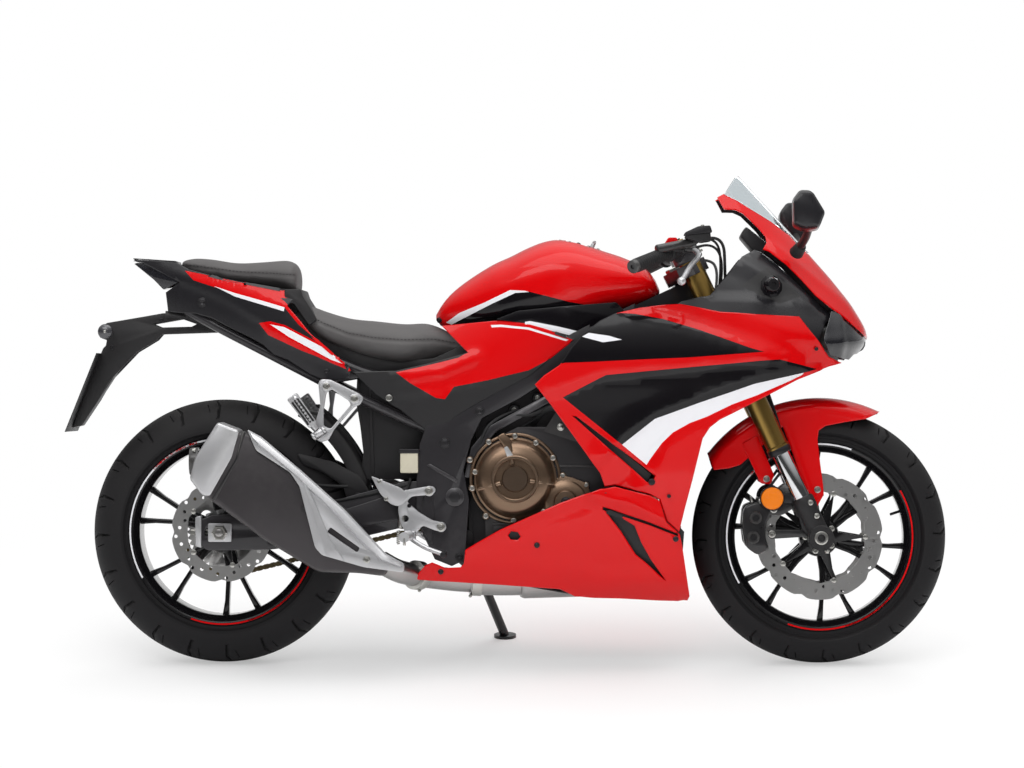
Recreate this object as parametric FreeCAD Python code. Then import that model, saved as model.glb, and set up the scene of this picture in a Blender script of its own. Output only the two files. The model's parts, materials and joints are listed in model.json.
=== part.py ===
"""Sport motorcycle parked on its side stand, one solid for each piece.

The machine is drawn upright in millimetres: X forward from the rear axle, Y to the
left of the mid-plane and Z up from the ground.  The finished pieces are then leaned
over to the left, onto the side stand, and moved so that the origin lies on the floor
under the middle of the whole machine.
"""
import FreeCAD, Part
import math
import os

# Overall layout
WHEELBASE = 1410.0
FRONT_AXLE_PLACE = 1410.0
LEAN_DEG = 10.0
RAKE_DEG = 25.5
TRAIL = 102.0
STEER_LIMIT_DEG = 28.0
FLOOR_SINK = 1.1

# Wheels
FRONT_TYRE_RADIUS = 300.0
FRONT_TYRE_WIDTH = 120.0
REAR_TYRE_RADIUS = 312.0
REAR_TYRE_WIDTH = 160.0
RIM_SEAT_RADIUS = 216.0
RIM_FLANGE_HEIGHT = 6.0
RIM_FLANGE_WIDTH = 4.0
RIM_WELL_DEPTH = 11.0
RIM_WALL = 5.0
WALL_BULGE = 3.0
FRONT_RIM_WIDTH = 96.0
REAR_RIM_WIDTH = 134.0
SPOKE_PAIRS = 6
SPOKE_FORK_RADIUS = 92.0
SPOKE_STEM_WIDTH = 30.0
SPOKE_BLADE_WIDTH = 13.0
FRONT_SPOKE_DEPTH = 34.0
REAR_SPOKE_DEPTH = 44.0
FRONT_HUB_RADIUS = 34.0
REAR_HUB_RADIUS = 50.0
RUNNING_CLEARANCE = 0.05

# Front brake, axle and fork
FRONT_AXLE_RADIUS = 12.5
FRONT_AXLE_BORE = 9.0
FRONT_DISC_RADIUS = 148.0
FRONT_DISC_BAND = 44.0
FRONT_DISC_INNER_FACE = 56.0
DISC_THICKNESS = 4.5
CARRIER_RADIUS = 46.0
CARRIER_ARMS = 5
FORK_SPACING = 200.0
OUTER_TUBE_RADIUS = 26.0
INNER_TUBE_RADIUS = 20.5
FORK_TOP_HEIGHT = 985.0
OUTER_TUBE_BOTTOM_HEIGHT = 500.0
FORK_FOOT_TOP_HEIGHT = 392.0
FORK_FOOT_RADIUS = 25.0
LOWER_YOKE_HEIGHT = 745.0
UPPER_YOKE_HEIGHT = 915.0
YOKE_THICKNESS = 30.0
YOKE_WALL = 10.0
STEM_RADIUS = 15.0
STEM_BORE_RADIUS = 9.0
HEAD_TUBE_RADIUS = 34.0
HEAD_CLEARANCE = 4.0

# Handlebars
BAR_RADIUS = 11.0
GRIP_RADIUS = 16.5
BAR_CLAMP_HEIGHT = 960.0
GRIP_INNER_REACH = 108.0
GRIP_OUTER_REACH = 245.0
GRIP_INNER = (1052.0, FORK_SPACING / 2 + GRIP_INNER_REACH, 966.0)
GRIP_OUTER = (972.0, FORK_SPACING / 2 + GRIP_OUTER_REACH, 930.0)
LEVER_THICKNESS = 12.0

# Rear brake, axle and final drive
REAR_AXLE_RADIUS = 10.0
REAR_DISC_RADIUS = 119.0
REAR_DISC_BAND = 42.0
REAR_DISC_INNER_FACE = 84.0
SPROCKET_RADIUS = 101.0
FRONT_SPROCKET_RADIUS = 40.0
FRONT_SPROCKET_PLACE = (618.0, 402.0)
CHAIN_INNER_FACE = 85.0
CHAIN_WIDTH = 11.0
CHAIN_THICKNESS = 14.0
CHAIN_CLEARANCE = 1.0
SWINGARM_INNER_FACE = 102.0
SWINGARM_THICKNESS = 26.0
SWINGARM_PIVOT = (548.0, 396.0)
PIVOT_RADIUS = 12.0
SPOOL_OFFSET = (60.0, -14.0)
SPOOL_HOLE_RADIUS = 3.4
SPOOL_HOLE_DEPTH = 16.0

# Frame and seat rail
FRAME_INNER_FACE = 104.0
FRAME_THICKNESS = 34.0
RAIL_RADIUS = 12.0

# Bodywork
PANEL_WALL = 4.0
SCREEN_WALL = 3.0
NOSE_LENGTH = 300.0
NOSE_BACK = 430.0
SIDE_COVER_WALL = 4.0
TAIL_WALL = 4.0
MUFFLER_WALL = 3.0
MUFFLER_WIDTH = 96.0
MUFFLER_GAP = 12.0
SHIELD_THICKNESS = 8.0
MUFFLER_OUTLET_RADIUS = 24.0
PLATE_WIDTH = 220.0
PLATE_HEIGHT = 200.0
PLATE_WALL = 1.5
SIGNAL_PLACE = (-268.0, 784.0)
PLATE_HOLDER_TOP = (-296.0, 725.0)
PLATE_HOLDER_BOTTOM = (-364.0, 556.0)

# Half width of the bodywork at its widest, by height
BODY_HALF_WIDTHS = [
    (140.0, 74.0),
    (170.0, 118.0),
    (220.0, 158.0),
    (300.0, 186.0),
    (440.0, 209.0),
    (600.0, 226.0),
    (710.0, 235.0),
    (790.0, 226.0),
    (880.0, 196.0),
    (960.0, 163.0),
    (1060.0, 118.0),
    (1170.0, 62.0),
]
# Furthest forward point of the bodywork on the mid-plane, by height
BODY_CREST = [
    (140.0, 1500.0),
    (560.0, 1500.0),
    (700.0, 1502.0),
    (769.0, 1522.0),
    (835.0, 1494.0),
    (899.0, 1447.0),
    (958.0, 1396.0),
    (1000.0, 1359.0),
    (1080.0, 1286.0),
    (1170.0, 1203.0),
]

# Side view outlines, shared where two panels meet
FAIRING_TOP_EDGE = [(1096.0, 849.0), (1171.0, 832.0), (1357.0, 820.0), (1405.0, 790.0)]
FAIRING_LOWER_SEAM = [(915.0, 423.0), (1020.0, 391.0), (1050.0, 333.0), (1075.0, 314.0)]
LAMP_REAR_EDGE = [(1405.0, 790.0), (1438.0, 741.0), (1457.0, 711.0)]
LAMP_TOP_EDGE = [(1405.0, 790.0), (1437.0, 830.0), (1493.0, 788.0), (1540.0, 762.0)]
COWL_INNER_EDGE = [(1273.0, 980.0), (1362.0, 917.0), (1437.0, 830.0)]
SCREEN_EDGE = [(1186.0, 1106.0), (1268.0, 1063.0), (1362.0, 1000.0), (1396.0, 956.0)]

# Pillion seat stations along the machine: place, half width, top and bottom
PILLION_STATIONS = [
    (-100.0, 52.0, 956.0, 934.0), (-40.0, 72.0, 955.0, 922.0), (40.0, 88.0, 946.0, 906.0),
    (120.0, 98.0, 950.0, 890.0), (176.0, 96.0, 950.0, 868.0),
]
SEAT_GAP = 0.3
# Half width of the tail by place along the machine
TAIL_PLAN = [(345.0, 124.0), (200.0, 118.0), (100.0, 110.0), (0.0, 96.0), (-100.0, 76.0), (-170.0, 60.0),
             (-214.0, 48.0)]

# Side stand
STAND_PIVOT = (600.0, 138.0, 205.0)
STAND_AXIS_TILT_DEG = 20.0
STAND_FOOT_OUT = 250.0
STAND_FOOT_FORWARD = 60.0
STAND_LEG_RADIUS = 11.0
STAND_FOOT_RADIUS = 27.0
STAND_FOOT_THICKNESS = 7.0
STAND_FOLD_DEG = 92.0
STAND_EYE_RADIUS = 16.0
STAND_EYE_THICKNESS = 14.0
STAND_BOLT_RADIUS = 6.0
STAND_ROOM_FRONT = 700.0

# Pillion pegs
PEG_PIVOT = (236.0, 176.0, 545.0)
PEG_FOLD_DEG = 90.0
PEG_PIN_RADIUS = 4.0
PEG_SLOPE_DEG = 56.0
PEG_LENGTH = 104.0
PEG_RADIUS = 9.0
PEG_EYE_RADIUS = 10.0
PEG_EAR_GAP = 22.0
PEG_EAR_WALL = 6.0

# Fuel filler
CAP_PLACE = (842.0, 993.0)
CAP_RADIUS = 38.0
CAP_THICKNESS = 8.0
CAP_GAP = 0.5
CAP_SLOPE_DEG = 7.0
CAP_OPEN_DEG = 100.0
CAP_PIN_RADIUS = 2.0
CAP_PIN_HALF = 18.0
CAP_EAR_WIDTH = 4.0
CAP_EAR_WALL = 0.2
CAP_KNUCKLE_RADIUS = 4.5
CAP_KNUCKLE_HALF = 11.0


def vec(x, y, z):
    """Return a point or direction."""
    return FreeCAD.Vector(x, y, z)


def mirrored(shape):
    """Return the shape reflected to the other side of the mid-plane."""
    return shape.mirror(vec(0, 0, 0), vec(0, 1, 0))


def pair(shape):
    """Return a shape and its reflection as one compound."""
    return Part.makeCompound([shape, mirrored(shape)])


def fuse(shapes):
    """Join shapes into one, without leftover seams."""
    joined = shapes[0]
    for shape in shapes[1:]:
        joined = joined.fuse(shape)
    return joined.removeSplitter()


def largest(shape):
    """Return the largest solid of a shape."""
    return max(shape.Solids, key=lambda solid: solid.Volume)


def side_plate(outline, y_from, y_to):
    """Extrude a side view outline across the machine."""
    points = [vec(x, y_from, z) for x, z in outline]
    face = Part.Face(Part.makePolygon(points + points[:1]))
    return face.extrude(vec(0, y_to - y_from, 0))


def offset_outline(outline, inset):
    """Return a side view outline drawn in by an inset."""
    wire = Part.makePolygon([vec(x, z, 0) for x, z in outline + outline[:1]])
    drawn_in = wire.makeOffset2D(-inset, 2)
    return [(vertex.X, vertex.Y) for vertex in drawn_in.OrderedVertexes]


def plan_plate(outline, z_from, z_to):
    """Extrude a top view outline upward."""
    points = [vec(x, y, z_from) for x, y in outline]
    face = Part.Face(Part.makePolygon(points + points[:1]))
    return face.extrude(vec(0, 0, z_to - z_from))


def block(x_range, y_range, z_range):
    """Return a box between the given limits."""
    size = [high - low for low, high in (x_range, y_range, z_range)]
    return Part.makeBox(*size, vec(x_range[0], y_range[0], z_range[0]))


def rod(start, end, radius, bore=0.0):
    """Return a round bar or tube between two points."""
    start = vec(*start)
    run = vec(*end) - start
    solid = Part.makeCylinder(radius, run.Length, start, run)
    if bore > 0:
        solid = solid.cut(Part.makeCylinder(bore, run.Length, start, run))
    return solid


def ring(place, outer, inner, y_from, y_to):
    """Return a flat ring about a cross axis through a side view place."""
    x, z = place
    return rod((x, y_from, z), (x, y_to, z), outer, inner)


def bent_tube(points, radius, bend):
    """Sweep a round section along straight runs joined by tangent arcs."""
    points = [vec(*point) for point in points]
    edges = []
    here = points[0]
    for before, corner, after in zip(points, points[1:], points[2:]):
        arrive = (corner - before).normalize()
        leave = (after - corner).normalize()
        turn = arrive.getAngle(leave)
        reach = bend * math.tan(turn / 2)
        arc_start = corner - arrive * reach
        arc_end = corner + leave * reach
        middle_way = (leave - arrive).normalize()
        depth = bend / math.cos(turn / 2) - bend
        edges.append(Part.LineSegment(here, arc_start).toShape())
        edges.append(Part.Arc(arc_start, corner + middle_way * depth, arc_end).toShape())
        here = arc_end
    edges.append(Part.LineSegment(here, points[-1]).toShape())
    path = Part.Wire(edges)
    section = Part.Wire(Part.makeCircle(radius, points[0], points[1] - points[0]))
    return path.makePipeShell([section], True, False)


def smooth(stations, at):
    """Return the value at a place on a smooth curve through (place, value) stations."""
    if at <= stations[0][0]:
        return stations[0][1]
    if at >= stations[-1][0]:
        return stations[-1][1]
    slopes = []
    for index in range(len(stations)):
        low = stations[max(index - 1, 0)]
        high = stations[min(index + 1, len(stations) - 1)]
        slopes.append((high[1] - low[1]) / (high[0] - low[0]))
    index = max(i for i, station in enumerate(stations) if station[0] <= at)
    start, end = stations[index], stations[index + 1]
    span = end[0] - start[0]
    t = (at - start[0]) / span
    return (
        (2 * t**3 - 3 * t**2 + 1) * start[1]
        + (t**3 - 2 * t**2 + t) * span * slopes[index]
        + (3 * t**2 - 2 * t**3) * end[1]
        + (t**3 - t**2) * span * slopes[index + 1]
    )


def loft_sections(sections):
    """Loft a solid through closed outlines that have the same number of points."""
    wires = []
    for points in sections:
        curve = Part.BSplineCurve()
        curve.interpolate(points, PeriodicFlag=True)
        wires.append(Part.Wire(curve.toShape()))
    return Part.makeLoft(wires, True, False)


def saddle_section(x, half_width, top, bottom, crown=2.4):
    """Return points round a closed cross section that is flat below and crowned above."""
    points = []
    steps = 16
    middle = (top + bottom) / 2
    for step in range(steps):
        angle = 2 * math.pi * step / steps
        across = math.copysign(abs(math.cos(angle)) ** (2 / crown), math.cos(angle))
        upward = math.copysign(abs(math.sin(angle)) ** (2 / crown), math.sin(angle))
        points.append(vec(x, half_width * across, middle + (top - middle) * upward))
    return points


# Steering geometry
RAKE = math.radians(RAKE_DEG)
REAR_AXLE = (FRONT_AXLE_PLACE - WHEELBASE, REAR_TYRE_RADIUS)
FRONT_AXLE = (FRONT_AXLE_PLACE, FRONT_TYRE_RADIUS)
SPOOL_PLACE = (REAR_AXLE[0] + SPOOL_OFFSET[0], REAR_AXLE[1] + SPOOL_OFFSET[1])
MUFFLER_INNER_FACE = SWINGARM_INNER_FACE + SWINGARM_THICKNESS + MUFFLER_GAP
MUFFLER_LINE = -MUFFLER_INNER_FACE - MUFFLER_WIDTH / 2
STEER_UP = vec(-math.sin(RAKE), 0, math.cos(RAKE))
STEER_FRONT = vec(math.cos(RAKE), 0, math.sin(RAKE))


def at_rear_axle(outline):
    """Return an outline that is drawn from the rear axle at its real place."""
    return [(REAR_AXLE[0] + x, REAR_AXLE[1] + z) for x, z in outline]


def behind_rear_axle(outline):
    """Return an outline that keeps its height and moves along with the rear axle."""
    return [(REAR_AXLE[0] + x, z) for x, z in outline]


def steer_point(height):
    """Return the point of the steering axis at a height."""
    return vec(FRONT_AXLE[0] + TRAIL - height * math.tan(RAKE), 0, height)


def fork_point(height, side=1):
    """Return the point of a fork leg's axis at a height; side is 1 left, -1 right."""
    run = (height - FRONT_AXLE[1]) * math.tan(RAKE)
    return vec(FRONT_AXLE[0] - run, side * FORK_SPACING / 2, height)


def fork_rod(low_height, high_height, radius, bore=0.0):
    """Return a round piece on the left fork leg between two heights."""
    return rod(fork_point(low_height), fork_point(high_height), radius, bore)


def revolve_profile(profile, place):
    """Turn a (radius, across) outline about a cross axis through a side view place."""
    points = [vec(0, across, radius) for radius, across in profile]
    face = Part.Face(Part.makePolygon(points + points[:1]))
    solid = face.revolve(vec(0, 0, 0), vec(0, 1, 0), 360)
    solid.translate(vec(place[0], 0, place[1]))
    return solid


def tyre(radius, width, rim_width, place):
    """Return a tyre: round tread, bulged walls and beads that sit on the rim."""
    half = width / 2
    seat = rim_width / 2 - RIM_FLANGE_WIDTH
    lip = RIM_SEAT_RADIUS + RIM_FLANGE_HEIGHT
    crown_centre = radius - half
    points = [
        vec(0, seat, RIM_SEAT_RADIUS),
        vec(0, seat, lip),
        vec(0, half, crown_centre),
        vec(0, 0, radius),
        vec(0, -half, crown_centre),
        vec(0, -seat, lip),
        vec(0, -seat, RIM_SEAT_RADIUS),
    ]
    bulge = vec(0, (seat + half) / 2 + WALL_BULGE, (lip + crown_centre) / 2)
    bulge_back = vec(0, -bulge.y, bulge.z)
    edges = [
        Part.LineSegment(points[0], points[1]).toShape(),
        Part.Arc(points[1], bulge, points[2]).toShape(),
        Part.Arc(points[2], points[3], points[4]).toShape(),
        Part.Arc(points[4], bulge_back, points[5]).toShape(),
        Part.LineSegment(points[5], points[6]).toShape(),
        Part.LineSegment(points[6], points[0]).toShape(),
    ]
    face = Part.Face(Part.Wire(edges))
    solid = face.revolve(vec(0, 0, 0), vec(0, 1, 0), 360)
    solid.translate(vec(place[0], 0, place[1]))
    return solid


def rim(width, spoke_depth, hub_radius, hub_half, bore, place):
    """Return a cast rim: barrel, six forked spokes and a bored hub."""
    half = width / 2
    seat = half - RIM_FLANGE_WIDTH
    lip = RIM_SEAT_RADIUS + RIM_FLANGE_HEIGHT
    well = RIM_SEAT_RADIUS - RIM_WELL_DEPTH
    outer = [(lip, half), (lip, seat), (RIM_SEAT_RADIUS, seat), (RIM_SEAT_RADIUS, seat - 10),
             (well, seat - 24)]
    inner = [(well - RIM_WALL, -seat + 26), (RIM_SEAT_RADIUS - RIM_WALL, -half)]
    profile = outer + [(radius, -across) for radius, across in reversed(outer)]
    profile += [inner[1], inner[0]] + [(radius, -across) for radius, across in inner]
    barrel = revolve_profile(profile, (0, 0))
    hub = ring((0, 0), hub_radius, 0.0, -hub_half, hub_half)
    reach = well - RIM_WALL / 2
    spokes = []
    half_step = math.pi / SPOKE_PAIRS / 2
    for index in range(SPOKE_PAIRS):
        turn = 2 * math.pi * index / SPOKE_PAIRS
        stem_end = SPOKE_FORK_RADIUS
        stem = [
            (0.0, -SPOKE_STEM_WIDTH / 2),
            (stem_end, -SPOKE_STEM_WIDTH / 2),
            (stem_end, SPOKE_STEM_WIDTH / 2),
            (0.0, SPOKE_STEM_WIDTH / 2),
        ]
        blades = [stem]
        for side in (1, -1):
            tip = (reach * math.cos(half_step), side * reach * math.sin(half_step))
            root = (stem_end - 22.0, side * (SPOKE_STEM_WIDTH - SPOKE_BLADE_WIDTH) / 2)
            along = math.atan2(tip[1] - root[1], tip[0] - root[0])
            off = (-math.sin(along) * SPOKE_BLADE_WIDTH / 2, math.cos(along) * SPOKE_BLADE_WIDTH / 2)
            blades.append([
                (root[0] - off[0], root[1] - off[1]),
                (tip[0] - off[0], tip[1] - off[1]),
                (tip[0] + off[0], tip[1] + off[1]),
                (root[0] + off[0], root[1] + off[1]),
            ])
        for outline in blades:
            turned = [
                (x * math.cos(turn) - z * math.sin(turn), x * math.sin(turn) + z * math.cos(turn))
                for x, z in outline
            ]
            spokes.append(side_plate(turned, -spoke_depth / 2, spoke_depth / 2))
    solid = fuse([barrel, hub] + spokes)
    solid = solid.cut(ring((0, 0), bore, 0.0, -hub_half - 1, hub_half + 1))
    solid.translate(vec(place[0], 0, place[1]))
    return solid


def brake_disc(radius, band, inner_face, place):
    """Return a left side brake disc: ring, carrier arms and hub ring in one plane."""
    outer_face = inner_face + DISC_THICKNESS
    ring_inner = radius - band
    pieces = [
        ring((0, 0), radius, ring_inner, inner_face, outer_face),
        ring((0, 0), CARRIER_RADIUS + 10, CARRIER_RADIUS - 12, inner_face, outer_face),
    ]
    for index in range(CARRIER_ARMS):
        arm = block((CARRIER_RADIUS, ring_inner + 6), (inner_face, outer_face), (-9, 9))
        arm.rotate(vec(0, 0, 0), vec(0, 1, 0), 360 * index / CARRIER_ARMS)
        pieces.append(arm)
    solid = fuse(pieces)
    solid.translate(vec(place[0], 0, place[1]))
    return solid


def front_wheel():
    """Return the front rim, tyre and both discs."""
    bore = FRONT_AXLE_RADIUS + RUNNING_CLEARANCE
    hub_half = FRONT_DISC_INNER_FACE
    disc = brake_disc(FRONT_DISC_RADIUS, FRONT_DISC_BAND, FRONT_DISC_INNER_FACE, FRONT_AXLE)
    wheel_rim = rim(FRONT_RIM_WIDTH, FRONT_SPOKE_DEPTH, FRONT_HUB_RADIUS + 14, hub_half, bore, FRONT_AXLE)
    return {
        "front_rim": wheel_rim,
        "front_tyre": tyre(FRONT_TYRE_RADIUS, FRONT_TYRE_WIDTH, FRONT_RIM_WIDTH, FRONT_AXLE),
        "front_discs": pair(disc),
    }


def rear_wheel():
    """Return the rear rim, tyre, disc and sprocket."""
    bore = REAR_AXLE_RADIUS + RUNNING_CLEARANCE
    wheel_rim = rim(REAR_RIM_WIDTH, REAR_SPOKE_DEPTH, REAR_HUB_RADIUS, REAR_DISC_INNER_FACE, bore, REAR_AXLE)
    disc = mirrored(brake_disc(REAR_DISC_RADIUS, REAR_DISC_BAND, REAR_DISC_INNER_FACE, REAR_AXLE))
    sprocket_face = CHAIN_INNER_FACE + 2.0
    sprocket = [
        ring(REAR_AXLE, SPROCKET_RADIUS, SPROCKET_RADIUS - 20, sprocket_face, sprocket_face + 6),
        ring(REAR_AXLE, CARRIER_RADIUS + 8, REAR_AXLE_RADIUS + 6, REAR_DISC_INNER_FACE, sprocket_face + 6),
    ]
    for index in range(SPOKE_PAIRS):
        arm = block((CARRIER_RADIUS, SPROCKET_RADIUS - 16), (sprocket_face, sprocket_face + 6), (-8, 8))
        arm.rotate(vec(0, 0, 0), vec(0, 1, 0), 360 * index / SPOKE_PAIRS)
        arm.translate(vec(REAR_AXLE[0], 0, REAR_AXLE[1]))
        sprocket.append(arm)
    return {
        "rear_rim": wheel_rim,
        "rear_tyre": tyre(REAR_TYRE_RADIUS, REAR_TYRE_WIDTH, REAR_RIM_WIDTH, REAR_AXLE),
        "rear_disc": disc,
        "rear_sprocket": fuse(sprocket),
    }


def yoke(height, stem_hole):
    """Return a fork clamp plate that holds both legs and the stem at a height."""
    reach = OUTER_TUBE_RADIUS + YOKE_WALL
    offset = (fork_point(height) - steer_point(height)).dot(STEER_FRONT)
    half = FORK_SPACING / 2
    outline = [
        (-30, -34),
        (offset - reach, -half),
        (offset - reach, -half - 12),
        (offset, -half - reach),
        (offset + reach, -half),
        (offset + reach - 14, 0),
        (offset + reach, half),
        (offset, half + reach),
        (offset - reach, half + 12),
        (offset - reach, half),
        (-30, 34),
    ]
    points = [vec(x, y, -YOKE_THICKNESS / 2) for x, y in outline]
    plate = Part.Face(Part.makePolygon(points + points[:1])).extrude(vec(0, 0, YOKE_THICKNESS))
    plate.rotate(vec(0, 0, 0), vec(0, 1, 0), -RAKE_DEG)
    plate.translate(steer_point(height))
    for side in (1, -1):
        leg = rod(fork_point(height - 60, side), fork_point(height + 60, side), OUTER_TUBE_RADIUS)
        plate = plate.cut(leg)
    if stem_hole > 0:
        plate = plate.cut(rod(steer_point(height - 60), steer_point(height + 60), stem_hole))
    return plate


def steering_yokes():
    """Return both fork clamps joined by the hollow steering stem."""
    stem = rod(steer_point(LOWER_YOKE_HEIGHT), steer_point(UPPER_YOKE_HEIGHT + 22), STEM_RADIUS)
    solid = fuse([yoke(LOWER_YOKE_HEIGHT, 0.0), yoke(UPPER_YOKE_HEIGHT, 0.0), stem])
    bore = rod(steer_point(LOWER_YOKE_HEIGHT - 60), steer_point(UPPER_YOKE_HEIGHT + 60), STEM_BORE_RADIUS)
    return solid.cut(bore)


def fork_lower():
    """Return the left sliding tube with its axle foot."""
    slider = fork_rod(FORK_FOOT_TOP_HEIGHT - 20, OUTER_TUBE_BOTTOM_HEIGHT, INNER_TUBE_RADIUS)
    foot = fork_rod(FRONT_AXLE[1] - 12, FORK_FOOT_TOP_HEIGHT, FORK_FOOT_RADIUS)
    half = FORK_SPACING / 2
    boss_half = FORK_FOOT_RADIUS + 3
    boss = ring(FRONT_AXLE, FORK_FOOT_RADIUS + 5, 0.0, half - boss_half, half + boss_half)
    hole = ring(FRONT_AXLE, FRONT_AXLE_RADIUS, 0.0, 0.0, half + 60)
    return fuse([slider, foot, boss]).cut(hole)


def front_caliper():
    """Return the left front caliper, slotted over the disc and bolted to the fork foot."""
    outline = [(1230, 375), (1268, 386), (1300, 380), (1340, 392), (1380, 384), (1370, 352), (1330, 335),
               (1318, 318), (1400, 318), (1400, 300), (1300, 290), (1286, 266), (1252, 262), (1228, 300),
               (1222, 340)]
    outer = side_plate(outline, 40.0, FORK_SPACING / 2 - 8)
    gap = 2.0
    slot = ring(
        FRONT_AXLE,
        FRONT_DISC_RADIUS + 8,
        0.0,
        FRONT_DISC_INNER_FACE - gap,
        FRONT_DISC_INNER_FACE + DISC_THICKNESS + gap,
    )
    rim_room = ring(FRONT_AXLE, RIM_SEAT_RADIUS + 10, 0.0, 0.0, FRONT_DISC_INNER_FACE - gap)
    leg_room = fork_rod(FRONT_AXLE[1] - 60, FORK_FOOT_TOP_HEIGHT + 60, FORK_FOOT_RADIUS)
    boss_room = ring(FRONT_AXLE, FORK_FOOT_RADIUS + 5, 0.0, 0.0, 200.0)
    return largest(outer.cut(slot).cut(rim_room).cut(leg_room).cut(boss_room))


def handlebar():
    """Return the left clip-on bar with its grip, switch box and lever."""
    inner = vec(*GRIP_INNER)
    outer = vec(*GRIP_OUTER)
    along = (outer - inner).normalize()
    clamp_centre = fork_point(BAR_CLAMP_HEIGHT)
    clamp = rod(
        clamp_centre - STEER_UP * 14,
        clamp_centre + STEER_UP * 14,
        OUTER_TUBE_RADIUS + YOKE_WALL,
        OUTER_TUBE_RADIUS,
    )
    bar_start = inner - along * 92
    bar = rod(bar_start, outer, BAR_RADIUS)
    leg_room = rod(fork_point(BAR_CLAMP_HEIGHT - 80), fork_point(BAR_CLAMP_HEIGHT + 80), OUTER_TUBE_RADIUS)
    bar = bar.cut(leg_room)
    bar_solids = sorted(bar.Solids, key=lambda solid: solid.Volume)
    grip = rod(inner, outer, GRIP_RADIUS)
    switch = rod(inner - along * 34, inner, GRIP_RADIUS + 5)
    perch = inner - along * 46
    lever_root = perch + vec(34, 6, -10)
    lever_tip = outer + vec(76, -10, -18)
    lever = rod(lever_root, lever_tip, LEVER_THICKNESS / 2)
    arm = rod(perch, lever_root, LEVER_THICKNESS / 2 + 3)
    return fuse([clamp, bar_solids[-1], grip, switch, arm, lever])


def front_fender():
    """Return the front fender: a curved trough with legs inside the fork."""
    inner_radius = FRONT_TYRE_RADIUS + 9.0
    wall = 3.0
    half = 67.0
    outer_profile = [
        (inner_radius + wall + 9, -30), (inner_radius + wall + 9, 30), (inner_radius - 4, half),
        (inner_radius - 34, half), (inner_radius - 34, half - wall), (inner_radius - 6, half - wall),
        (inner_radius + 9, 28), (inner_radius + 9, -28), (inner_radius - 6, -half + wall),
        (inner_radius - 34, -half + wall), (inner_radius - 34, -half), (inner_radius - 4, -half),
    ]
    points = [vec(0, across, radius) for radius, across in outer_profile]
    face = Part.Face(Part.makePolygon(points + points[:1]))
    face.rotate(vec(0, 0, 0), vec(0, 1, 0), -58.0)
    trough = face.revolve(vec(0, 0, 0), vec(0, 1, 0), 86.0)
    trough.translate(vec(FRONT_AXLE[0], 0, FRONT_AXLE[1]))
    leg_outline = [(1300, 560), (1408, 580), (1412, 458), (1402, 376), (1362, 376), (1352, 458)]
    leg = side_plate(leg_outline, half - wall, half)
    bolt_height = FORK_FOOT_TOP_HEIGHT - 10
    boss_place = (fork_point(bolt_height).x, bolt_height)
    boss = ring(boss_place, 8.0, 0.0, half - 1, FORK_SPACING / 2 - FORK_FOOT_RADIUS + 6)
    foot_room = fork_rod(FRONT_AXLE[1], FORK_FOOT_TOP_HEIGHT, FORK_FOOT_RADIUS)
    leg = leg.fuse(boss.cut(foot_room))
    return fuse([trough, leg, mirrored(leg)])


def front_end():
    """Return the pieces that turn with the handlebars."""
    half = FORK_SPACING / 2 + FORK_FOOT_RADIUS + 3
    axle = ring(FRONT_AXLE, FRONT_AXLE_RADIUS, FRONT_AXLE_BORE, -half, half)
    outer_tube = fork_rod(OUTER_TUBE_BOTTOM_HEIGHT, FORK_TOP_HEIGHT, OUTER_TUBE_RADIUS)
    fender = front_fender()
    return {
        "steering_yokes": steering_yokes(),
        "fork_outer_tubes": pair(outer_tube),
        "fork_lowers": pair(fork_lower()),
        "front_calipers": pair(largest(front_caliper().cut(fender))),
        "handlebars": pair(handlebar()),
        "front_fender": fender,
        "front_axle": axle,
    }


def main_frame():
    """Return the twin spar frame with its head tube and pivot plates."""
    side_outline = [
        (1150, 790), (1094, 905), (1000, 862), (860, 796), (700, 715), (560, 655), (498, 600), (470, 520),
        (462, 430), (462, 340), (505, 250), (545, 234), (575, 248), (585, 389), (572, 459), (590, 529),
        (615, 581), (704, 628), (857, 726), (980, 762), (1100, 770),
    ]
    inner = FRAME_INNER_FACE
    outer = FRAME_INNER_FACE + FRAME_THICKNESS
    plan_outline = [
        (1150, 12), (1060, 20), (950, 78), (850, inner), (440, inner),
        (440, outer), (860, outer), (970, 108), (1070, 52), (1150, 34),
    ]
    spar = side_plate(side_outline, 0.0, outer + 10).common(plan_plate(plan_outline, 200.0, 1000.0))
    head_low = LOWER_YOKE_HEIGHT + (YOKE_THICKNESS / 2 + HEAD_CLEARANCE) * math.cos(RAKE)
    head_high = UPPER_YOKE_HEIGHT - (YOKE_THICKNESS / 2 + HEAD_CLEARANCE) * math.cos(RAKE)
    head = rod(steer_point(head_low), steer_point(head_high), HEAD_TUBE_RADIUS)
    upper_cross = rod((520, -inner, 560), (520, inner, 560), 22.0)
    lower_cross = rod((515, -inner, 270), (515, inner, 270), 14.0)
    solid = fuse([head, spar, mirrored(spar), upper_cross, lower_cross])
    lower_room = rod(steer_point(head_low), steer_point(head_low - 80), 160.0)
    upper_room = rod(steer_point(head_high), steer_point(head_high + 80), 160.0)
    stem_hole = rod(steer_point(600), steer_point(1000), STEM_RADIUS + RUNNING_CLEARANCE)
    pivot = ring(SWINGARM_PIVOT, PIVOT_RADIUS, 0.0, -200.0, 200.0)
    return solid.cut(lower_room).cut(upper_room).cut(stem_hole).cut(pivot)


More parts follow.
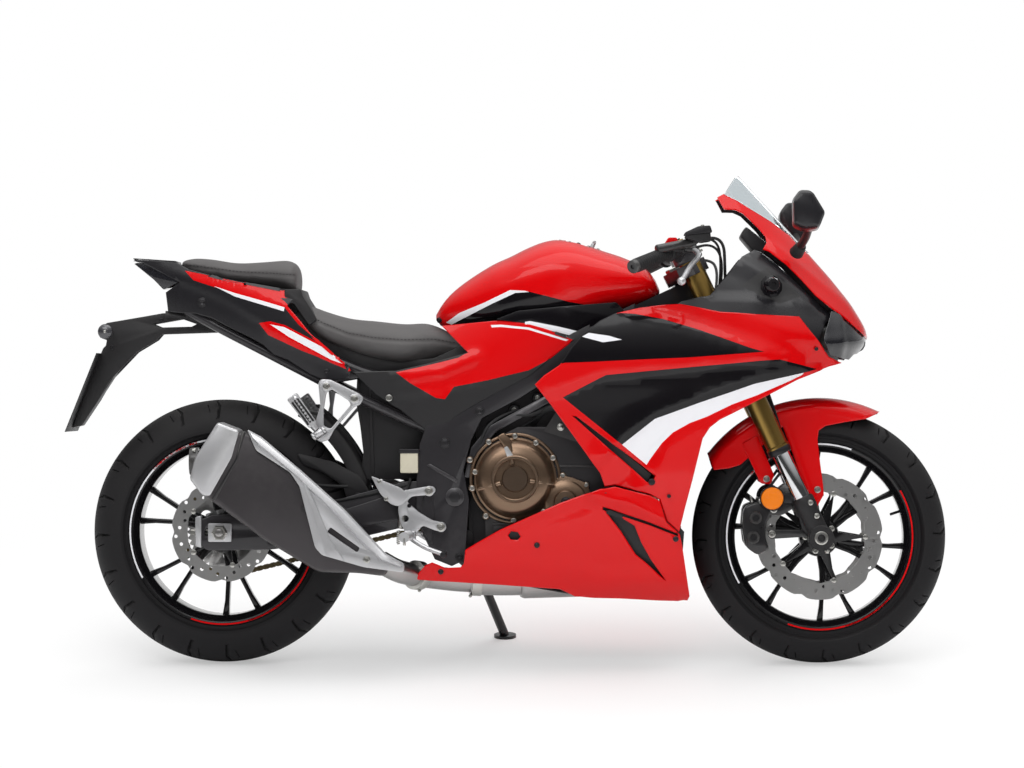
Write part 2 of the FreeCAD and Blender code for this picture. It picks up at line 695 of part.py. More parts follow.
def seat_rail():
    """Return the rear subframe: two tubes a side and three cross tubes."""
    line = FRAME_INNER_FACE - RAIL_RADIUS
    upper = [(548, line, 628), (330, line, 690), (200, line, 742), (-110, 50, 856)]
    lower = [(500, line, 548), (245, line, 664), (0, 70, 790), (-106, 50, 846)]
    pieces = []
    for route in (upper, lower):
        tube = bent_tube(route, RAIL_RADIUS, 60.0)
        pieces += [tube, mirrored(tube)]
    for x, half, z in ((330, line - 4, 690), (60, 72, 793), (-90, 50, 848)):
        pieces.append(rod((x, -half, z), (x, half, z), RAIL_RADIUS - 3))
    return fuse(pieces)


def engine_block():
    """Return the engine mass: crankcase, gearbox and forward-leaning cylinders."""
    crankcase = [(625, 245), (622, 520), (700, 560), (800, 560), (960, 500), (975, 330), (930, 240),
                 (660, 236)]
    gearbox = [(584, 300), (584, 380), (640, 520), (640, 250), (600, 262)]
    cylinders = [(760, 550), (850, 690), (1000, 700), (1034, 620), (950, 490)]
    case = side_plate(crankcase, -148.0, 148.0)
    rear = side_plate(gearbox, -96.0, 78.0)
    top = side_plate(cylinders, -150.0, 150.0)
    mount_low = ring((578, 300), 16.0, 0.0, -FRAME_INNER_FACE, FRAME_INNER_FACE)
    solid = fuse([case, rear, top, mount_low])
    chain_room = block((560, 690), (CHAIN_INNER_FACE - 5, 160), (330, 475))
    return solid.cut(chain_room)


def engine_covers():
    """Return the clutch cover, the generator cover and the front sprocket cover."""
    clutch_place = (694, 439)
    clutch = Part.makeCone(95, 84, 42, vec(clutch_place[0], -148, clutch_place[1]), vec(0, -1, 0))
    hub = ring(clutch_place, 44, 0.0, -196.0, -186.0)
    pump = Part.makeCone(54, 46, 30, vec(812, -148, 386), vec(0, -1, 0))
    right = fuse([clutch, hub, pump])
    generator = Part.makeCone(84, 72, 34, vec(810, 148, 404), vec(0, 1, 0))
    sprocket_cover = side_plate([(628, 352), (690, 352), (690, 470), (640, 470)], 122.0, 148.0)
    return Part.makeCompound([right, generator, sprocket_cover])


def radiator():
    """Return the radiator, tilted with its top forward, and its two hangers."""
    core = block((-14, 14), (-160, 160), (-135, 135))
    core.rotate(vec(0, 0, 0), vec(0, 1, 0), 12.0)
    core.translate(vec(1084, 0, 545))
    hanger = block((1074, 1097), (26, 40), (640, 768))
    frame_room = side_plate([(900, 762), (980, 762), (1100, 770), (1200, 770), (1200, 900), (900, 900)], 0,
                            60)
    hanger = hanger.cut(frame_room)
    return fuse([core, hanger, mirrored(hanger)])


def link_pipe():
    """Return the pipe from the collector into the muffler's socket."""
    route = [(600, -60, 195), (500, -80, 205), (420, MUFFLER_LINE + 23, 225), (385, MUFFLER_LINE, 243)]
    return bent_tube(route, 27.0, 60.0)


def exhaust_pipe():
    """Return the four header pipes, the collector and the link pipe in one solid."""
    headers = []
    for line in (-75, -25, 25, 75):
        route = [(1018, line, 650), (1044, line, 588), (1000, line, 345), (925, line * 0.5, 205)]
        headers.append(bent_tube(route, 17.0, 55.0))
    collector = bent_tube([(935, 0, 205), (830, -20, 194), (640, -52, 192), (585, -60, 195)], 32.0, 160.0)
    solid = fuse(headers + [collector, link_pipe()])
    engine_room = side_plate([(600, 236), (930, 236), (975, 330), (965, 500), (1034, 620), (1001, 698),
                              (600, 698)],
                             -150.0, 150.0)
    return solid.cut(engine_room)


def muffler():
    """Return the muffler body with its end cap and heat shield."""
    body_outline = [(5, 572), (56, 553), (98, 535), (186, 442), (300, 368), (404, 246), (396, 214),
                    (330, 222),
                    (237, 224), (114, 298), (-30, 403), (-60, 442), (-46, 489)]
    outer_face = -MUFFLER_INNER_FACE - MUFFLER_WIDTH
    body = side_plate(body_outline, outer_face, -MUFFLER_INNER_FACE)
    inside = offset_outline(body_outline, MUFFLER_WALL)
    body = body.cut(side_plate(inside, outer_face + MUFFLER_WALL, -MUFFLER_INNER_FACE - MUFFLER_WALL))
    shield_outline = [(74, 554), (109, 535), (197, 461), (301, 368), (417, 241), (401, 211), (266, 248),
                      (248, 269), (192, 438), (95, 503)]
    shield = side_plate(shield_outline, outer_face - SHIELD_THICKNESS, outer_face)
    solid = fuse([body, shield])
    bore = rod((0, MUFFLER_LINE, 480), (-60, MUFFLER_LINE, 480), MUFFLER_OUTLET_RADIUS)
    return largest(solid.cut(link_pipe()).cut(bore))


def swingarm():
    """Return the swingarm with its cross member and pivot spindle."""
    front_part = [(300, 296), (430, 326), (556, 368), (566, 424), (540, 432), (434, 430), (293, 392)]
    rear_part = [(120, 44), (-20, 38), (-48, 26), (-52, -22), (-30, -40), (120, -38)]
    arm_outline = front_part + at_rear_axle(rear_part)
    inner = SWINGARM_INNER_FACE
    outer = inner + SWINGARM_THICKNESS
    arm = side_plate(arm_outline, inner, outer)
    plate_room = side_plate([(462, 250), (600, 250), (600, 600), (462, 600)], FRAME_INNER_FACE, outer + 1)
    arm = arm.cut(plate_room)
    arm = largest(arm)
    cross = block((372, 460), (-inner, inner), (345, 415))
    pivot_tube = ring(SWINGARM_PIVOT, 24.0, 0.0, -CHAIN_INNER_FACE + 8, CHAIN_INNER_FACE - 8)
    link = block((460, 548), (-70, 70), (375, 412))
    spindle = ring(SWINGARM_PIVOT, PIVOT_RADIUS, 0.0, -FRAME_INNER_FACE - FRAME_THICKNESS,
                   FRAME_INNER_FACE + FRAME_THICKNESS)
    solid = fuse([arm, mirrored(arm), cross, pivot_tube, link, spindle])
    axle_hole = ring(REAR_AXLE, REAR_AXLE_RADIUS, 0.0, -200.0, 200.0)
    spool_hole = ring(SPOOL_PLACE, SPOOL_HOLE_RADIUS, 0.0, outer - SPOOL_HOLE_DEPTH, outer + 10)
    return solid.cut(axle_hole).cut(spool_hole).cut(mirrored(spool_hole))


def chain_run(inner_gap):
    """Return the closed outline of the chain's inner face as a solid disc pair and band."""
    rear_radius = SPROCKET_RADIUS + inner_gap
    front_radius = FRONT_SPROCKET_RADIUS + inner_gap
    x0, z0 = REAR_AXLE
    x1, z1 = FRONT_SPROCKET_PLACE
    reach = math.hypot(x1 - x0, z1 - z0)
    heading = math.atan2(z1 - z0, x1 - x0)
    spread = math.acos((rear_radius - front_radius) / reach)
    corners = []
    for side in (1, -1):
        angle = heading + side * spread
        corners.append((x0 + rear_radius * math.cos(angle), z0 + rear_radius * math.sin(angle)))
        corners.append((x1 + front_radius * math.cos(angle), z1 + front_radius * math.sin(angle)))
    outline = [corners[0], corners[1], corners[3], corners[2]]
    low, high = CHAIN_INNER_FACE, CHAIN_INNER_FACE + CHAIN_WIDTH
    return fuse([
        side_plate(outline, low, high),
        ring(REAR_AXLE, rear_radius, 0.0, low, high),
        ring(FRONT_SPROCKET_PLACE, front_radius, 0.0, low, high),
    ])


def drive_chain():
    """Return the chain as one closed band with the front sprocket inside it."""
    band = chain_run(CHAIN_CLEARANCE + CHAIN_THICKNESS).cut(chain_run(CHAIN_CLEARANCE))
    front = ring(FRONT_SPROCKET_PLACE, FRONT_SPROCKET_RADIUS + CHAIN_CLEARANCE, 8.0,
                 CHAIN_INNER_FACE - 5, CHAIN_INNER_FACE + CHAIN_WIDTH)
    return fuse([band, front])


def rear_caliper():
    """Return the rear caliper and the bracket that holds it on the swingarm."""
    outline = at_rear_axle([(38, 44), (92, 38), (128, 60), (112, 113), (66, 128), (40, 106)])
    outer = side_plate(outline, -SWINGARM_INNER_FACE - 14, -70.0)
    gap = 2.0
    face = REAR_DISC_INNER_FACE
    slot = ring(REAR_AXLE, REAR_DISC_RADIUS + 8, 0.0, -face - DISC_THICKNESS - gap, -face + gap)
    return outer.cut(slot)


def rear_shock():
    """Return the rear spring and damper between frame and swingarm."""
    body = rod((478, 0, 560), (440, 0, 416), 30.0)
    eye = rod((478, -18, 560), (478, 18, 560), 16.0)
    solid = fuse([body, eye])
    cross = rod((520, -60, 560), (520, 60, 560), 22.0)
    link = rod((478, 0, 560), (520, 0, 560), 12.0)
    return largest(fuse([solid, link]).cut(cross).cut(swingarm()))


def rear_hugger():
    """Return the inner mudguard over the front of the rear tyre."""
    inner_radius = REAR_TYRE_RADIUS + 10.0
    profile = [
        (inner_radius + 4, -60), (inner_radius + 4, 60), (inner_radius - 30, 79), (inner_radius - 34, 76),
        (inner_radius, 58), (inner_radius, -58), (inner_radius - 34, -76), (inner_radius - 30, -79),
    ]
    points = [vec(0, across, radius) for radius, across in profile]
    face = Part.Face(Part.makePolygon(points + points[:1]))
    face.rotate(vec(0, 0, 0), vec(0, 1, 0), 36.0)
    guard = face.revolve(vec(0, 0, 0), vec(0, 1, 0), 42.0)
    guard.translate(vec(REAR_AXLE[0], 0, REAR_AXLE[1]))
    reach = inner_radius
    stay_outline = at_rear_axle([(reach - 72, 168), (reach + 8, 128), (reach + 23, 88), (reach - 22, 68)])
    stay = side_plate(stay_outline, -SWINGARM_INNER_FACE, -SWINGARM_INNER_FACE + 8)
    bridge_low, bridge_high = 128, 144
    bridge_outline = at_rear_axle([(reach - 54, bridge_low), (reach - 22, bridge_low),
                                   (reach - 22, bridge_high), (reach - 54, bridge_high)])
    return fuse([guard, stay, side_plate(bridge_outline, -SWINGARM_INNER_FACE + 2, -56)])


def rear_body():
    """Return the pieces round the rear wheel that the chassis carries."""
    span = SWINGARM_INNER_FACE + SWINGARM_THICKNESS + 14
    axle = fuse([
        ring(REAR_AXLE, REAR_AXLE_RADIUS, 0.0, -span, span),
        ring(REAR_AXLE, REAR_AXLE_RADIUS + 7, 0.0, -span + 2, -span + 14),
        ring(REAR_AXLE, REAR_AXLE_RADIUS + 7, 0.0, span - 14, span - 2),
    ])
    return {
        "swingarm": swingarm(),
        "rear_axle": axle,
        "drive_chain": drive_chain(),
        "rear_caliper": largest(rear_caliper().cut(swingarm())),
        "rear_shock": rear_shock(),
        "rear_hugger": rear_hugger(),
    }


def fuel_tank():
    """Return the fuel tank: a crowned solid that narrows towards the seat."""
    stations = [
        (506, 42, 842, 794), (560, 78, 896, 790), (640, 112, 946, 800), (720, 138, 986, 800),
        (790, 147, 1002, 806), (860, 146, 988, 816), (940, 136, 964, 838), (1000, 112, 930, 858),
        (1026, 74, 900, 868),
    ]
    sections = [saddle_section(x, half, top, bottom) for x, half, top, bottom in stations]
    tank = loft_sections(sections)
    seat_pad = block((840, 880), (106, 132), (785, 836))
    return fuse([tank, seat_pad, mirrored(seat_pad)])


def cushion(stations):
    """Return a soft saddle solid through (x, half width, top, bottom) stations."""
    return loft_sections([saddle_section(x, half, top, bottom, 3.0) for x, half, top, bottom in stations])


def rider_seat():
    """Return the rider's seat."""
    return cushion([
        (196, 92, 850, 786), (260, 108, 822, 752), (350, 116, 808, 738), (440, 104, 800, 716),
        (500, 84, 804, 722), (545, 66, 786, 726), (576, 48, 762, 730),
    ])


def pillion_seat():
    """Return the pillion seat on the tail."""
    return cushion(PILLION_STATIONS)


def tail_cowl():
    """Return the painted tail: two side walls joined by the rear top cover."""
    outline = [
        (-206, 952), (-112, 946), (-80, 922), (46, 900), (160, 868), (196, 846), (293, 736), (305, 689),
        (340, 614), (239, 668), (187, 703), (136, 726), (98, 757), (18, 792), (-83, 827), (-130, 834),
        (-141, 878), (-165, 908),
    ]
    outer = TAIL_PLAN + [(-216.0, 0.0), (345.0, 0.0)]
    inner = [(x, half - TAIL_WALL) for x, half in TAIL_PLAN] + [(-220.0, 44.0), (-220.0, -1.0), (350.0, -1.0)]
    band = plan_plate(outer, 600.0, 1000.0).cut(plan_plate(inner, 590.0, 1010.0))
    wall = side_plate(outline, 0.0, 200.0).common(band)
    wall = wall.cut(block((-230, -60), (-1, 40), (500, 1000)))
    cover = side_plate([(-216, 959), (-112, 952), (-112, 946), (-206, 950)], 0.0, 60.0)
    top_line = [(x, bottom - SEAT_GAP) for x, _, _, bottom in PILLION_STATIONS]
    under_line = [(x, z - TAIL_WALL) for x, z in reversed(top_line)]
    deck = side_plate(top_line + under_line, 0.0, 150.0)
    halves = [part.common(plan_plate(outer, 600.0, 1000.0)) for part in (cover, deck)]
    halves += [mirrored(part) for part in halves]
    return fuse([wall, mirrored(wall)] + halves)


def signal_point(across):
    """Return a point on the rear turn signals' line."""
    return (REAR_AXLE[0] + SIGNAL_PLACE[0], across, SIGNAL_PLACE[1])


def rear_fender():
    """Return the under-tail tray and the arm that carries the number plate."""
    tray = side_plate(
        [(-136, 834), (-83, 829), (18, 794), (98, 759), (136, 728), (187, 705), (239, 670), (330, 622),
         (330, 612), (239, 658), (187, 692), (136, 714), (98, 746), (18, 780), (-83, 815), (-138, 818)],
        -60.0, 60.0)
    arm = side_plate(
        [(-138, 829), (-90, 826), (12, 788), (4, 780), (-149, 778), (-161, 765)]
        + behind_rear_axle([(-209, 736), (-244, 699), (-272, 670), (-340, 560), PLATE_HOLDER_BOTTOM,
                            PLATE_HOLDER_TOP, (-280, 765), (-280, 807)]),
        -26.0, 26.0)
    bar = rod(signal_point(-82), signal_point(82), 7.0)
    return fuse([tray, arm, bar])


def number_plate():
    """Return the blank number plate, hung on the arm's rear face."""
    top, bottom = behind_rear_axle([PLATE_HOLDER_TOP, PLATE_HOLDER_BOTTOM])
    slope = math.degrees(math.atan2(top[0] - bottom[0], top[1] - bottom[1]))
    plate = block((-PLATE_WALL, 0.0), (-PLATE_WIDTH / 2, PLATE_WIDTH / 2),
                  (-PLATE_HEIGHT / 2, PLATE_HEIGHT / 2))
    plate.rotate(vec(0, 0, 0), vec(0, 1, 0), slope)
    plate.translate(vec((top[0] + bottom[0]) / 2, 0, (top[1] + bottom[1]) / 2))
    return plate


def rear_lamps():
    """Return the tail lamp and the two rear turn signals."""
    inner = [(x, half - TAIL_WALL) for x, half in TAIL_PLAN]
    inner += [(x, -half) for x, half in reversed(inner)]
    tail = side_plate([(-213, 946), (-205, 948), (-120, 944), (-104, 900), (-141, 884), (-165, 908)],
                      -100.0, 100.0)
    tail = tail.common(plan_plate(inner, 600.0, 1000.0))
    pod = rod(signal_point(82), signal_point(126), 17.0)
    return Part.makeCompound([tail, pod, mirrored(pod)])


def side_cover():
    """Return the left side cover between seat, tank and frame."""
    outline = [
        (307, 690), (413, 692), (500, 712), (581, 733), (572, 776), (646, 806), (740, 786), (833, 763),
        (752, 717), (728, 684), (553, 581), (494, 541),
    ]
    face = FRAME_INNER_FACE + FRAME_THICKNESS
    return side_plate(outline, face, face + SIDE_COVER_WALL)


def tank_and_seats():
    """Return the tank, seats, tail and what hangs under it."""
    frame = main_frame()
    tank = fuel_tank().cut(frame)
    seat = rider_seat().cut(tank)
    pillion = pillion_seat()
    tail = largest(tail_cowl().cut(seat).cut(pillion).cut(pair(pillion_bracket())))
    rail = seat_rail().cut(frame)
    fender = rear_fender().cut(rail)
    lamps = rear_lamps()
    cap_room = fuel_cap_seat()
    return {
        "main_frame": frame,
        "seat_rail": rail,
        "fuel_tank": fuse([tank.cut(cap_room), cap_hinge_pin()]),
        "rider_seat": seat,
        "pillion_seat": pillion,
        "tail_cowl": tail,
        "rear_fender": fender,
        "number_plate": number_plate(),
        "rear_lamps": lamps,
        "side_covers": pair(side_cover()),
    }


def cap_up():
    """Return the direction that the filler cap faces."""
    slope = math.radians(CAP_SLOPE_DEG)
    return vec(-math.sin(slope), 0, math.cos(slope))


def cap_hinge_point():
    """Return the hinge of the filler cap, at its front upper edge."""
    up = cap_up()
    return vec(CAP_PLACE[0], 0, CAP_PLACE[1]) + vec(up.z, 0, -up.x) * CAP_RADIUS


def across_hinge(half, radius):
    """Return a round piece on the filler cap's hinge line, reaching half its length each way."""
    reach = vec(0, half, 0)
    return rod(cap_hinge_point() - reach, cap_hinge_point() + reach, radius)


def cap_hinge_pin():
    """Return the filler cap's hinge pin between its two ears on the tank."""
    point = cap_hinge_point()
    top = point.z + CAP_PIN_RADIUS + CAP_EAR_WALL
    ear_inner, ear_outer = CAP_PIN_HALF - CAP_EAR_WIDTH, CAP_PIN_HALF + 1
    ear = block((point.x - 1, point.x + 11), (ear_inner, ear_outer), (top - 24, top))
    return fuse([across_hinge(CAP_PIN_HALF, CAP_PIN_RADIUS), ear, mirrored(ear)])


def fuel_cap_seat():
    """Return the recess in the tank's top for the filler cap and its hinge knuckle."""
    low = vec(CAP_PLACE[0], 0, CAP_PLACE[1]) - cap_up() * (CAP_THICKNESS + CAP_GAP)
    recess = Part.makeCylinder(CAP_RADIUS + CAP_GAP, CAP_THICKNESS + 30.0, low, cap_up())
    return recess.fuse(across_hinge(CAP_KNUCKLE_HALF + CAP_GAP, CAP_KNUCKLE_RADIUS + CAP_GAP))


def fuel_cap():
    """Return the filler cap with its hinge knuckle."""
    low = vec(CAP_PLACE[0], 0, CAP_PLACE[1]) - cap_up() * CAP_THICKNESS
    disc = Part.makeCylinder(CAP_RADIUS, CAP_THICKNESS, low, cap_up())
    pin_room = across_hinge(CAP_PIN_HALF, CAP_PIN_RADIUS + RUNNING_CLEARANCE)
    return fuse([disc, across_hinge(CAP_KNUCKLE_HALF, CAP_KNUCKLE_RADIUS)]).cut(pin_room)


def body_section(z, inset):
    """Return points round the bodywork's plan section at a height."""
    half = smooth(BODY_HALF_WIDTHS, z) - inset
    crest = smooth(BODY_CREST, z) - inset
    points = []
    steps = 9
    for step in range(steps):
        share = step / (steps - 1)
        angle = math.pi / 2 * share
        points.append((crest - NOSE_LENGTH * (1 - math.cos(angle)), half * math.sin(angle)))
    right = [vec(x, -y, z) for x, y in reversed(points)]
    left = [vec(x, y, z) for x, y in points[1:]]
    return right + left


def body_envelope(inset):
    """Return the solid inside the whole bodywork surface, drawn in by an inset."""
    wires = []
    heights = [140, 170, 220, 300, 440, 600, 700, 769, 835, 899, 958, 1000, 1080, 1170]
    for z in heights:
        curve = Part.BSplineCurve()
        points = body_section(z, inset)
        curve.interpolate(points)
        half = points[-1].y
        corners = [points[-1], vec(NOSE_BACK, half, z), vec(NOSE_BACK, -half, z), points[0]]
        edges = [curve.toShape()]
        for start, end in zip(corners, corners[1:]):
            edges.append(Part.LineSegment(start, end).toShape())
        wires.append(Part.Wire(edges))
    return Part.makeLoft(wires, True, False)


def bodywork():
    """Return the fairing panels, screen, headlamp, dash and mirrors."""
    outer = body_envelope(0.0)
    inner = body_envelope(PANEL_WALL)
    screen_inner = body_envelope(SCREEN_WALL)
    shell = outer.cut(inner)
    side_outline = [
        (741, 658), (799, 709), (850, 768), (892, 809), (934, 828), (985, 844), *FAIRING_TOP_EDGE,
        *LAMP_REAR_EDGE[1:], (1425, 695), (1262, 626), (1151, 554), (1130, 508), (1100, 392),
        *reversed(FAIRING_LOWER_SEAM), (892, 473), (834, 554), (764, 623),
    ]
    side_panel = shell.common(side_plate(side_outline, 5.0, 300.0))
    belly_outline = [
        (469, 207), (497, 237), (520, 251), (590, 279), (659, 310), (834, 386), *FAIRING_LOWER_SEAM,
        (1080, 251), (1101, 163), (1092, 151), (1031, 154), (834, 163), (752, 186),
    ]
    belly_panel = shell.common(side_plate(belly_outline, 5.0, 300.0))
    stand_room = block((400, STAND_ROOM_FRONT), (5, 300), (100, 300))
    left_belly = largest(belly_panel.cut(stand_room))
    bridge = side_plate([(1060, 230), (1084, 230), (1098, 168), (1074, 168)], -170.0, 170.0).common(inner)
    belly = fuse([left_belly, mirrored(belly_panel), bridge])
    inner_outline = [*FAIRING_TOP_EDGE, (1437, 830), *list(reversed(COWL_INNER_EDGE))[1:], (1205, 925),
                     (1150, 884)]
    inner_panel = shell.common(side_plate(inner_outline, 5.0, 300.0))
    cowl_outline = [
        (1170, 1100), *SCREEN_EDGE, (1600, 956), (1600, 730), *reversed(LAMP_TOP_EDGE[1:]),
        *list(reversed(COWL_INNER_EDGE))[1:], (1282, 1000), (1268, 1023), (1240, 1051), (1210, 1072),
        (1181, 1078),
    ]
    cowl = shell.common(side_plate(cowl_outline, -300.0, 300.0))
    screen_outline = [*SCREEN_EDGE, (1600, 956), (1600, 1158), (1180, 1158)]
    screen = largest(outer.cut(screen_inner).common(side_plate(screen_outline, -300.0, 300.0)))
    lamp_outline = [*LAMP_TOP_EDGE, (1540, 735), (1488, 736), (1493, 711), *reversed(LAMP_REAR_EDGE[1:])]
    lamp = inner.common(side_plate(lamp_outline, -300.0, 300.0))
    return {
        "upper_cowl": cowl,
        "windscreen": screen,
        "side_fairing_right": mirrored(side_panel),
        "side_fairing_left": side_panel,
        "inner_panels": pair(inner_panel),
        "belly_cowl": belly,
        "headlight": lamp,
        "instrument_panel": instrument_panel(),
        "mirrors": pair(mirror()),
    }


def instrument_panel():
    """Return the dash and the stay that holds it on the frame's head tube."""
    dash = side_plate([(1222, 1010), (1236, 1034), (1290, 990), (1270, 962)], -70.0, 70.0)
    start = steer_point(850) + STEER_FRONT * (HEAD_TUBE_RADIUS - 1)
    stay_low = rod(start, (1262, 0, 880), 10.0)
    stay_high = rod((1262, 0, 874), (1264, 0, 985), 10.0)
    head = rod(steer_point(760), steer_point(930), HEAD_TUBE_RADIUS)
    return fuse([dash, stay_low, stay_high]).cut(head)


def mirror():
    """Return the left mirror on its stalk."""
    housing = block((1335, 1405), (292, 372), (1012, 1100))
    housing = housing.makeFillet(18.0, housing.Edges)
    stalk = rod((1360, 318, 1030), (1352, 86, 962), 9.0)
    outer = body_envelope(0.0)
    return fuse([housing, stalk]).cut(outer)


def peg_hanger():
    """Return the left rider peg hanger with its peg, heel guard and pedal."""
    frame_face = FRAME_INNER_FACE + FRAME_THICKNESS
    face = SWINGARM_INNER_FACE + SWINGARM_THICKNESS + 10
    outline = [
        (355, 444), (430, 406), (495, 418), (507, 404), (440, 388), (530, 335), (532, 312), (484, 320),
        (453, 297), (435, 320), (421, 367), (402, 378), (367, 413),
    ]
    plate = side_plate(outline, face + 10, face + 22)
    bosses = [ring(place, 12.0, 0.0, frame_face, face + 12) for place in ((492, 410), (520, 326))]
    peg = rod((448, face + 18, 306), (440, face + 145, 306), 11.0)
    pedal = rod((452, face + 30, 300), (528, face + 48, 264), 6.0)
    toe = rod((528, face + 46, 264), (528, face + 86, 264), 7.0)
    return fuse([plate, *bosses, peg, pedal, toe])


def peg_direction():
    """Return the way a pillion peg points when it is folded up."""
    slope = math.radians(PEG_SLOPE_DEG)
    return vec(-math.cos(slope), 0, math.sin(slope))


def peg_pin_direction():
    """Return the direction of a pillion peg's pin, square to the folded peg."""
    slope = math.radians(PEG_SLOPE_DEG)
    return vec(math.sin(slope), 0, math.cos(slope))


def along_pin(start, end, radius):
    """Return a round piece on the left peg's pin between two places along it."""
    pivot = vec(*PEG_PIVOT)
    return rod(pivot + peg_pin_direction() * start, pivot + peg_pin_direction() * end, radius)


def pillion_bracket():
    """Return the left pillion peg bracket, bolted to the seat rail, with the peg's clevis."""
    outline = [
        (232, 670), (262, 668), (332, 630), (322, 590), (300, 590), (262, 540), (256, 524), (222, 530),
        (222, 560),
        (240, 600),
    ]
    plate_inner, plate_outer = 150.0, 160.0
    hole = side_plate([(262, 632), (298, 610), (266, 570), (254, 600)], 0.0, 300.0)
    plate = side_plate(outline, plate_inner, plate_outer).cut(hole)
    line = FRAME_INNER_FACE
    bosses = [ring((253, 655), 9.0, 0.0, line, plate_outer), ring((316, 626), 9.0, 0.0, line, plate_outer)]
    ears = []
    for side in (1, -1):
        near, far = side * PEG_EAR_GAP / 2, side * (PEG_EAR_GAP / 2 + PEG_EAR_WALL)
        ear = along_pin(near, far, PEG_EYE_RADIUS)
        arm = Part.makeBox(PEG_EAR_WALL, PEG_PIVOT[1] - plate_outer + 2, PEG_EYE_RADIUS * 2)
        arm.translate(vec(min(near, far), plate_outer - 2 - PEG_PIVOT[1], -PEG_EYE_RADIUS))
        arm.rotate(vec(0, 0, 0), vec(0, 1, 0), PEG_SLOPE_DEG - 90)
        arm.translate(vec(*PEG_PIVOT))
        ears += [ear, arm]
    reach = PEG_EAR_GAP / 2 + PEG_EAR_WALL
    return fuse([plate, *bosses, *ears, along_pin(-reach, reach, PEG_PIN_RADIUS)])


def pillion_peg():
    """Return the left pillion peg, folded up against its bracket."""
    half = PEG_EAR_GAP / 2 - 0.5
    pivot = vec(*PEG_PIVOT)
    eye = along_pin(-half, half, PEG_EYE_RADIUS)
    arm = rod(pivot, pivot + peg_direction() * PEG_LENGTH, PEG_RADIUS)
    return fuse([eye, arm]).cut(along_pin(-half - 1, half + 1, PEG_PIN_RADIUS + RUNNING_CLEARANCE))


def stand_foot_point():
    """Return the middle of the stand foot's sole, on the floor of the leaned machine."""
    lean = math.radians(LEAN_DEG)
    height = (STAND_FOOT_OUT * math.sin(lean) - FLOOR_SINK) / math.cos(lean)
    return vec(STAND_PIVOT[0] + STAND_FOOT_FORWARD, STAND_FOOT_OUT, height)


def stand_axis():
    """Return the direction of the side stand's pivot bolt."""
    tilt = math.radians(STAND_AXIS_TILT_DEG)
    return vec(0, math.cos(tilt), math.sin(tilt))


def side_stand():
    """Return the side stand: eye, leg and foot pad that lies flat on the floor."""
    pivot = vec(*STAND_PIVOT)
    axis = stand_axis()
    eye = Part.makeCylinder(STAND_EYE_RADIUS, STAND_EYE_THICKNESS, pivot - axis * STAND_EYE_THICKNESS / 2,
                            axis)
    sole = stand_foot_point()
    lean = math.radians(LEAN_DEG)
    up = vec(0, -math.sin(lean), math.cos(lean))
    pad = Part.makeCylinder(STAND_FOOT_RADIUS, STAND_FOOT_THICKNESS, sole, up)
    ankle = sole + up * (STAND_FOOT_THICKNESS / 2)
    leg = rod(pivot + (ankle - pivot) * 0.06, ankle, STAND_LEG_RADIUS)
    below = Part.makeBox(400, 400, 60, sole + vec(-200, -200, -60))
    below.rotate(sole, vec(1, 0, 0), LEAN_DEG)
    hole = Part.makeCylinder(STAND_BOLT_RADIUS + RUNNING_CLEARANCE, 60.0, pivot - axis * 30, axis)
    half = STAND_EYE_THICKNESS / 2
    head_room = Part.makeCylinder(STAND_EYE_RADIUS - 3, 30.0, pivot + axis * half, axis)
    plate_room = Part.makeCylinder(STAND_EYE_RADIUS + 6, 30.0, pivot - axis * half, axis * -1)
    return largest(fuse([eye, pad, leg]).cut(below).cut(hole).cut(head_room).cut(plate_room))


def stand_bracket():
    """Return the bracket under the frame that holds the side stand's bolt."""
    pivot = vec(*STAND_PIVOT)
    axis = stand_axis()
    bolt = Part.makeCylinder(STAND_BOLT_RADIUS, 24.0, pivot - axis * 9, axis)
    head = Part.makeCylinder(10.0, 6.0, pivot + axis * 8, axis)
    plate = Part.makeCylinder(17.0, 8.0, pivot - axis * 16, axis)
    arm = rod(pivot - axis * 22, (545, 121, 248), 9.0)
    neck = Part.makeCylinder(9.0, 16.0, pivot - axis * 26, axis)
    return fuse([bolt, head, plate, arm, neck])


BODIES = {
    "front_fork": [
        "steering_yokes", "fork_outer_tubes", "fork_lowers", "front_calipers", "handlebars", "front_fender",
        "front_axle",
    ],
    "front_wheel": ["front_rim", "front_tyre", "front_discs"],
    "rear_wheel": ["rear_rim", "rear_tyre", "rear_disc", "rear_sprocket"],
    "side_stand": ["side_stand"],
    "fuel_cap": ["fuel_cap"],
    "pillion_peg_right": ["pillion_peg_right"],
    "pillion_peg_left": ["pillion_peg_left"],
}


def upright_pieces():
    """Return every piece of the upright machine by node name."""
    pieces = {}
    pieces.update(tank_and_seats())
    pieces.update(bodywork())
    pieces.update(rear_body())
    pieces.update(front_end())
    pieces.update(front_wheel())
    pieces.update(rear_wheel())
    pieces["main_frame"] = fuse([pieces["main_frame"], stand_bracket().cut(pieces["main_frame"])])
    pieces["engine_block"] = engine_block()
    pieces["engine_covers"] = engine_covers()
    pieces["radiator"] = radiator()
    pieces["exhaust_pipe"] = exhaust_pipe()
    pieces["muffler"] = muffler()
    pieces["peg_hangers"] = pair(peg_hanger())
    pieces["pillion_brackets"] = pair(pillion_bracket())
    pieces["pillion_peg_left"] = pillion_peg()
    pieces["pillion_peg_right"] = mirrored(pillion_peg())
    pieces["side_stand"] = side_stand()
    pieces["fuel_cap"] = fuel_cap()
    return pieces


def leaned(shape):
    """Return a shape turned from upright to its parked lean."""
    copy = shape.copy()
    copy.rotate(vec(0, 0, 0), vec(1, 0, 0), -LEAN_DEG)
    return copy


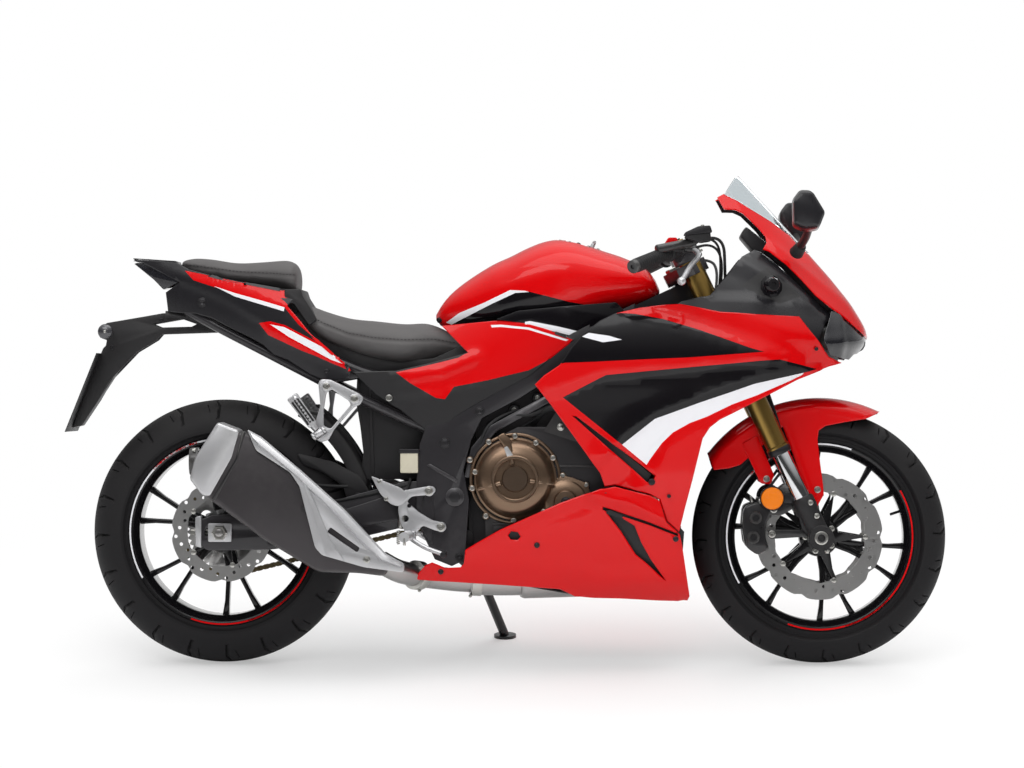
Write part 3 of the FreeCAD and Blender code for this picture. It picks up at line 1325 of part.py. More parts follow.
def floor_centre(shapes):
    """Return the middle of the floor under the shapes."""
    low = [math.inf] * 3
    high = [-math.inf] * 3
    for shape in shapes:
        for point in shape.tessellate(0.2)[0]:
            for axis, value in enumerate((point.x, point.y, point.z)):
                low[axis] = min(low[axis], value)
                high[axis] = max(high[axis], value)
    return vec((low[0] + high[0]) / 2, (low[1] + high[1]) / 2, low[2])


def parked_pieces():
    """Return every piece in its parked place, and the shift that brought it there."""
    pieces = {name: leaned(shape) for name, shape in upright_pieces().items()}
    shift = floor_centre(pieces.values()) * -1
    for shape in pieces.values():
        shape.translate(shift)
    return pieces, shift


def main():
    """Build every piece and write one file for each."""
    os.makedirs("parts", exist_ok=True)
    pieces, shift = parked_pieces()
    for name, shape in pieces.items():
        shape.exportStep(f"parts/{name}.step")
        print(f"{name}: {len(shape.Solids)} solids, {shape.Volume / 1000:.0f} cm3, valid {shape.isValid()}")
    print("floor shift", [round(value, 3) for value in shift])


if __name__ == "__main__":
    main()
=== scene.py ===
"""Looks of a faired sport motorcycle parked on its side stand.

Every piece is drawn upright in millimetres (X forward from the rear axle, Y to the
rider's left, Z up from the ground) and is then parked: scaled to metres, leaned over
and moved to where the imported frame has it.
"""

import itertools
import json
import logging
import math
from dataclasses import dataclass
from enum import Enum
from typing import Callable, Iterable, Sequence

import bmesh
import bpy
from mathutils import Matrix, Vector
from mathutils.geometry import delaunay_2d_cdt

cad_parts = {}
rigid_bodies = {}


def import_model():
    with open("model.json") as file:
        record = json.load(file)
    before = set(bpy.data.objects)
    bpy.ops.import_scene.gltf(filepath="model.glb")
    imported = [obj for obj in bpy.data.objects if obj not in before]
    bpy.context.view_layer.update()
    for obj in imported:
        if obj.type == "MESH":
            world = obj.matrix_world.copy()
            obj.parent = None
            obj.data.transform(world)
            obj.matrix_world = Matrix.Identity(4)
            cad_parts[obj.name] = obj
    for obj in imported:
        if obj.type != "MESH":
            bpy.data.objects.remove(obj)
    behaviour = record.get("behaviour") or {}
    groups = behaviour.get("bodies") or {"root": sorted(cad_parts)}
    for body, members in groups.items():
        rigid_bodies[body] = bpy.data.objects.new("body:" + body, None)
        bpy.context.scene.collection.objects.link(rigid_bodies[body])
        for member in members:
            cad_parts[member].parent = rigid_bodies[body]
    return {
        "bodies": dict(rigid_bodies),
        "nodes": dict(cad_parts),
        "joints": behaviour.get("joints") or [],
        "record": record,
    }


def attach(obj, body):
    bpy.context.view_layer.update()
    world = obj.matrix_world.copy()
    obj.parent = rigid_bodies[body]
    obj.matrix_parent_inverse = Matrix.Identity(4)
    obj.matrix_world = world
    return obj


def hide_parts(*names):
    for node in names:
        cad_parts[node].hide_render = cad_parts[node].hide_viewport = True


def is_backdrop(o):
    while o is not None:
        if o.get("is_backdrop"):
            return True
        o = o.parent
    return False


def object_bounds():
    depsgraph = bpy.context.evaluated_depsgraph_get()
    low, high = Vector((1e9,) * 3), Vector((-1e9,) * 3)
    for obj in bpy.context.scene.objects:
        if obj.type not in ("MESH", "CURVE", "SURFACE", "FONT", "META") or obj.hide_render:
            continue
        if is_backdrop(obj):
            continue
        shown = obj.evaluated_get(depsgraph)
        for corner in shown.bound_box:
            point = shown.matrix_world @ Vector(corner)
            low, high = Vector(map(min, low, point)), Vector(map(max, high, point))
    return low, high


LOG = logging.getLogger("motorcycle")
Point2 = tuple[float, float]
Outline = Sequence[Point2]
Thing = bpy.types.Object

REAR_AXLE = (0.0, 312.0)
FRONT_AXLE = (1410.0, 300.0)
RAKE = math.radians(25.5)
TRAIL = 102.0
LEAN = math.radians(10.0)
FORK_HALF = 100.0
SPOKES = 6
PETAL_DIP = 6.5
STITCH_PITCH = 9.0
CHAIN_PITCH = 15.875
FRONT_SPROCKET = (618.0, 402.0)
CASE_HALF = 146
DUST = (150, 145, 136)
STEER_UP = Vector((-math.sin(RAKE), 0.0, math.cos(RAKE)))
STEER_FRONT = Vector((math.cos(RAKE), 0.0, math.sin(RAKE)))


class Side(Enum):
    """Side of the machine, as the rider has it."""

    RIGHT = -1
    LEFT = 1


def fork_point(height: float, side: Side = Side.RIGHT) -> Vector:
    """Return the point of a fork leg's axis at a height."""
    run = (height - FRONT_AXLE[1]) * math.tan(RAKE)
    return Vector((FRONT_AXLE[0] - run, side.value * FORK_HALF, height))


def smooth(stations: Sequence[Point2], at: float) -> float:
    """Return the value of a smooth curve through stations.

    Args:
        stations: Pairs of place and value, with the places rising.
        at: The place to read.
    Returns:
        The value there; the end values beyond the ends.
    """
    if at <= stations[0][0]:
        return stations[0][1]
    if at >= stations[-1][0]:
        return stations[-1][1]
    last = len(stations) - 1
    slopes = []
    for i in range(last + 1):
        low, high = stations[max(i - 1, 0)], stations[min(i + 1, last)]
        slopes.append((high[1] - low[1]) / (high[0] - low[0]))
    i = max(k for k, s in enumerate(stations) if s[0] <= at)
    (x0, v0), (x1, v1) = stations[i], stations[i + 1]
    span = x1 - x0
    t = (at - x0) / span
    a = (2 * t**3 - 3 * t**2 + 1) * v0 + (t**3 - 2 * t**2 + t) * span * slopes[i]
    return a + (3 * t**2 - 2 * t**3) * v1 + (t**3 - t**2) * span * slopes[i + 1]


def distance_to_line(p: Point2, line: Outline) -> tuple[float, float]:
    """Return the distance from a point to an open line and the side it lies on.

    Args:
        p: The point.
        line: The line's corners.
    Returns:
        The distance and +1 where the point is left of the line, else -1.
    """
    best, side = 1e9, 1.0
    for (ax, ay), (bx, by) in zip(line, line[1:]):
        dx, dy = bx - ax, by - ay
        length = dx * dx + dy * dy or 1e-9
        t = max(0.0, min(1.0, ((p[0] - ax) * dx + (p[1] - ay) * dy) / length))
        d = math.hypot(p[0] - ax - t * dx, p[1] - ay - t * dy)
        if d < best - 1e-6:
            best = d
            side = 1.0 if dx * (p[1] - ay) - dy * (p[0] - ax) >= 0 else -1.0
    return best, side


@dataclass(frozen=True)
class Crease:
    """A raised or sunk line on a panel.

    A step lifts everything left of the line; a ridge lifts what is near it, in a
    rounded form or as a roof with two flat faces.
    """

    line: Outline
    height: float
    width: float = 12.0
    step: bool = False
    roof: bool = False

    def lift(self, p: Point2) -> float:
        """Return how far the panel stands proud at a side view point."""
        d, side = distance_to_line(p, self.line)
        if self.step:
            return self.height * 0.5 * (1 + math.tanh(side * d / self.width * 2))
        if self.roof:
            return self.height * max(0.0, 1 - d / self.width)
        return self.height * math.exp(-((d / self.width) ** 2))


@dataclass(frozen=True)
class Region:
    """A patch of a panel: side view outline and material, or no material for a hole."""

    outline: Outline
    material: str | None


class Skin:
    """A curved surface that side view outlines are laid on."""

    def to_skin(self, x: float, z: float, side: int) -> Point2:
        """Return the flat place of a side view point on one side."""
        return (x, z)

    def point(self, u: float, v: float) -> Vector:
        """Return the upright point of a flat place."""
        return Vector((u, 0.0, v))

    def side_view(self, u: float, v: float) -> Point2:
        """Return the side view place of a flat place, for creases."""
        p = self.point(u, v)
        return (p.x, p.z)


@dataclass(frozen=True)
class BodySkin(Skin):
    """The bodywork's surface: a rounded nose that runs back into flat flanks."""

    nose: float = 300.0
    inset: float = 0.0
    widths: Sequence[Point2] = (
        (140, 74), (170, 118), (220, 158), (300, 186), (440, 209), (600, 226), (710, 235), (790, 226),
        (880, 196), (960, 163), (1060, 118), (1170, 62))
    crest: Sequence[Point2] = (
        (140, 1500), (560, 1500), (700, 1502), (769, 1522), (835, 1494), (899, 1447), (958, 1396),
        (1000, 1359), (1080, 1286), (1170, 1203))

    def to_skin(self, x: float, z: float, side: int) -> Point2:
        """Return distance round the nose and height."""
        t = (smooth(self.crest, z) - x) / self.nose
        turn = math.pi / 2 + (t - 1) if t >= 1 else math.acos(1 - max(t, 0.0))
        return (side * turn * self.nose, z)

    def point(self, u: float, v: float) -> Vector:
        """Return the upright point."""
        half = smooth(self.widths, v) - self.inset
        turn = abs(u) / self.nose
        sign = 1 if u >= 0 else -1
        crest = smooth(self.crest, v) - self.inset
        if turn >= math.pi / 2:
            return Vector((crest - self.nose * (1 + turn - math.pi / 2), sign * half, v))
        return Vector((crest - self.nose * (1 - math.cos(turn)), sign * half * math.sin(turn), v))


@dataclass(frozen=True)
class SaddleSkin(Skin):
    """A crowned tank form through (x, half width, top, bottom) stations."""

    stations: Sequence[tuple[float, float, float, float]] = ()
    crown: float = 2.4
    reach: float = 150.0

    def section(self, x: float) -> tuple[float, float, float]:
        """Return half width, middle height and half height at a place."""
        half = smooth([(s[0], s[1]) for s in self.stations], x)
        top = smooth([(s[0], s[2]) for s in self.stations], x)
        low = smooth([(s[0], s[3]) for s in self.stations], x)
        return half, (top + low) / 2, (top - low) / 2

    def to_skin(self, x: float, z: float, side: int) -> Point2:
        """Return the place along and the distance down from the ridge."""
        _, middle, rise = self.section(x)
        share = max(-1.0, min(1.0, (z - middle) / rise))
        up = math.copysign(abs(share) ** (self.crown / 2), share)
        return (x, side * (math.pi / 2 - math.asin(up)) * self.reach)

    def point(self, u: float, v: float) -> Vector:
        """Return the upright point."""
        half, middle, rise = self.section(u)
        turn = abs(v) / self.reach
        sign = 1 if v >= 0 else -1
        c = math.cos(turn)
        across = half * math.sin(turn) ** (2 / self.crown) if turn < math.pi else 0.0
        return Vector((u, sign * across, middle + rise * math.copysign(abs(c) ** (2 / self.crown), c)))


@dataclass(frozen=True)
class ArchSkin(Skin):
    """A guard that arches over a wheel: angle round the axle and distance from the crown."""

    axle: Point2 = FRONT_AXLE
    radius: float = 328.0
    half: float = 67.0
    drop: float = 26.0

    def to_skin(self, x: float, z: float, side: int) -> Point2:
        """Return the distance round the wheel and down from the crown."""
        dx, dz = x - self.axle[0], z - self.axle[1]
        fall = self.radius - math.hypot(dx, dz)
        turn = math.pi / 2 - math.atan2(dz, dx)
        if fall >= self.drop:
            down = self.half * 1.2 + fall - self.drop
        else:
            down = self.half * 1.2 * math.acos(1 - max(fall, 0.0) / self.drop) / (math.pi / 2)
        return (turn * self.radius, side * down)

    def point(self, u: float, v: float) -> Vector:
        """Return the upright point."""
        arc = self.half * 1.2
        down = abs(v)
        sign = 1 if v >= 0 else -1
        if down >= arc:
            across, radius = self.half, self.radius - self.drop - (down - arc)
        else:
            t = down / arc * math.pi / 2
            across, radius = self.half * math.sin(t), self.radius - self.drop * (1 - math.cos(t))
        turn = math.pi / 2 - u / self.radius
        x = self.axle[0] + radius * math.cos(turn)
        return Vector((x, sign * across, self.axle[1] + radius * math.sin(turn)))


@dataclass(frozen=True)
class PlanSkin(Skin):
    """A wall whose distance from the mid-plane follows the place along the machine."""

    plan: Sequence[Point2] = ()
    heart: Sequence[Point2] = ((0.0, 0.0),)
    roll: float = 0.0
    spread: float = 60.0

    def to_skin(self, x: float, z: float, side: int) -> Point2:
        """Return the side view place itself, pushed far apart for the two sides."""
        return (x, side * (z + 2000.0))

    def point(self, u: float, v: float) -> Vector:
        """Return the upright point."""
        z = abs(v) - 2000.0
        off = (z - smooth(self.heart, u)) / self.spread
        return Vector((u, math.copysign(smooth(self.plan, u) - self.roll * off * off, v), z))


class Bench:
    """The modelling bench: makes shapes upright in millimetres and parks them."""

    def __init__(self, frame: dict) -> None:
        """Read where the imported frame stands.
        """
        self.nodes = frame["nodes"]
        joints = {j["name"]: j for j in frame["joints"]}
        hub = Vector(joints["rear_wheel_spin"]["pos_m"])
        turn = Matrix.Rotation(-LEAN, 4, "X")
        upright_hub = Vector((REAR_AXLE[0], 0.0, REAR_AXLE[1])) * 0.001
        self.parked = Matrix.Translation(hub - turn @ upright_hub) @ turn @ Matrix.Scale(0.001, 4)
        self.finishes: dict[str, bpy.types.Material] = {}
        self.made = 0

    def only(self, obj: Thing) -> Thing:
        """Select one object alone and make it active."""
        bpy.ops.object.select_all(action="DESELECT")
        obj.select_set(True)
        bpy.context.view_layer.objects.active = obj
        return obj

    def raw(self, verts: Iterable, faces: Iterable = (), edges: Iterable = ()) -> Thing:
        """Return a new object from points and faces."""
        mesh = bpy.data.meshes.new("draft")
        mesh.from_pydata([tuple(v) for v in verts], list(edges), list(faces))
        obj = bpy.data.objects.new("draft", mesh)
        bpy.context.scene.collection.objects.link(obj)
        return self.only(obj)

    def edit(self, obj: Thing) -> None:
        """Open an object in edit mode with everything selected."""
        self.only(obj)
        bpy.ops.object.mode_set(mode="EDIT")
        bpy.ops.mesh.select_all(action="SELECT")

    def close(self, outward: bool = True, merge: float = 0.01) -> None:
        """Merge doubles, turn the faces outward and leave edit mode."""
        bpy.ops.mesh.select_all(action="SELECT")
        bpy.ops.mesh.remove_doubles(threshold=merge)
        if outward:
            bpy.ops.mesh.normals_make_consistent(inside=False)
        bpy.ops.object.mode_set(mode="OBJECT")

    def modify(self, obj: Thing, kind: str, **values: object) -> Thing:
        """Add a modifier with values and apply it."""
        self.only(obj)
        modifier = obj.modifiers.new(kind.title(), kind)
        for key, value in values.items():
            setattr(modifier, key, value)
        bpy.ops.object.modifier_apply(modifier=modifier.name)
        return obj

    def bevel(self, obj: Thing, width: float, segments: int = 2, angle: float = 35.0) -> Thing:
        """Round an object's sharp edges."""
        return self.modify(obj, "BEVEL", width=width, segments=segments, limit_method="ANGLE",
                           angle_limit=math.radians(angle), harden_normals=False)

    def plate(self, outline: Outline, y0: float, y1: float, bevel: float = 1.2,
              holes: Sequence[Outline] = ()) -> Thing:
        """Return a side view outline extruded across the machine.

        Args:
            outline: Corners in side view.
            y0: Where it starts across.
            y1: Where it ends across.
            bevel: Rounding of its edges, 0 for none.
            holes: Outlines of windows through it.
        """
        if holes:
            verts, faces = triangulate([(outline, 0), *[(hole, None) for hole in holes]], 1e9)
            flat = self.raw([(x, y0, z) for x, z in verts], [f for f, _ in faces])
        else:
            flat = self.raw([(x, y0, z) for x, z in outline], [tuple(range(len(outline)))])
        self.edit(flat)
        bpy.ops.mesh.extrude_region_move(TRANSFORM_OT_translate={"value": (0, y1 - y0, 0)})
        self.close()
        if holes:
            self.edit(flat)
            bpy.ops.mesh.dissolve_limited(angle_limit=math.radians(1))
            self.close()
        return self.bevel(flat, bevel) if bevel else flat

    def pane(self, corners: Iterable, through: Sequence[float]) -> Thing:
        """Return a flat pane through corners, extruded by a vector."""
        obj = self.raw(corners)
        self.edit(obj)
        bpy.ops.mesh.edge_face_add()
        bpy.ops.mesh.extrude_region_move(TRANSFORM_OT_translate={"value": tuple(through)})
        self.close()
        return obj

    def lathe(self, profile: Sequence[Point2], place: Point2, steps: int = 64, y: float = 0.0) -> Thing:
        """Spin a (radius, across) profile about a cross axis through a side view place."""
        count = len(profile)
        obj = self.raw([(0, a + y, r) for r, a in profile], (), [(i, i + 1) for i in range(count - 1)])
        self.edit(obj)
        bpy.ops.mesh.spin(steps=steps, angle=math.tau, center=(0, 0, 0), axis=(0, 1, 0))
        self.close(merge=0.02)
        return self.move(obj, Matrix.Translation((place[0], 0, place[1])))

    def turned(self, profile: Sequence[Point2], start: Vector, end: Vector, steps: int = 32) -> Thing:
        """Spin a (radius, share of the way) profile about the line from start to end."""
        run = Vector(end) - Vector(start)
        obj = self.lathe([(r, s * run.length) for r, s in profile], (0, 0), steps)
        turn = Vector((0, 1, 0)).rotation_difference(run.normalized()).to_matrix().to_4x4()
        return self.move(obj, Matrix.Translation(Vector(start)) @ turn)

    def bar(self, start: Sequence[float], end: Sequence[float], r0: float, r1: float | None = None,
            round_by: float = 1.0, steps: int = 28) -> Thing:
        """Return a closed round bar with softened ends, its second end r1 in radius."""
        r1 = r0 if r1 is None else r1
        length = (Vector(end) - Vector(start)).length
        e = min(round_by, r0 * 0.9, length * 0.45) / length
        k = e * length
        profile = [(0, 0), (r0 - k, 0), (r0 - k * 0.3, e * 0.3), (r0, e), (r1, 1 - e),
                   (r1 - k * 0.3, 1 - e * 0.3), (max(r1 - k, 0.01), 1), (0, 1)]
        return self.turned(profile, Vector(start), Vector(end), steps)

    def tube(self, points: Sequence[Sequence[float]], radius: float, rings: int = 4) -> Thing:
        """Return a round tube along a smooth line, with closed ends."""
        curve = bpy.data.curves.new("line", "CURVE")
        curve.dimensions = "3D"
        curve.bevel_depth = radius
        curve.bevel_resolution = rings
        curve.use_fill_caps = True
        spline = curve.splines.new("NURBS")
        spline.points.add(len(points) - 1)
        for target, point in zip(spline.points, points):
            target.co = (*point, 1.0)
        spline.order_u = min(3, len(points))
        spline.use_endpoint_u = True
        spline.resolution_u = 8
        obj = bpy.data.objects.new("line", curve)
        bpy.context.scene.collection.objects.link(obj)
        self.only(obj)
        bpy.ops.object.convert(target="MESH")
        return bpy.context.view_layer.objects.active

    def copy_node(self, node: str, bevel: float = 0.0,
                  keep: Callable[[Vector], bool] | None = None) -> Thing:
        """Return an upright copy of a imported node, merged, cleaned and rounded."""
        obj = bpy.data.objects.new("draft", self.nodes[node].data.copy())
        bpy.context.scene.collection.objects.link(obj)
        obj.data.materials.clear()
        self.move(obj, self.parked.inverted())
        self.edit(obj)
        bpy.ops.mesh.remove_doubles(threshold=0.02)
        bpy.ops.mesh.dissolve_limited(angle_limit=math.radians(2))
        self.close(outward=False)
        if keep is not None:
            self.edit(obj)
            mesh = bmesh.from_edit_mesh(obj.data)
            gone = [v for v in mesh.verts if not keep(v.co)]
            bmesh.ops.delete(mesh, geom=gone, context="VERTS")
            bmesh.update_edit_mesh(obj.data)
            bpy.ops.object.mode_set(mode="OBJECT")
        return self.bevel(obj, bevel) if bevel else obj

    def move(self, obj: Thing, matrix: Matrix) -> Thing:
        """Move an object's mesh by a matrix, turning faces back where it mirrors."""
        obj.data.transform(matrix)
        if matrix.determinant() < 0:
            obj.data.flip_normals()
        obj.data.update()
        return obj

    def again(self, obj: Thing, matrix: Matrix) -> Thing:
        """Return a moved copy of an object with its own mesh."""
        twin = bpy.data.objects.new(obj.name, obj.data.copy())
        bpy.context.scene.collection.objects.link(twin)
        return self.move(twin, matrix)

    def mirrored(self, obj: Thing) -> Thing:
        """Return a reflected copy for the other side of the machine."""
        return self.again(obj, Matrix.Scale(-1, 4, (0, 1, 0)))

    def both_sides(self, parts: Sequence[Thing]) -> list[Thing]:
        """Return parts and their reflections."""
        return [*parts, *[self.mirrored(p) for p in parts]]

    def around(self, obj: Thing, count: int) -> list[Thing]:
        """Return an object and its copies spread round the cross axis."""
        turns = [Matrix.Rotation(math.tau * i / count, 4, "Y") for i in range(1, count)]
        return [obj, *[self.again(obj, turn) for turn in turns]]

    def paint(self, obj: Thing, finish: str) -> Thing:
        """Give a whole object one finish."""
        obj.data.materials.clear()
        obj.data.materials.append(self.finishes[finish])
        for face in obj.data.polygons:
            face.material_index = 0
        return obj

    def joined(self, parts: Sequence[Thing]) -> Thing:
        """Join objects into one and keep their finishes."""
        bpy.ops.object.select_all(action="DESELECT")
        for part in parts:
            part.select_set(True)
        bpy.context.view_layer.objects.active = parts[0]
        if len(parts) > 1:
            bpy.ops.object.join()
        return bpy.context.view_layer.objects.active

    def park(self, name: str, parts: Sequence[Thing] | Thing, body: str,
             replaces: Sequence[str] = (), angle: float = 32.0) -> Thing:
        """Join the parts of a piece, shade it, park it and make it ride on a body.

        Args:
            name: The piece's name.
            parts: Its objects, upright and painted.
            body: The body that it moves with.
            replaces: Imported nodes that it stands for.
            angle: Faces that meet under this many degrees are shaded smooth.
        """
        obj = self.joined(parts if isinstance(parts, (list, tuple)) else [parts])
        obj.name = name
        obj.data.name = name
        self.only(obj)
        bpy.ops.object.shade_smooth_by_angle(angle=math.radians(angle))
        self.move(obj, self.parked)
        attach(obj, body)
        if replaces:
            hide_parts(*replaces)
        self.made += 1
        LOG.info("%-26s %6d faces on %s", name, len(obj.data.polygons), body)
        return obj

    def sheet(self, skin: Skin, regions: Sequence[Region], step: float, wall: float,
              creases: Sequence[Crease] = (), sides: Sequence[int] = (-1, 1),
              roll: float = 1.2, outward: float = 0.0) -> Thing:
        """Return a panel laid on a skin, coloured by region, with a wall and a rolled edge.

        Args:
            skin: The surface that carries it.
            regions: The panel's outline first, then what is painted or cut on it.
            step: Spacing of its inner points.
            wall: Thickness, laid inward.
            creases: Lines that stand proud or are sunk.
            sides: Which sides get it.
            roll: How far its edge turns inward.
            outward: How far the whole panel stands off the skin.
        """
        flat: list[tuple[list[Point2], int | None]] = []
        materials = list(dict.fromkeys(r.material for r in regions if r.material))
        for region in regions:
            index = materials.index(region.material) if region.material else None
            near = [skin.to_skin(x, z, -1) for x, z in dense(region.outline, step)]
            far = [skin.to_skin(x, z, 1) for x, z in dense(region.outline, step)]
            if -1 in sides:
                flat.append((near, index))
            if 1 in sides:
                flat.append((far, index))
        base = len(sides)
        verts, faces = triangulate(flat, step, base)
        points = []
        for u, v in verts:
            place = skin.point(u, v)
            lift = outward + sum(c.lift(skin.side_view(u, v)) for c in creases)
            if lift:
                e = 0.5
                along = skin.point(u + e, v) - skin.point(u - e, v)
                down = skin.point(u, v + e) - skin.point(u, v - e)
                normal = along.cross(down)
                if normal.length > 1e-9:
                    normal.normalize()
                    centre = Vector((place.x - 200.0 * (1 if abs(place.y) < 30 else 0), 0, place.z - 40))
                    if normal.dot(place - centre) < 0:
                        normal.negate()
                    place = place + normal * lift
            points.append(place)
        obj = self.raw(points, [f for f, _ in faces])
        for name in materials:
            obj.data.materials.append(self.finishes[name])
        for face, (_, index) in zip(obj.data.polygons, faces):
            face.material_index = index
        self.edit(obj)
        self.close(outward=True, merge=0.05)
        out = [f.center - Vector((f.center.x * 0.8 + 140, 0, f.center.z - 30)) for f in obj.data.polygons]
        if sum(way.dot(f.normal) * f.area for way, f in zip(out, obj.data.polygons)) < 0:
            obj.data.flip_normals()
        if roll:
            self.roll_edge(obj, roll)
        if materials[0] != "red_paint":
            return self.modify(obj, "SOLIDIFY", thickness=wall, offset=-1.0, use_even_offset=False)
        obj.data.materials.append(self.finishes["black_plastic"])
        return self.modify(obj, "SOLIDIFY", thickness=wall, offset=-1.0, use_even_offset=False,
                           material_offset=len(materials), material_offset_rim=0)

    def roll_edge(self, obj: Thing, roll: float) -> None:
        """Turn the open edge of a sheet inward a little, so that it catches light."""
        self.edit(obj)
        mesh = bmesh.from_edit_mesh(obj.data)
        mesh.normal_update()
        bmesh.ops.inset_region(mesh, faces=mesh.faces[:], thickness=roll * 1.5, use_boundary=True,
                               use_even_offset=False)
        mesh.normal_update()
        for vert in mesh.verts:
            if vert.is_boundary:
                vert.co -= vert.normal * roll
        bmesh.update_edit_mesh(obj.data)
        bpy.ops.object.mode_set(mode="OBJECT")


def dense(outline: Outline, step: float) -> list[Point2]:
    """Return a closed outline with points no further apart than a step."""
    points: list[Point2] = []
    for (ax, az), (bx, bz) in zip(outline, [*outline[1:], outline[0]]):
        count = max(1, math.ceil(math.hypot(bx - ax, bz - az) / step))
        points += [(ax + (bx - ax) * i / count, az + (bz - az) * i / count) for i in range(count)]
    return points


def rounded(outline: Outline, radius: float, steps: int = 4) -> list[Point2]:
    """Return a closed outline with its corners rounded."""
    made: list[Point2] = []
    count = len(outline)
    for i in range(count):
        p, c, n = (Vector(outline[(i + k) % count]) for k in (-1, 0, 1))
        reach = min(radius, (p - c).length * 0.48, (n - c).length * 0.48)
        a, b = c + (p - c).normalized() * reach, c + (n - c).normalized() * reach
        for k in range(steps + 1):
            t = k / steps
            q = a * (1 - t) ** 2 + c * 2 * t * (1 - t) + b * t * t
            made.append((q.x, q.y))
    return made


def wavy(count: int, reach: Callable[[float], float]) -> list[Point2]:
    """Return an outline about the origin: how far it reaches at each of count turns."""
    turns = [math.tau * k / count for k in range(count)]
    return [(r * math.cos(t), r * math.sin(t)) for t, r in [(t, reach(t)) for t in turns]]


def circle(place: Point2, radius: float, count: int = 24) -> list[Point2]:
    """Return a round outline."""
    return [(place[0] + x, place[1] + z) for x, z in wavy(count, lambda _: radius)]


def ribs(count: int, first: float, pitch: float, top: float, floor: float,
         edges: Sequence[float]) -> list[Point2]:
    """Return the profile of a ribbed sleeve: radius and share of the way.

    Args:
        count: How many ribs.
        first: Where the first one starts.
        pitch: From one rib to the next.
        top: Radius of a rib.
        floor: Radius of a groove.
        edges: From a rib's start to its end, and to the start and end of its groove.
    """
    made: list[Point2] = []
    for k in range(count):
        s = first + k * pitch
        made += [(top, s), *[(r, s + e) for r, e in zip((top, floor, floor), edges)]]
    return made


def inside(p: Point2, outline: Outline) -> bool:
    """Return whether a point lies inside a closed outline."""
    hit = False
    j = len(outline) - 1
    for i in range(len(outline)):
        (xi, yi), (xj, yj) = outline[i], outline[j]
        if (yi > p[1]) != (yj > p[1]) and p[0] < (xj - xi) * (p[1] - yi) / (yj - yi) + xi:
            hit = not hit
        j = i
    return hit


def triangulate(outlines: Sequence[tuple[Outline, int | None]], step: float,
                base: int = 1) -> tuple[list[Point2], list[tuple[tuple, int]]]:
    """Fill outlines with triangles and tell which region each belongs to.

    Args:
        outlines: Closed outlines and their marks; later ones lie over earlier ones.
        step: Spacing of the inner points.
        base: How many of the first outlines bound the whole.
    Returns:
        The points, and the triangles with their marks; those marked None are left out.
    """
    verts: list[Vector] = []
    loops: list[list[int]] = []
    for outline, _ in outlines:
        loop = list(range(len(verts), len(verts) + len(outline)))
        area = sum(a[0] * b[1] - b[0] * a[1] for a, b in zip(outline, [*outline[1:], outline[0]]))
        loops.append(loop if area > 0 else loop[::-1])
        verts += [Vector(p) for p in outline]
    edge_points = [tuple(v) for v in verts]
    cells: dict[tuple[int, int], list[Point2]] = {}
    for p in edge_points:
        cells.setdefault((int(p[0] // step), int(p[1] // step)), []).append(p)
    for k in range(base):
        outline = outlines[k][0]
        xs, ys = [p[0] for p in outline], [p[1] for p in outline]
        rows = range(int(min(ys) // step), int(max(ys) // step) + 1)
        for j in rows if step < 1e8 else ():
            for i in range(int(min(xs) // step), int(max(xs) // step) + 1):
                p = ((i + 0.5 + 0.5 * (j % 2) - 0.25) * step, (j + 0.5) * step)
                home = (int(p[0] // step), int(p[1] // step))
                near = [q for a in (-1, 0, 1) for b in (-1, 0, 1)
                        for q in cells.get((home[0] + a, home[1] + b), ())]
                if all((p[0] - q[0]) ** 2 + (p[1] - q[1]) ** 2 > (step * 0.55) ** 2 for q in near):
                    if inside(p, outline):
                        verts.append(Vector(p))
    points, _, faces, _, _, sources = delaunay_2d_cdt(verts, [], loops, 1, 0.01, True)
    kept = []
    for face, source in zip(faces, sources):
        if not source or min(source) >= base:
            continue
        mark = outlines[max(source)][1]
        if mark is not None:
            kept.append((tuple(face), mark))
    return [tuple(p) for p in points], kept


class Relief(Enum):
    """Kinds of fine surface, each one shader group."""

    PAINT = "orange_peel"
    GRAIN = "moulded_grain"
    LEATHER = "leather_grain"
    CAST = "cast_skin"
    BRUSHED = "brushed_streaks"
    RUBBER = "rubber_skin"
    PRISMS = "lens_prisms"


@dataclass(frozen=True)
class Finish:
    """One surface finish: its colour as seen, its gloss and its fine relief."""

    name: str
    colour: tuple[int, int, int]
    rough: float
    relief: Relief
    scale: float
    bump: float
    vary: float = 0.08
    metal: float = 0.0
    coat: float = 0.0
    # Lighter colour on sharp edges: partly edge wear, partly a painted highlight that brings the edges out.
    worn_and_highlight_colour: tuple[int, int, int] | None = None
    glass: float = 0.0
    index: float = 1.45
    dust: float = 0.0
    shine: float = 0.5


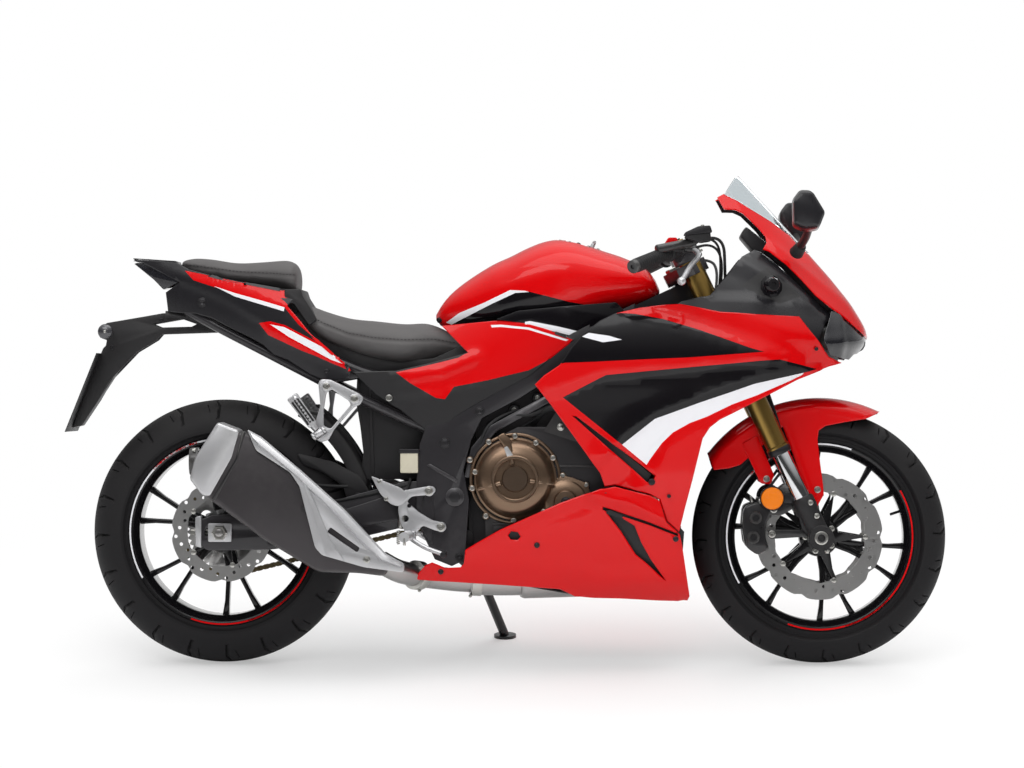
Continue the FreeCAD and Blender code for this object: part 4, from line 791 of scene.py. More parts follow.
FINISHES = (
    Finish("red_paint", (204, 4, 8), 0.24, Relief.PAINT, 220, 0.00002, 0.03, coat=0.42, shine=0.12),
    Finish("black_paint", (15, 13, 16), 0.18, Relief.PAINT, 220, 0.00002, 0.05, coat=0.4, shine=0.15),
    Finish("white_paint", (228, 228, 232), 0.25, Relief.PAINT, 220, 0.00002, 0.02, coat=0.4, shine=0.2),
    Finish("black_plastic", (26, 25, 27), 0.5, Relief.GRAIN, 1400, 0.00008, 0.12, dust=0.05),
    Finish("gloss_plastic", (28, 27, 30), 0.28, Relief.GRAIN, 700, 0.00003, 0.08),
    Finish("seat_vinyl", (80, 78, 78), 0.6, Relief.LEATHER, 420, 0.0002, 0.1, dust=0.04),
    Finish("seam_thread", (52, 50, 50), 0.8, Relief.GRAIN, 1500, 0.0002, 0.2),
    # The frame's light edge colour is partly wear and partly a painted highlight on its edges.
    Finish("frame_black", (38, 36, 39), 0.34, Relief.CAST, 260, 0.0001, 0.08, metal=0.2, coat=0.3,
           worn_and_highlight_colour=(112, 110, 112)),
    Finish("steel_black", (24, 23, 25), 0.32, Relief.CAST, 400, 0.00005, 0.1, coat=0.3,
           worn_and_highlight_colour=(110, 108, 106)),
    Finish("charcoal", (62, 59, 61), 0.36, Relief.CAST, 500, 0.00004, 0.08, metal=0.5, worn_and_highlight_colour=(150, 148, 146)),
    Finish("silver_cast", (196, 196, 198), 0.4, Relief.CAST, 380, 0.00012, 0.08, metal=0.85,
           worn_and_highlight_colour=(225, 225, 225)),
    Finish("satin_steel", (168, 166, 165), 0.3, Relief.BRUSHED, 500, 0.00004, 0.12, metal=1.0),
    Finish("header_steel", (128, 112, 96), 0.34, Relief.BRUSHED, 300, 0.00003, 0.25, metal=1.0),
    Finish("chrome", (215, 216, 218), 0.09, Relief.BRUSHED, 800, 0.00001, 0.05, metal=1.0),
    Finish("bronze_cast", (126, 104, 86), 0.3, Relief.BRUSHED, 420, 0.00006, 0.14, metal=0.9,
           worn_and_highlight_colour=(176, 156, 136)),
    Finish("bronze_dark", (92, 77, 65), 0.36, Relief.BRUSHED, 420, 0.00006, 0.1, metal=0.85),
    Finish("gold_anodised", (150, 122, 66), 0.3, Relief.BRUSHED, 600, 0.00003, 0.08, metal=0.95),
    Finish("disc_steel", (206, 205, 204), 0.29, Relief.CAST, 900, 0.00003, 0.06, metal=1.0),
    Finish("rim_black", (14, 13, 15), 0.24, Relief.PAINT, 260, 0.00003, 0.08, coat=0.4, worn_and_highlight_colour=(58, 58, 58),
           shine=0.25),
    Finish("engine_dark", (40, 38, 40), 0.45, Relief.CAST, 300, 0.0002, 0.12, metal=0.4, worn_and_highlight_colour=(90, 88, 86),
           dust=0.03),
    Finish("tyre_black", (20, 19, 21), 0.55, Relief.RUBBER, 500, 0.00015, 0.15, dust=0.02, shine=0.25),
    Finish("tread_black", (24, 23, 25), 0.66, Relief.RUBBER, 800, 0.0003, 0.2, dust=0.04, shine=0.3),
    Finish("rubber_black", (26, 26, 27), 0.65, Relief.RUBBER, 900, 0.00015, 0.12),
    # Near black and matte: painted shade for the floors of grooves and bores, where little light reaches.
    Finish("groove_black", (9, 9, 9), 0.95, Relief.RUBBER, 900, 0.0001, 0.1),
    Finish("chain_steel", (120, 108, 82), 0.42, Relief.CAST, 600, 0.00008, 0.3, metal=0.9),
    Finish("bolt_zinc", (188, 187, 182), 0.3, Relief.BRUSHED, 900, 0.00003, 0.1, metal=1.0),
    Finish("bolt_black", (44, 43, 45), 0.35, Relief.CAST, 600, 0.00005, 0.1, metal=0.5),
    Finish("amber_lens", (232, 122, 14), 0.18, Relief.PRISMS, 420, 0.0006, 0.25, coat=0.8),
    Finish("clear_screen", (238, 243, 245), 0.03, Relief.PAINT, 30, 0.00002, 0.02, glass=1.0, index=1.12),
    Finish("clear_lens", (232, 234, 236), 0.06, Relief.PAINT, 60, 0.00004, 0.03, glass=1.0, index=1.3),
    Finish("smoke_lens", (66, 66, 70), 0.16, Relief.PRISMS, 300, 0.0005, 0.3, coat=1.0, metal=0.3),
    Finish("lamp_glass", (40, 40, 45), 0.05, Relief.PAINT, 60, 0.00003, 0.03, coat=1.0, glass=0.4,
           index=1.3),
    Finish("lamp_red", (150, 18, 20), 0.3, Relief.PRISMS, 300, 0.0004, 0.2, coat=0.8),
    Finish("mirror_glass", (205, 212, 218), 0.03, Relief.PAINT, 40, 0.00001, 0.02, metal=1.0),
    Finish("plate_blank", (228, 228, 226), 0.35, Relief.PAINT, 160, 0.00004, 0.03, coat=0.4),
    Finish("core_fins", (70, 70, 72), 0.55, Relief.GRAIN, 900, 0.0003, 0.25, metal=0.6),
    Finish("reservoir", (196, 190, 170), 0.4, Relief.GRAIN, 500, 0.00005, 0.06),
    Finish("dial_face", (16, 17, 19), 0.12, Relief.PAINT, 100, 0.00001, 0.05, coat=1.0),
    Finish("spring_dark", (60, 60, 64), 0.35, Relief.CAST, 500, 0.00004, 0.1, metal=0.5),
)


def linear(colour: tuple[int, int, int]) -> tuple[float, float, float, float]:
    """Return a colour as the shader holds it."""
    parts = [c / 255 for c in colour]
    return (*[p / 12.92 if p <= 0.04045 else ((p + 0.055) / 1.055) ** 2.4 for p in parts], 1.0)


class Graph:
    """A node tree with short ways to add and join shader nodes."""

    def __init__(self, tree: bpy.types.NodeTree) -> None:
        """Keep the tree."""
        self.tree = tree

    def put(self, socket: bpy.types.NodeSocket, value: object) -> None:
        """Join an input to another node's output, or set it to a constant."""
        if isinstance(value, bpy.types.NodeSocket):
            self.tree.links.new(value, socket)
        else:
            socket.default_value = value

    def add(self, kind: str, inputs: dict | None = None, **settings: object) -> bpy.types.Node:
        """Return a new node with its settings and inputs."""
        node = self.tree.nodes.new("ShaderNode" + kind)
        for label, value in settings.items():
            setattr(node, label, value)
        for label, value in (inputs or {}).items():
            self.put(node.inputs[label], value)
        return node

    def ramp(self, value: object, source: Point2 = (0.0, 1.0), target: Point2 = (0.0, 1.0),
             **settings: object) -> bpy.types.NodeSocket:
        """Return a value carried over from one range to another."""
        inputs = {"Value": value, "From Min": source[0], "From Max": source[1], "To Min": target[0],
                  "To Max": target[1]}
        return self.add("MapRange", inputs, **settings).outputs["Result"]

    def noise(self, place: object, scale: float, detail: float = 2.0) -> bpy.types.NodeSocket:
        """Return noise at a place."""
        return self.add("TexNoise", {"Vector": place, "Scale": scale, "Detail": detail}).outputs["Fac"]

    def both(self, operation: str, first: object, second: object) -> bpy.types.NodeSocket:
        """Return two values taken together by an operation."""
        return self.add("Math", {0: first, 1: second}, operation=operation).outputs["Value"]

    def blend(self, share: object, low: object, high: object) -> bpy.types.NodeSocket:
        """Return a colour mixed from two by a share."""
        return self.add("Mix", {0: share, 6: low, 7: high}, data_type="RGBA").outputs[2]

    def group(self, tree: bpy.types.NodeTree, **values: float) -> bpy.types.Node:
        """Return a group placed here with its own values."""
        return self.add("Group", values, node_tree=tree)


class Palette:
    """Builds each shader group once and a material for each finish."""

    def __init__(self) -> None:
        """Start with no groups."""
        self.groups: dict[str, bpy.types.NodeTree] = {}

    def new_group(self, name: str, inputs: dict[str, float], outputs: Sequence[str]) -> tuple:
        """Return a new group's graph with its input and output nodes."""
        tree = bpy.data.node_groups.new(name, "ShaderNodeTree")
        for label, value in inputs.items():
            socket = tree.interface.new_socket(label, in_out="INPUT", socket_type="NodeSocketFloat")
            socket.default_value = value
        for label in outputs:
            tree.interface.new_socket(label, in_out="OUTPUT", socket_type="NodeSocketFloat")
        self.groups[name] = tree
        return Graph(tree), tree.nodes.new("NodeGroupInput"), tree.nodes.new("NodeGroupOutput")

    def relief(self, kind: Relief) -> bpy.types.NodeTree:
        """Return the group for one kind of fine surface: its height and its tone."""
        if kind.value in self.groups:
            return self.groups[kind.value]
        graph, entry, leave = self.new_group(kind.value, {"Scale": 300.0}, ("Height", "Tone"))
        coords = graph.add("TexCoord").outputs["Object"]
        place = coords
        if kind is Relief.BRUSHED:
            along = {"Vector": coords, "Scale": (0.06, 1.0, 1.0), "Rotation": (0.0, 0.45, 0.0)}
            place = graph.add("Mapping", along).outputs["Vector"]
        inputs = {"Vector": place, "Scale": entry.outputs["Scale"]}
        if kind is Relief.PRISMS:
            fine = graph.add("TexVoronoi", inputs | {"Randomness": 0.0}, distance="CHEBYCHEV")
        elif kind is Relief.LEATHER:
            fine = graph.add("TexVoronoi", inputs, feature="SMOOTH_F1")
        else:
            detail = {Relief.CAST: 6.0, Relief.RUBBER: 4.0}.get(kind, 2.0)
            rough = 0.62 if kind in (Relief.CAST, Relief.RUBBER) else 0.5
            fine = graph.add("TexNoise", inputs | {"Detail": detail, "Roughness": rough})
        height = fine.outputs[0]
        broad = graph.noise(coords, 9.0, 3.0)
        share = 0.45 if kind is Relief.BRUSHED else 0.7
        tone = graph.add("Mix", {"Factor": share, "A": height, "B": broad}).outputs["Result"]
        graph.put(leave.inputs["Height"], height)
        graph.put(leave.inputs["Tone"], tone)
        return graph.tree

    def mask(self, name: str, amount: float, scale: float, detail: float,
             find: Callable[[Graph], bpy.types.NodeSocket]) -> bpy.types.NodeTree:
        """Return the group of a mask: what find gives, broken up by noise, by an amount."""
        if name in self.groups:
            return self.groups[name]
        graph, entry, leave = self.new_group(name, {"Amount": amount}, ("Mask",))
        noise = graph.noise(graph.add("TexCoord").outputs["Object"], scale, detail)
        found = graph.both("MULTIPLY", find(graph), noise)
        graph.put(leave.inputs["Mask"], graph.both("MULTIPLY", found, entry.outputs["Amount"]))
        return graph.tree

    def edge_wear(self) -> bpy.types.NodeTree:
        """Return the group that finds sharp edges, for edge wear and a painted edge highlight."""
        return self.mask("edge_wear", 0.5, 60.0, 5.0, lambda graph: graph.ramp(
            graph.add("NewGeometry").outputs["Pointiness"], (0.53, 0.62)))

    def settled_dust(self) -> bpy.types.NodeTree:
        """Return the group that finds where dust settles on upper faces."""
        return self.mask("settled_dust", 0.05, 14.0, 6.0, lambda graph: graph.ramp(
            graph.add("SeparateXYZ", {"Vector": graph.add("NewGeometry").outputs["Normal"]}).outputs["Z"],
            (-0.2, 1.0)))

    def material(self, finish: Finish) -> bpy.types.Material:
        """Return the material of a finish."""
        material = bpy.data.materials.new(finish.name)
        material.use_nodes = True
        graph = Graph(material.node_tree)
        relief = graph.group(self.relief(finish.relief), Scale=float(finish.scale))
        tone = relief.outputs["Tone"]
        base = linear(finish.colour)
        low = (*[c * (1 - finish.vary) for c in base[:3]], 1.0)
        high = (*[min(1.0, c * (1 + finish.vary)) for c in base[:3]], 1.0)
        colour = graph.blend(tone, low, high)
        # Sharp edges are lightened: edge wear together with a painted edge highlight.
        if finish.worn_and_highlight_colour:
            wear_and_highlight = graph.group(self.edge_wear(), Amount=0.9)
            colour = graph.blend(wear_and_highlight.outputs["Mask"], colour, linear(finish.worn_and_highlight_colour))
        if finish.dust:
            dust = graph.group(self.settled_dust(), Amount=finish.dust)
            colour = graph.blend(dust.outputs["Mask"], colour, linear(DUST))
        rough = graph.ramp(tone, target=(finish.rough * 0.85, min(1.0, finish.rough * 1.15)))
        height = relief.outputs["Height"]
        bump = graph.add("Bump", {"Strength": 0.8, "Distance": finish.bump, "Height": height})
        looks = {"Base Color": colour, "Roughness": rough, "Normal": bump.outputs["Normal"],
                 "Metallic": finish.metal, "Coat Weight": finish.coat, "Coat Roughness": 0.06,
                 "Transmission Weight": finish.glass, "IOR": finish.index,
                 "Specular IOR Level": finish.shine}
        for label, value in looks.items():
            graph.put(graph.tree.nodes["Principled BSDF"].inputs[label], value)
        return material


@dataclass(frozen=True)
class Studio:
    """The floor, the lights and the camera, which stands where the photograph's did."""

    distance: float = 9000.0
    axis_place: Point2 = (891.9, 646.5)
    middle: Point2 = (682.7, 660.8)
    view_width: float = 2434.0

    def floor(self) -> None:
        """Lay a pale floor that fades to white away from the machine."""
        bpy.ops.mesh.primitive_grid_add(x_subdivisions=24, y_subdivisions=24, size=60, location=(0, 0, 0))
        floor = bpy.context.active_object
        floor.name = "floor"
        material = bpy.data.materials.new("studio_floor")
        material.use_nodes = True
        graph = Graph(material.node_tree)
        graph.tree.nodes.clear()
        coords = graph.add("TexCoord").outputs["Object"]
        length = graph.add("VectorMath", {0: coords}, operation="LENGTH").outputs["Value"]
        fade = graph.ramp(length, (0.3, 1.9), (0.3, 1.0), interpolation_type="SMOOTHSTEP")
        tone = graph.ramp(graph.noise(coords, 3.0), target=(0.86, 0.9))
        diffuse = graph.add("BsdfDiffuse", {"Color": tone}).outputs["BSDF"]
        white = graph.add("Emission").outputs["Emission"]
        share = graph.both("MULTIPLY", fade, graph.add("LightPath").outputs["Is Camera Ray"])
        mix = graph.add("MixShader", {0: share, 1: diffuse, 2: white})
        graph.add("OutputMaterial", {"Surface": mix.outputs["Shader"]})
        floor.data.materials.append(material)
        floor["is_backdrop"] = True

    def world(self) -> None:
        """Light the room: white to the camera, darker toward the ground for the rest."""
        world = bpy.data.worlds.new("studio")
        bpy.context.scene.world = world
        world.use_nodes = True
        graph = Graph(world.node_tree)
        split = graph.add("SeparateXYZ", {"Vector": graph.add("TexCoord").outputs["Generated"]})
        height = graph.ramp(split.outputs["Z"], (0.3, 0.85), (0.06, 1.05))
        behind = graph.ramp(split.outputs["Y"], (-0.1, 0.7), (0.0, 0.35))
        path = graph.add("LightPath")
        clear = graph.both("MAXIMUM", path.outputs["Is Camera Ray"], path.outputs["Is Transmission Ray"])
        mix = graph.add("Mix", {"Factor": clear, "A": graph.both("ADD", height, behind), "B": 1.0})
        back = graph.tree.nodes["Background"]
        back.inputs["Color"].default_value = (1.0, 1.0, 1.0, 1.0)
        graph.put(back.inputs["Strength"], mix.outputs["Result"])

    def lamp(self, name: str, place: tuple, aim: tuple, size: tuple, power: float,
             mirrored: bool = True) -> None:
        """Hang one soft lamp, which gloss mirrors or not."""
        data = bpy.data.lights.new(name, "AREA")
        data.shape = "RECTANGLE"
        data.size, data.size_y = size
        data.energy = power
        lamp = bpy.data.objects.new(name, data)
        bpy.context.scene.collection.objects.link(lamp)
        lamp.location = place
        lamp.rotation_euler = (Vector(aim) - Vector(place)).to_track_quat("-Z", "Y").to_euler()
        lamp.visible_glossy = mirrored

    def camera(self, parked: Matrix) -> None:
        """Stand the camera square to the machine's right side, turned with its lean."""
        data = bpy.data.cameras.new("view")
        data.sensor_width = 36.0
        data.lens = 36.0 * self.distance / self.view_width
        data.clip_end = 100.0
        data.dof.use_dof = False
        camera = bpy.data.objects.new("view", data)
        bpy.context.scene.collection.objects.link(camera)
        eye = parked @ Vector((self.axis_place[0], -self.distance, self.axis_place[1]))
        aim = parked @ Vector((self.middle[0], 0.0, self.middle[1]))
        back = (eye - aim).normalized()
        upright = (parked.to_3x3() @ Vector((0, 0, 1))).normalized()
        right = upright.cross(back).normalized()
        up = back.cross(right)
        turn = Matrix((right, up, back)).transposed().to_4x4()
        camera.matrix_world = Matrix.Translation(eye) @ turn
        bpy.context.scene.camera = camera

    def build(self, parked: Matrix) -> None:
        """Set up the whole studio."""
        self.floor()
        self.world()
        self.lamp("top_light", (0.2, -0.4, 3.4), (0, 0, 0.4), (3.6, 2.2), 42.0)
        self.lamp("side_light", (-1.2, -3.0, 3.7), (0, 0, 0.5), (3.2, 1.2), 36.0)
        self.lamp("fill_light", (1.0, -5.0, 1.6), (0, 0, 0.4), (2.6, 2.0), 68.0, False)
        self.lamp("far_light", (1.2, 3.8, 2.6), (0, 0, 0.5), (2.8, 2.0), 60.0, False)
        self.camera(parked)
        bpy.context.scene.view_settings.view_transform = "Standard"


class Assembly:
    """A group of pieces made on the bench."""

    def __init__(self, bench: Bench) -> None:
        """Keep the bench."""
        self.bench = bench

    def bolt(self, place: Sequence[float], way: Sequence[float] = (0, -1, 0), radius: float = 6.0,
             finish: str = "bolt_zinc", hexagon: bool = False, height: float = 5.0) -> list[Thing]:
        """Return a bolt head with its washer and its socket or flange.

        Args:
            place: The middle of its seat.
            way: The way it faces.
            radius: Radius of the head.
            finish: Its finish.
            hexagon: Whether it is a hexagon head; else a round socket head.
            height: How far the head stands out.
        """
        b, start, run = self.bench, Vector(place), Vector(way).normalized()
        washer = b.paint(b.bar(start - run * 1.5, start + run * 1.4, radius * 1.45, round_by=0.5, steps=20),
                         finish)
        top = start + run * (height + 1.4)
        if hexagon:
            head = b.turned([(0, 0), (radius * 1.1, 0), (radius * 1.1, 0.8), (radius * 0.92, 1), (0, 1)],
                            start + run * 1.2, top, 6)
            return [washer, b.paint(head, finish)]
        profile = [(0, 0), (radius, 0), (radius, 0.8), (radius * 0.86, 1), (radius * 0.56, 1),
                   (radius * 0.5, 0.45), (0, 0.4)]
        head = b.turned(profile, start + run * 1.2, top, 18)
        return [washer, b.paint(head, finish)]


@dataclass(frozen=True)
class FairingPlan:
    """Side view outlines of the fairing, as it is moulded and painted."""

    side: Outline = (
        (741, 659), (762, 680), (799, 705), (828, 748), (857, 781), (892, 808), (925, 824), (985, 843),
        (1040, 848), (1078, 849), (1120, 841), (1171, 830), (1264, 824), (1357, 820), (1372, 800),
        (1405, 758), (1431, 722), (1461, 709), (1425, 695), (1355, 670), (1262, 623), (1170, 577),
        (1147, 559), (1130, 533), (1107, 438), (1089, 369), (1076, 314), (1047, 340), (1031, 390),
        (1008, 403), (927, 424), (903, 420), (892, 452), (834, 534), (776, 614))
    infill: Outline = ((799, 709), (828, 750), (857, 783), (892, 810), (925, 826), (975, 824), (1040, 812),
                       (1124, 786), (1240, 744), (1272, 735), (1100, 722), (982, 717), (880, 712))
    black: Outline = (
        (806, 629), (892, 674), (906, 681), (1031, 693), (1262, 714), (1309, 717), (1401, 695), (1369, 686),
        (1251, 660), (1184, 637), (1116, 614), (1019, 579), (943, 519))
    white: Outline = (
        (943, 519), (1019, 579), (1116, 614), (1184, 637), (1251, 660), (1369, 686), (1367, 681),
        (1332, 665), (1256, 633), (1198, 612), (1140, 584), (1100, 569), (1061, 547), (1035, 522),
        (1008, 484), (1000, 471))
    mark: Outline = ((850, 770), (866, 779), (913, 772), (943, 763), (899, 757))
    slit: Outline = ((828, 586), (838, 584), (1020, 446), (1012, 428), (1000, 432))
    belly: Outline = (
        (460, 203), (460, 208), (484, 236), (500, 243), (530, 230), (566, 232), (574, 240), (578, 272),
        (604, 288), (659, 320), (799, 383), (892, 417), (905, 418), (927, 422), (1008, 401), (1031, 388),
        (1047, 339), (1077, 311), (1083, 284), (1092, 226), (1102, 163), (1098, 151), (1030, 153),
        (939, 158), (833, 163), (798, 181), (658, 191), (553, 198))
    vent: Outline = ((903, 366), (940, 350), (972, 330), (988, 290), (1010, 250), (1046, 202), (1002, 240),
                     (975, 262), (940, 318))
    tool_hole: Outline = ((678, 306), (685, 316), (700, 314), (707, 304), (700, 296), (684, 297))
    belly_slot: Outline = ((899, 374), (1008, 337), (1073, 311), (1073, 305), (1008, 331), (899, 367))
    cowl: Outline = (
        (1168, 1101), (1184, 1110), (1216, 1094), (1245, 1076), (1293, 1047), (1340, 1012), (1368, 979),
        (1414, 954), (1467, 898), (1501, 852), (1528, 800), (1544, 769), (1522, 767), (1500, 788),
        (1458, 823), (1439, 835), (1399, 866), (1363, 906), (1328, 941), (1288, 972), (1274, 977),
        (1283, 993), (1281, 1007), (1266, 1026), (1245, 1047), (1228, 1063), (1210, 1071), (1184, 1072))
    inner: Outline = (
        (1078, 836), (1102, 851), (1168, 868), (1190, 893), (1226, 935), (1244, 958), (1274, 977),
        (1288, 972), (1328, 941), (1363, 906), (1399, 866), (1439, 835), (1458, 823), (1436, 800),
        (1424, 775), (1416, 748), (1372, 780), (1352, 800), (1264, 806), (1171, 812), (1120, 824))
    lamp: Outline = ((1429, 800), (1439, 833), (1458, 822), (1500, 787), (1522, 767), (1540, 766),
                     (1540, 747), (1493, 729), (1481, 717), (1434, 727), (1415, 762))
    screen: Outline = ((1184, 1107), (1208, 1145), (1214, 1152), (1240, 1155), (1320, 1070), (1391, 990),
                       (1412, 958), (1366, 982), (1340, 1012), (1293, 1045), (1245, 1074), (1216, 1092))


class Fairing(Assembly):
    """Cowl, screen, lamp, side panels and belly."""

    plan = FairingPlan()
    skin = BodySkin()

    def build(self) -> None:
        """Make every panel."""
        self.side_panels()
        self.belly()
        self.nose()

    def creases(self) -> list[Crease]:
        """Return the character lines of the side panels."""
        p = self.plan
        return [
            Crease(((1461, 709), (1297, 718), (1100, 699), (906, 681), (799, 640)), -5.0, 7.0, True),
            Crease(((1275, 737), (1240, 748), (1124, 790), (1040, 816), (985, 826),
                    (925, 830)), 4.0, 7.0, True),
            Crease(tuple(p.black[7:]), -7.0, 9.0, True),
            Crease(((1000, 465), (1035, 520), (1061, 545), (1100, 566), (1198, 609),
                    (1367, 678)), -4.0, 9.0, True),
            Crease(((935, 430), (1020, 500)), -3.0, 14.0),
            Crease(((900, 480), (985, 560), (1090, 600)), 3.0, 30.0),
            Crease(((985, 846), (1124, 813), (1262, 774), (1410, 718)), -9.0, 36.0, roof=True),
        ]

    def side_panels(self) -> None:
        """Make both side panels with their stripes and slit."""
        b, p = self.bench, self.plan
        regions = [
            Region(p.side, "red_paint"), Region(p.infill, "black_paint"), Region(p.black, "black_paint"),
            Region(p.white, "white_paint"), Region(p.mark, "white_paint"), Region(p.slit, None),
        ]
        for side, name in ((-1, "right"), (1, "left")):
            panel = b.sheet(self.skin, regions, 13.0, 3.5, self.creases(), sides=(side,), roll=1.6)
            back = BodySkin(inset=24.0)
            liner = b.sheet(back, [Region(((815, 600), (850, 600), (1035, 450), (1020, 425), (985, 425)),
                                          "black_plastic")], 20.0, 2.0, sides=(side,), roll=0.0)
            y = self.skin.point(*self.skin.to_skin(1012, 433, side)).y
            clip = b.bar((1012, y - side * 26, 433), (1012, y - side * 4, 433), 8.0, round_by=2.0)
            rivets = []
            for x, z, sunk in ((1395, 742, 4.0), (1052, 400, 1.0)):
                y = self.skin.point(*self.skin.to_skin(x, z, side)).y
                rivets.append(b.bar((x, y - side * 16, z), (x, y + side * (1.6 - sunk), z), 4.5))
            b.park(f"side_fairing_{name}_panel", [panel, liner, b.paint(clip, "bolt_black"),
                                                  *[b.paint(r, "bolt_black") for r in rivets]],
                   "chassis", [f"side_fairing_{name}"])

    def belly(self) -> None:
        """Make the belly cowl: the left half is cut short for the side stand."""
        b, p = self.bench, self.plan
        creases = [
            Crease(((905, 230), (1025, 217), (1046, 190)), -3.0, 8.0, True),
            Crease(((1100, 170), (833, 176), (798, 195), (658, 205), (470, 212)), 3.0, 10.0, True),
            Crease(((470, 215), (660, 300), (900, 395)), -2.5, 16.0),
            Crease(((880, 402), (960, 386), (1040, 346)), 11.0, 26.0, roof=True),
            Crease(((880, 190), (1030, 212), (1100, 190)), 6.0, 40.0, roof=True),
        ]
        regions = [Region(p.belly, "red_paint"), Region(p.vent, None), Region(p.belly_slot, None),
                   Region(p.tool_hole, None)]
        right = b.sheet(self.skin, regions, 12.0, 3.5, creases, sides=(-1,), roll=1.6)
        short = [(x, z) for x, z in p.belly if x >= 700]
        left_line = [(700, 188), (700, 338), *[q for q in short if q[1] > 340 or q[0] > 1030],
                     (939, 158), (833, 163), (798, 181)]
        left = b.sheet(self.skin, [Region(left_line, "red_paint"), *regions[1:]], 12.0, 3.5, creases,
                       sides=(1,), roll=1.6)
        parts = [right, left]
        liner = BodySkin(inset=16.0)
        for side in (-1, 1):
            parts.append(b.sheet(liner, [Region(((900, 392), (1056, 368), (1104, 316), (1096, 195),
                                                 (1046, 185), (946, 300)), "black_plastic")], 24.0, 2.0,
                                 sides=(side,), roll=0.0))
        parts.append(b.sheet(liner, [Region(((660, 330), (730, 330), (730, 280),
                                             (660, 280)), "black_plastic")],
                             24.0, 2.0, sides=(-1,), roll=0.0))
        floor_points = [(x, self.skin.point(*self.skin.to_skin(x, z, 1)).y, z)
                        for x, z in ((700, 190), (833, 166), (939, 160), (1096, 153))]
        count = len(floor_points)
        pan = b.raw([(x, side * (y - 3), z + 1) for side in (1, -1) for x, y, z in floor_points],
                    [(i, i + 1, count + i + 1, count + i) for i in range(count - 1)])
        parts.append(b.paint(b.modify(pan, "SOLIDIFY", thickness=3.0, offset=0.0), "black_plastic"))
        bridge = b.copy_node("belly_cowl", 1.0, keep=lambda v: abs(v.y) < 172 and v.x > 1055 and v.z > 160)
        parts.append(b.paint(bridge, "red_paint"))
        for x, z in ((745, 285), (520, 222), (1068, 300), (905, 404)):
            for side in (-1, 1):
                if side == 1 and x < 710:
                    continue
                y = self.skin.point(*self.skin.to_skin(x, z, side)).y
                parts += self.bolt((x, y, z), (0, side, 0), 4.6, "bolt_black", height=1.6)
        b.park("belly_panels", parts, "chassis", ["belly_cowl"])

    def nose(self) -> None:
        """Make the upper cowl, the screen, the infill panels and the lamp."""
        b, p = self.bench, self.plan
        creases = [Crease(((1524, 775), (1470, 850), (1400, 905), (1300, 985)), 3.0, 10.0)]
        cowl = b.sheet(self.skin, [Region(p.cowl, "red_paint")], 11.0, 3.5, creases, roll=1.6)
        b.park("upper_cowl_shell", cowl, "chassis", ["upper_cowl"])
        screen = b.sheet(self.skin, [Region(p.screen, "clear_screen")], 14.0, 2.6, roll=0.8, outward=1.5)
        b.park("screen_bubble", screen, "chassis", ["windscreen"])
        folds = [Crease(((1440, 812), (1360, 856), (1180, 862)), 6.0, 5.0, True),
                 Crease(((1190, 960), (1300, 905), (1380, 856)), 7.0, 34.0, roof=True)]
        panels = b.sheet(BodySkin(inset=20.0), [Region(p.inner, "gloss_plastic"),
                                               Region(((1240, 890), (1300, 930), (1380, 862), (1330, 845)),
                                                      "black_plastic")], 12.0, 3.0, folds, sides=(-1, 1),
                         roll=1.2)
        knobs = []
        for side in (-1, 1):
            y = smooth(self.skin.widths, 888) - 15
            seat, tip = Vector((1290, side * (y - 4), 888)), Vector((1296, side * (y + 15), 892))
            knobs.append(b.paint(b.turned([(0, 0), (27, 0), (27, 0.2), (21, 0.3), (18, 0.8), (14, 1), (6, 1),
                                           (5, 0.85), (0, 0.85)], seat, tip, 10), "black_paint"))
        b.park("cockpit_infill_panels", [panels, *knobs], "chassis", ["inner_panels"])
        self.headlamp()

    def headlamp(self) -> None:
        """Make the twin lamp: lens, housing, reflector bowls and bulbs."""
        b, p = self.bench, self.plan
        facets = [Crease(((1400, 752), (1470, 758), (1545, 752)), 7.0, 26.0, roof=True),
                  Crease(((1452, 700), (1452, 840)), 4.0, 16.0, roof=True)]
        lens = b.sheet(BodySkin(inset=5.0), [Region(p.lamp, "lamp_glass")], 9.0, 2.5, facets, roll=0.5)
        house = b.sheet(BodySkin(inset=46.0), [Region(((1395, 800), (1410, 826), (1500, 800), (1500, 715),
                                                       (1400, 722)), "black_plastic")], 16.0, 3.0,
                        roll=0.0)
        parts = [lens, house]
        for side in (-1, 1):
            for y, z, r in ((44, 776, 36), (112, 768, 30)):
                front = Vector((1478 - (0 if y < 60 else 42), side * y, z))
                way = Vector((-1.0, side * -0.12 * (y / 60), 0.0)).normalized()
                profile = [(r, 0), (r + 3, 0.04), (r * 0.92, 0.5), (r * 0.55, 0.94), (6, 1.0), (5.5, 0.96),
                           (r * 0.5, 0.88), (r * 0.86, 0.46), (r, 0)]
                parts.append(b.paint(b.turned(profile, front, front + way * 44, 36), "steel_black"))
                parts.append(b.paint(b.bar(front + way * 14, front + way * 40, 6.0, 8.0, 3.0), "clear_lens"))
        b.park("headlamp_unit", parts, "chassis", ["headlight"])


@dataclass(frozen=True)
class TankPlan:
    """Form and stripes of the fuel tank."""

    stations: Sequence[tuple[float, float, float, float]] = (
        (503, 16, 826, 812), (512, 44, 842, 800), (532, 64, 868, 792), (560, 82, 893, 786),
        (600, 98, 921, 786), (642, 114, 946, 788), (680, 126, 963, 790), (718, 136, 982, 792),
        (756, 142, 997, 796), (790, 146, 1003, 800), (826, 146, 1000, 806), (860, 144, 990, 812),
        (900, 140, 976, 824), (940, 132, 963, 834), (975, 122, 948, 844), (1004, 104, 930, 854),
        (1020, 80, 912, 862), (1030, 40, 893, 872), (1033, 12, 885, 876))
    red: Outline = ((500, 640), (500, 1100), (1040, 1100), (1040, 640))
    white: Outline = ((528, 806), (560, 828), (620, 852), (681, 881), (716, 879), (726, 876), (693, 874),
                      (640, 850), (541, 801))
    black: Outline = ((541, 801), (640, 850), (693, 874), (726, 877), (820, 853), (892, 840), (960, 822),
                      (1033, 840), (1033, 760), (541, 760))


